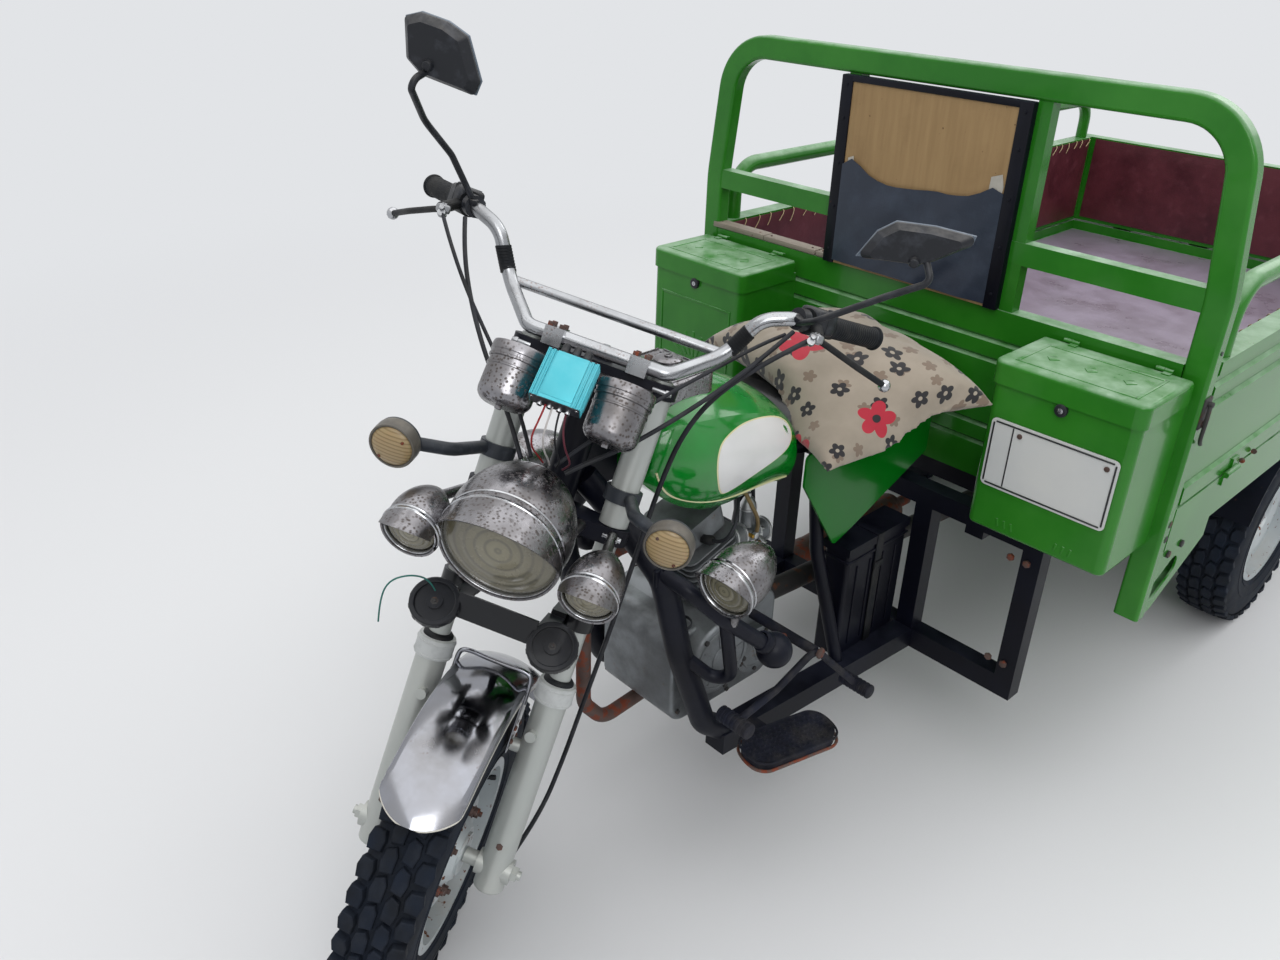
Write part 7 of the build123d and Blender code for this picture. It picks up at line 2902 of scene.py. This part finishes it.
    def latches(self) -> None:
        """A hooked latch on each hoop post and at each rear corner, with rubber buffers."""
        latch = Shape()
        latch.block((5, 30, 58), moved(600.5, 20, 900), bevel=1.6)
        latch.disc(5, 12, moved(606, 20, 918) @ TO_LEFT, sides=24, bevel=1.0)
        latch.pipe(
            [(607, 20, 918), (610, 12, 900), (610, 10, 872), (608, 16, 846), (606, 30, 838)], 3.6, sides=8
        )
        latch.disc(7, 6, moved(602, 20, 880) @ TO_LEFT, sides=6, bevel=0.9)
        latch.both()
        self.on_bed("hoop_latches", latch, "spring_steel")
        hook = [(604, 1824, 930), (608, 1840, 934), (608, 1858, 930), (605, 1874, 922)]
        for side, body, name in ((1, Body.LEFT_SIDE, "left"), (-1, Body.RIGHT_SIDE, "right")):
            ends = Shape()
            ends.block((4, 70, 26), moved(side * 602.2, 1850, 930), bevel=1.4)
            ends.pipe([(side * x, y, z) for x, y, z in hook], 4, sides=8)
            ends.disc(6, 5, moved(side * 604, 1830, 930) @ TO_LEFT, sides=6, bevel=0.8)
            piece(f"side_latch_{name}", ends, self.bed, body, "spring_steel")
        spots = Shape()
        spots.disc(9, 3, moved(597, 18, 1010) @ TO_LEFT, sides=20, bevel=0.8)
        spots.disc(4, 5, moved(599, 18, 1010) @ TO_LEFT, sides=14, bevel=0.8)
        self.on_bed("post_buttons", spots.both(), "black_plastic")


@dataclass
class ToolBoxDress(Dress):
    """Pressed panels on the lids, locks, front ornaments and the blank plate."""

    middle: float = 441.0
    depth: float = 182.0
    rim: float = 930.0
    top: float = 961.0
    plate_height: float = 787.0

    def build(self) -> None:
        """Dresses both boxes."""
        for side, lid_body, name in ((1, Body.LEFT_LID, "left"), (-1, Body.RIGHT_LID, "right")):
            turn = Matrix() if side > 0 else MIRROR_X
            self.lid(turn, lid_body, name)
            self.front(turn, side, name)
        self.plate()

    def lid(self, turn: Matrix, body: Body, name: str) -> None:
        """A raised frame and star pressed into the lid's top.

        Args:
            turn: The matrix to the box's side.
            body: The lid's body.
            name: Its side's name.
        """
        shape = Shape()
        for y, long in ((-160, 216), (-48, 216)):
            shape.block((long, 7, 2.4), turn @ moved(self.middle, y, self.top), bevel=1.1)
        for x in (-108, 108):
            shape.block((7, 119, 2.4), turn @ moved(self.middle + x, -104, self.top), bevel=1.1)
        for dx in (-70, 0, 70):
            petal = [(0, -14), (9, -4), (12, 0), (9, 4), (0, 14), (-9, 4), (-12, 0), (-9, -4)]
            shape.prism(
                petal, 1.8, turn @ moved(self.middle + dx, -104, self.top - 0.4), bevel=1.0, segments=2
            )
        piece(f"lid_pressing_{name}", shape, self.bed, body, "bed_green")

    def front(self, turn: Matrix, side: int, name: str) -> None:
        """A stepped panel and a pressed fan on the box's front, and the round lock.

        Args:
            turn: The matrix to the box's side.
            side: 1 for the left box and -1 for the right.
            name: Its side's name.
        """
        face = turn @ facing((self.middle, -self.depth, 0), (0, -1, 0))
        shape = Shape()
        if side < 0:
            shape.block((212, 5, 2.6), face @ moved(0, 866, 0.6), bevel=1.2)
            shape.block((212, 5, 2.6), face @ moved(0, 664, 0.6), bevel=1.2)
            for x in (-106, 106):
                shape.block((5, 207, 2.6), face @ moved(x, 765, 0.6), bevel=1.2)
            for k in range(-3, 4):
                ray = face @ moved(0, 700, 0) @ turned_about("Z", k * 17) @ moved(0, 62, 0)
                shape.block((8, 62 - abs(k) * 6, 2.8), ray, bevel=1.3)
        for x, lean in ((-72, 12), (72, -12)):
            for k in range(3):
                ray = face @ moved(x + k * 14 * (1 if x < 0 else -1), 652, 0) @ turned_about("Z", lean)
                shape.block((5, 16, 2.2), ray, bevel=1.0)
        self.on_bed(f"box_pressing_{name}", shape, "bed_green")
        lock = Shape()
        centre = face @ moved(0, self.rim - 22, 6)
        lock.turned(
            [(0.0, 1.4), (5.4, 1.4), (5.8, 2.2), (9, 2.4), (11.4, 1.2), (12, -2), (11, -6), (0, -6)],
            centre,
            steps=36,
        )
        self.on_bed(f"box_lock_{name}", lock, "black_plastic")
        core = Shape()
        core.disc(5.2, 2, centre @ moved(0, 0, 1.4), sides=24, bevel=0.5)
        core.block((1.3, 5.6, 1.2), centre @ moved(0, 0, 2.4))
        self.on_bed(f"box_lock_core_{name}", core, "bright_chrome")

    def plate(self) -> None:
        """The blank plate's raised border, the divider of its end panel and its screws."""
        face = facing((self.middle, -self.depth - 4.2, self.plate_height), (0, -1, 0))
        rim = Shape()
        for y in (-61.5, 61.5):
            rim.block((222, 3.2, 2.2), face @ moved(0, y, 0.4), bevel=0.9)
        for x in (-114.5, 114.5):
            rim.block((3.2, 118, 2.2), face @ moved(x, 0, 0.4), bevel=0.9)
        rim.block((2.6, 118, 1.6), face @ moved(-76, 0, 0.2), bevel=0.6)
        self.on_bed("plate_border", rim, "plate_steel", PLATE_EDGE)
        screws = Shape()
        for x in (-62, 100):
            screws.disc(5, 2.2, face @ moved(x, 48, 1), sides=20, bevel=0.8)
            screws.block((7, 1.2, 0.6), face @ moved(x, 48, 2.1) @ turned_about("Z", 30))
        self.on_bed("plate_screws", screws, "exhaust_steel")


@dataclass
class Stage:
    """The pale floor, the soft lights and the camera of the photograph."""

    layout: Layout
    position: Point = (1153, -1849, 1649)
    azimuth: float = radians(46.524)
    elevation: float = radians(28.446)
    roll: float = radians(1.675)
    focal_pixels: float = 1059.707
    sensor: float = 36.0
    floor_size: float = 60.0
    floor_colour: str = "#d6d7d9"
    sky_low: str = "#e2e4e7"

    def build(self) -> None:
        """Makes the floor, the lights, the world and the camera."""
        self.make_floor()
        self.make_world()
        self.make_lights()
        self.make_camera()
        bpy.context.scene.view_settings.view_transform = "Standard"

    def make_floor(self) -> None:
        """A plain pale floor that keeps the tricycle's shadow."""
        shape = bmesh.new()
        bmesh.ops.create_grid(shape, x_segments=2, y_segments=2, size=self.floor_size)
        mesh = bpy.data.meshes.new("floor")
        shape.to_mesh(mesh)
        shape.free()
        floor = bpy.data.objects.new("floor", mesh)
        bpy.context.collection.objects.link(floor)
        material = bpy.data.materials.new("pale_studio_floor")
        material.use_nodes = True
        tree = material.node_tree
        shader = tree.nodes["Principled BSDF"]
        shader.inputs["Base Color"].default_value = linear(self.floor_colour)
        shader.inputs["Roughness"].default_value = 0.9
        spot = add(tree, "TexCoord").outputs["Object"]
        away = add(tree, "VectorMath", {0: spot}, operation="LENGTH").outputs["Value"]
        far = add(
            tree,
            "MapRange",
            {"Value": away, "From Min": 1.6, "From Max": 5.0},
            interpolation_type="SMOOTHSTEP",
        )
        glow = add(tree, "Emission", {"Color": linear(self.sky_low), "Strength": 1.0})
        share = add(
            tree, "Math", {0: far.outputs["Result"], 1: self.seen(tree)}, operation="MULTIPLY"
        ).outputs[0]
        mixed = add(tree, "MixShader", {0: share, 1: shader.outputs["BSDF"], 2: glow.outputs[0]}).outputs[0]
        tree.links.new(mixed, tree.nodes["Material Output"].inputs["Surface"])
        mesh.materials.append(material)

    def seen(self, tree: bpy.types.NodeTree) -> bpy.types.NodeSocket:
        """1 where the camera, a reflection or a see-through surface looks, and 0 for the light that falls."""
        path = add(tree, "LightPath").outputs
        two = add(tree, "Math", {0: path["Is Camera Ray"], 1: path["Is Glossy Ray"]}, operation="MAXIMUM")
        return add(
            tree, "Math", {0: two.outputs[0], 1: path["Is Transmission Ray"]}, operation="MAXIMUM"
        ).outputs[0]

    def make_world(self) -> None:
        """A soft sky: brighter overhead, so that chrome has something to show."""
        world = bpy.data.worlds.new("soft_sky")
        world.use_nodes = True
        tree = world.node_tree
        tree.nodes.clear()
        direction = add(tree, "TexCoord").outputs["Generated"]
        height = add(tree, "SeparateXYZ", {"Vector": direction}).outputs["Z"]
        above = add(tree, "MapRange", {"Value": height, "From Min": 0.0, "From Max": 0.8}).outputs["Result"]
        sky = blended(tree, above, linear("#8e9298"), linear("#ffffff"))
        dim = add(tree, "Background", {"Color": sky, "Strength": 0.72})
        shown = blended(tree, above, linear(self.sky_low), linear("#ffffff"))
        bright = add(tree, "Background", {"Color": shown, "Strength": 1.0})
        seen = add(tree, "MixShader", {0: self.seen(tree), 1: dim.outputs[0], 2: bright.outputs[0]})
        add(tree, "OutputWorld", {"Surface": seen.outputs[0]})
        bpy.context.scene.world = world

    def make_lights(self) -> None:
        """One wide soft light overhead, a small key from the front left and one from behind."""
        for name, place, target, power, width in (
            ("overhead", (0.6, 0.2, 6.4), (0.0, 0.2, 0.4), 400.0, 11.0),
            ("key", (3.2, -3.4, 3.4), (0.0, 0.0, 0.6), 60.0, 2.4),
            ("back", (0.4, 4.6, 4.0), (0.0, 0.4, 0.8), 60.0, 3.0),
        ):
            lamp = bpy.data.lights.new(name, "AREA")
            lamp.energy = power
            lamp.size = width
            light = bpy.data.objects.new(name, lamp)
            light.location = place
            light.rotation_euler = (Vector(target) - Vector(place)).to_track_quat("-Z", "Y").to_euler()
            bpy.context.collection.objects.link(light)

    def make_camera(self) -> None:
        """The photograph's viewpoint."""
        turn = Matrix.Rotation(self.azimuth, 4, "Z") @ Matrix.Rotation(pi / 2 - self.elevation, 4, "X")
        turn = turn @ Matrix.Rotation(self.roll, 4, "Z")
        data = bpy.data.cameras.new("photo_camera")
        data.sensor_fit = "HORIZONTAL"
        data.sensor_width = self.sensor
        data.lens = self.focal_pixels / IMAGE_WIDTH * self.sensor
        data.clip_start = 0.05
        camera = bpy.data.objects.new("photo_camera", data)
        camera.matrix_world = Matrix.Translation(self.layout.bed() @ Vector(self.position)) @ turn
        bpy.context.collection.objects.link(camera)
        bpy.context.scene.camera = camera


def dress_solids(record: dict, nodes: dict) -> None:
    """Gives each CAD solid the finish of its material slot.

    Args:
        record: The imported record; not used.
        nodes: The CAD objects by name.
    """
    for name, obj in nodes.items():
        for place in obj.material_slots:
            slot = place.material.name.split(".")[0] if place.material else ""
            finish = NODE_FINISHES.get(name) or SLOT_FINISHES.get(slot)
            if finish:
                place.material = finish.material()
            else:
                LOG.warning("%s has the unknown slot %s", name, slot)


def main() -> None:
    """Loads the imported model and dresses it."""
    logging.basicConfig(level=logging.INFO, format="%(name)s: %(message)s")
    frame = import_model()
    layout = Layout(bed_face=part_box("front_hoop")[0].y)
    Stage(layout).build()
    Cables(layout).build()
    dress_solids(frame["record"], frame["nodes"])
    Wheels(layout).build()
    ForkDress(layout).build()
    LampDress(layout).build()
    Cockpit(layout).build()
    TankTrim(layout, frame["nodes"]["fuel_tank"]).build()
    SeatPad(layout).build()
    Cushion(layout).build()
    EngineDress(layout).build()
    Footwork(layout).build()
    ChassisDress(layout).build()
    BedDress(layout).build()
    ToolBoxDress(layout).build()


if __name__ == "__main__":
    main()
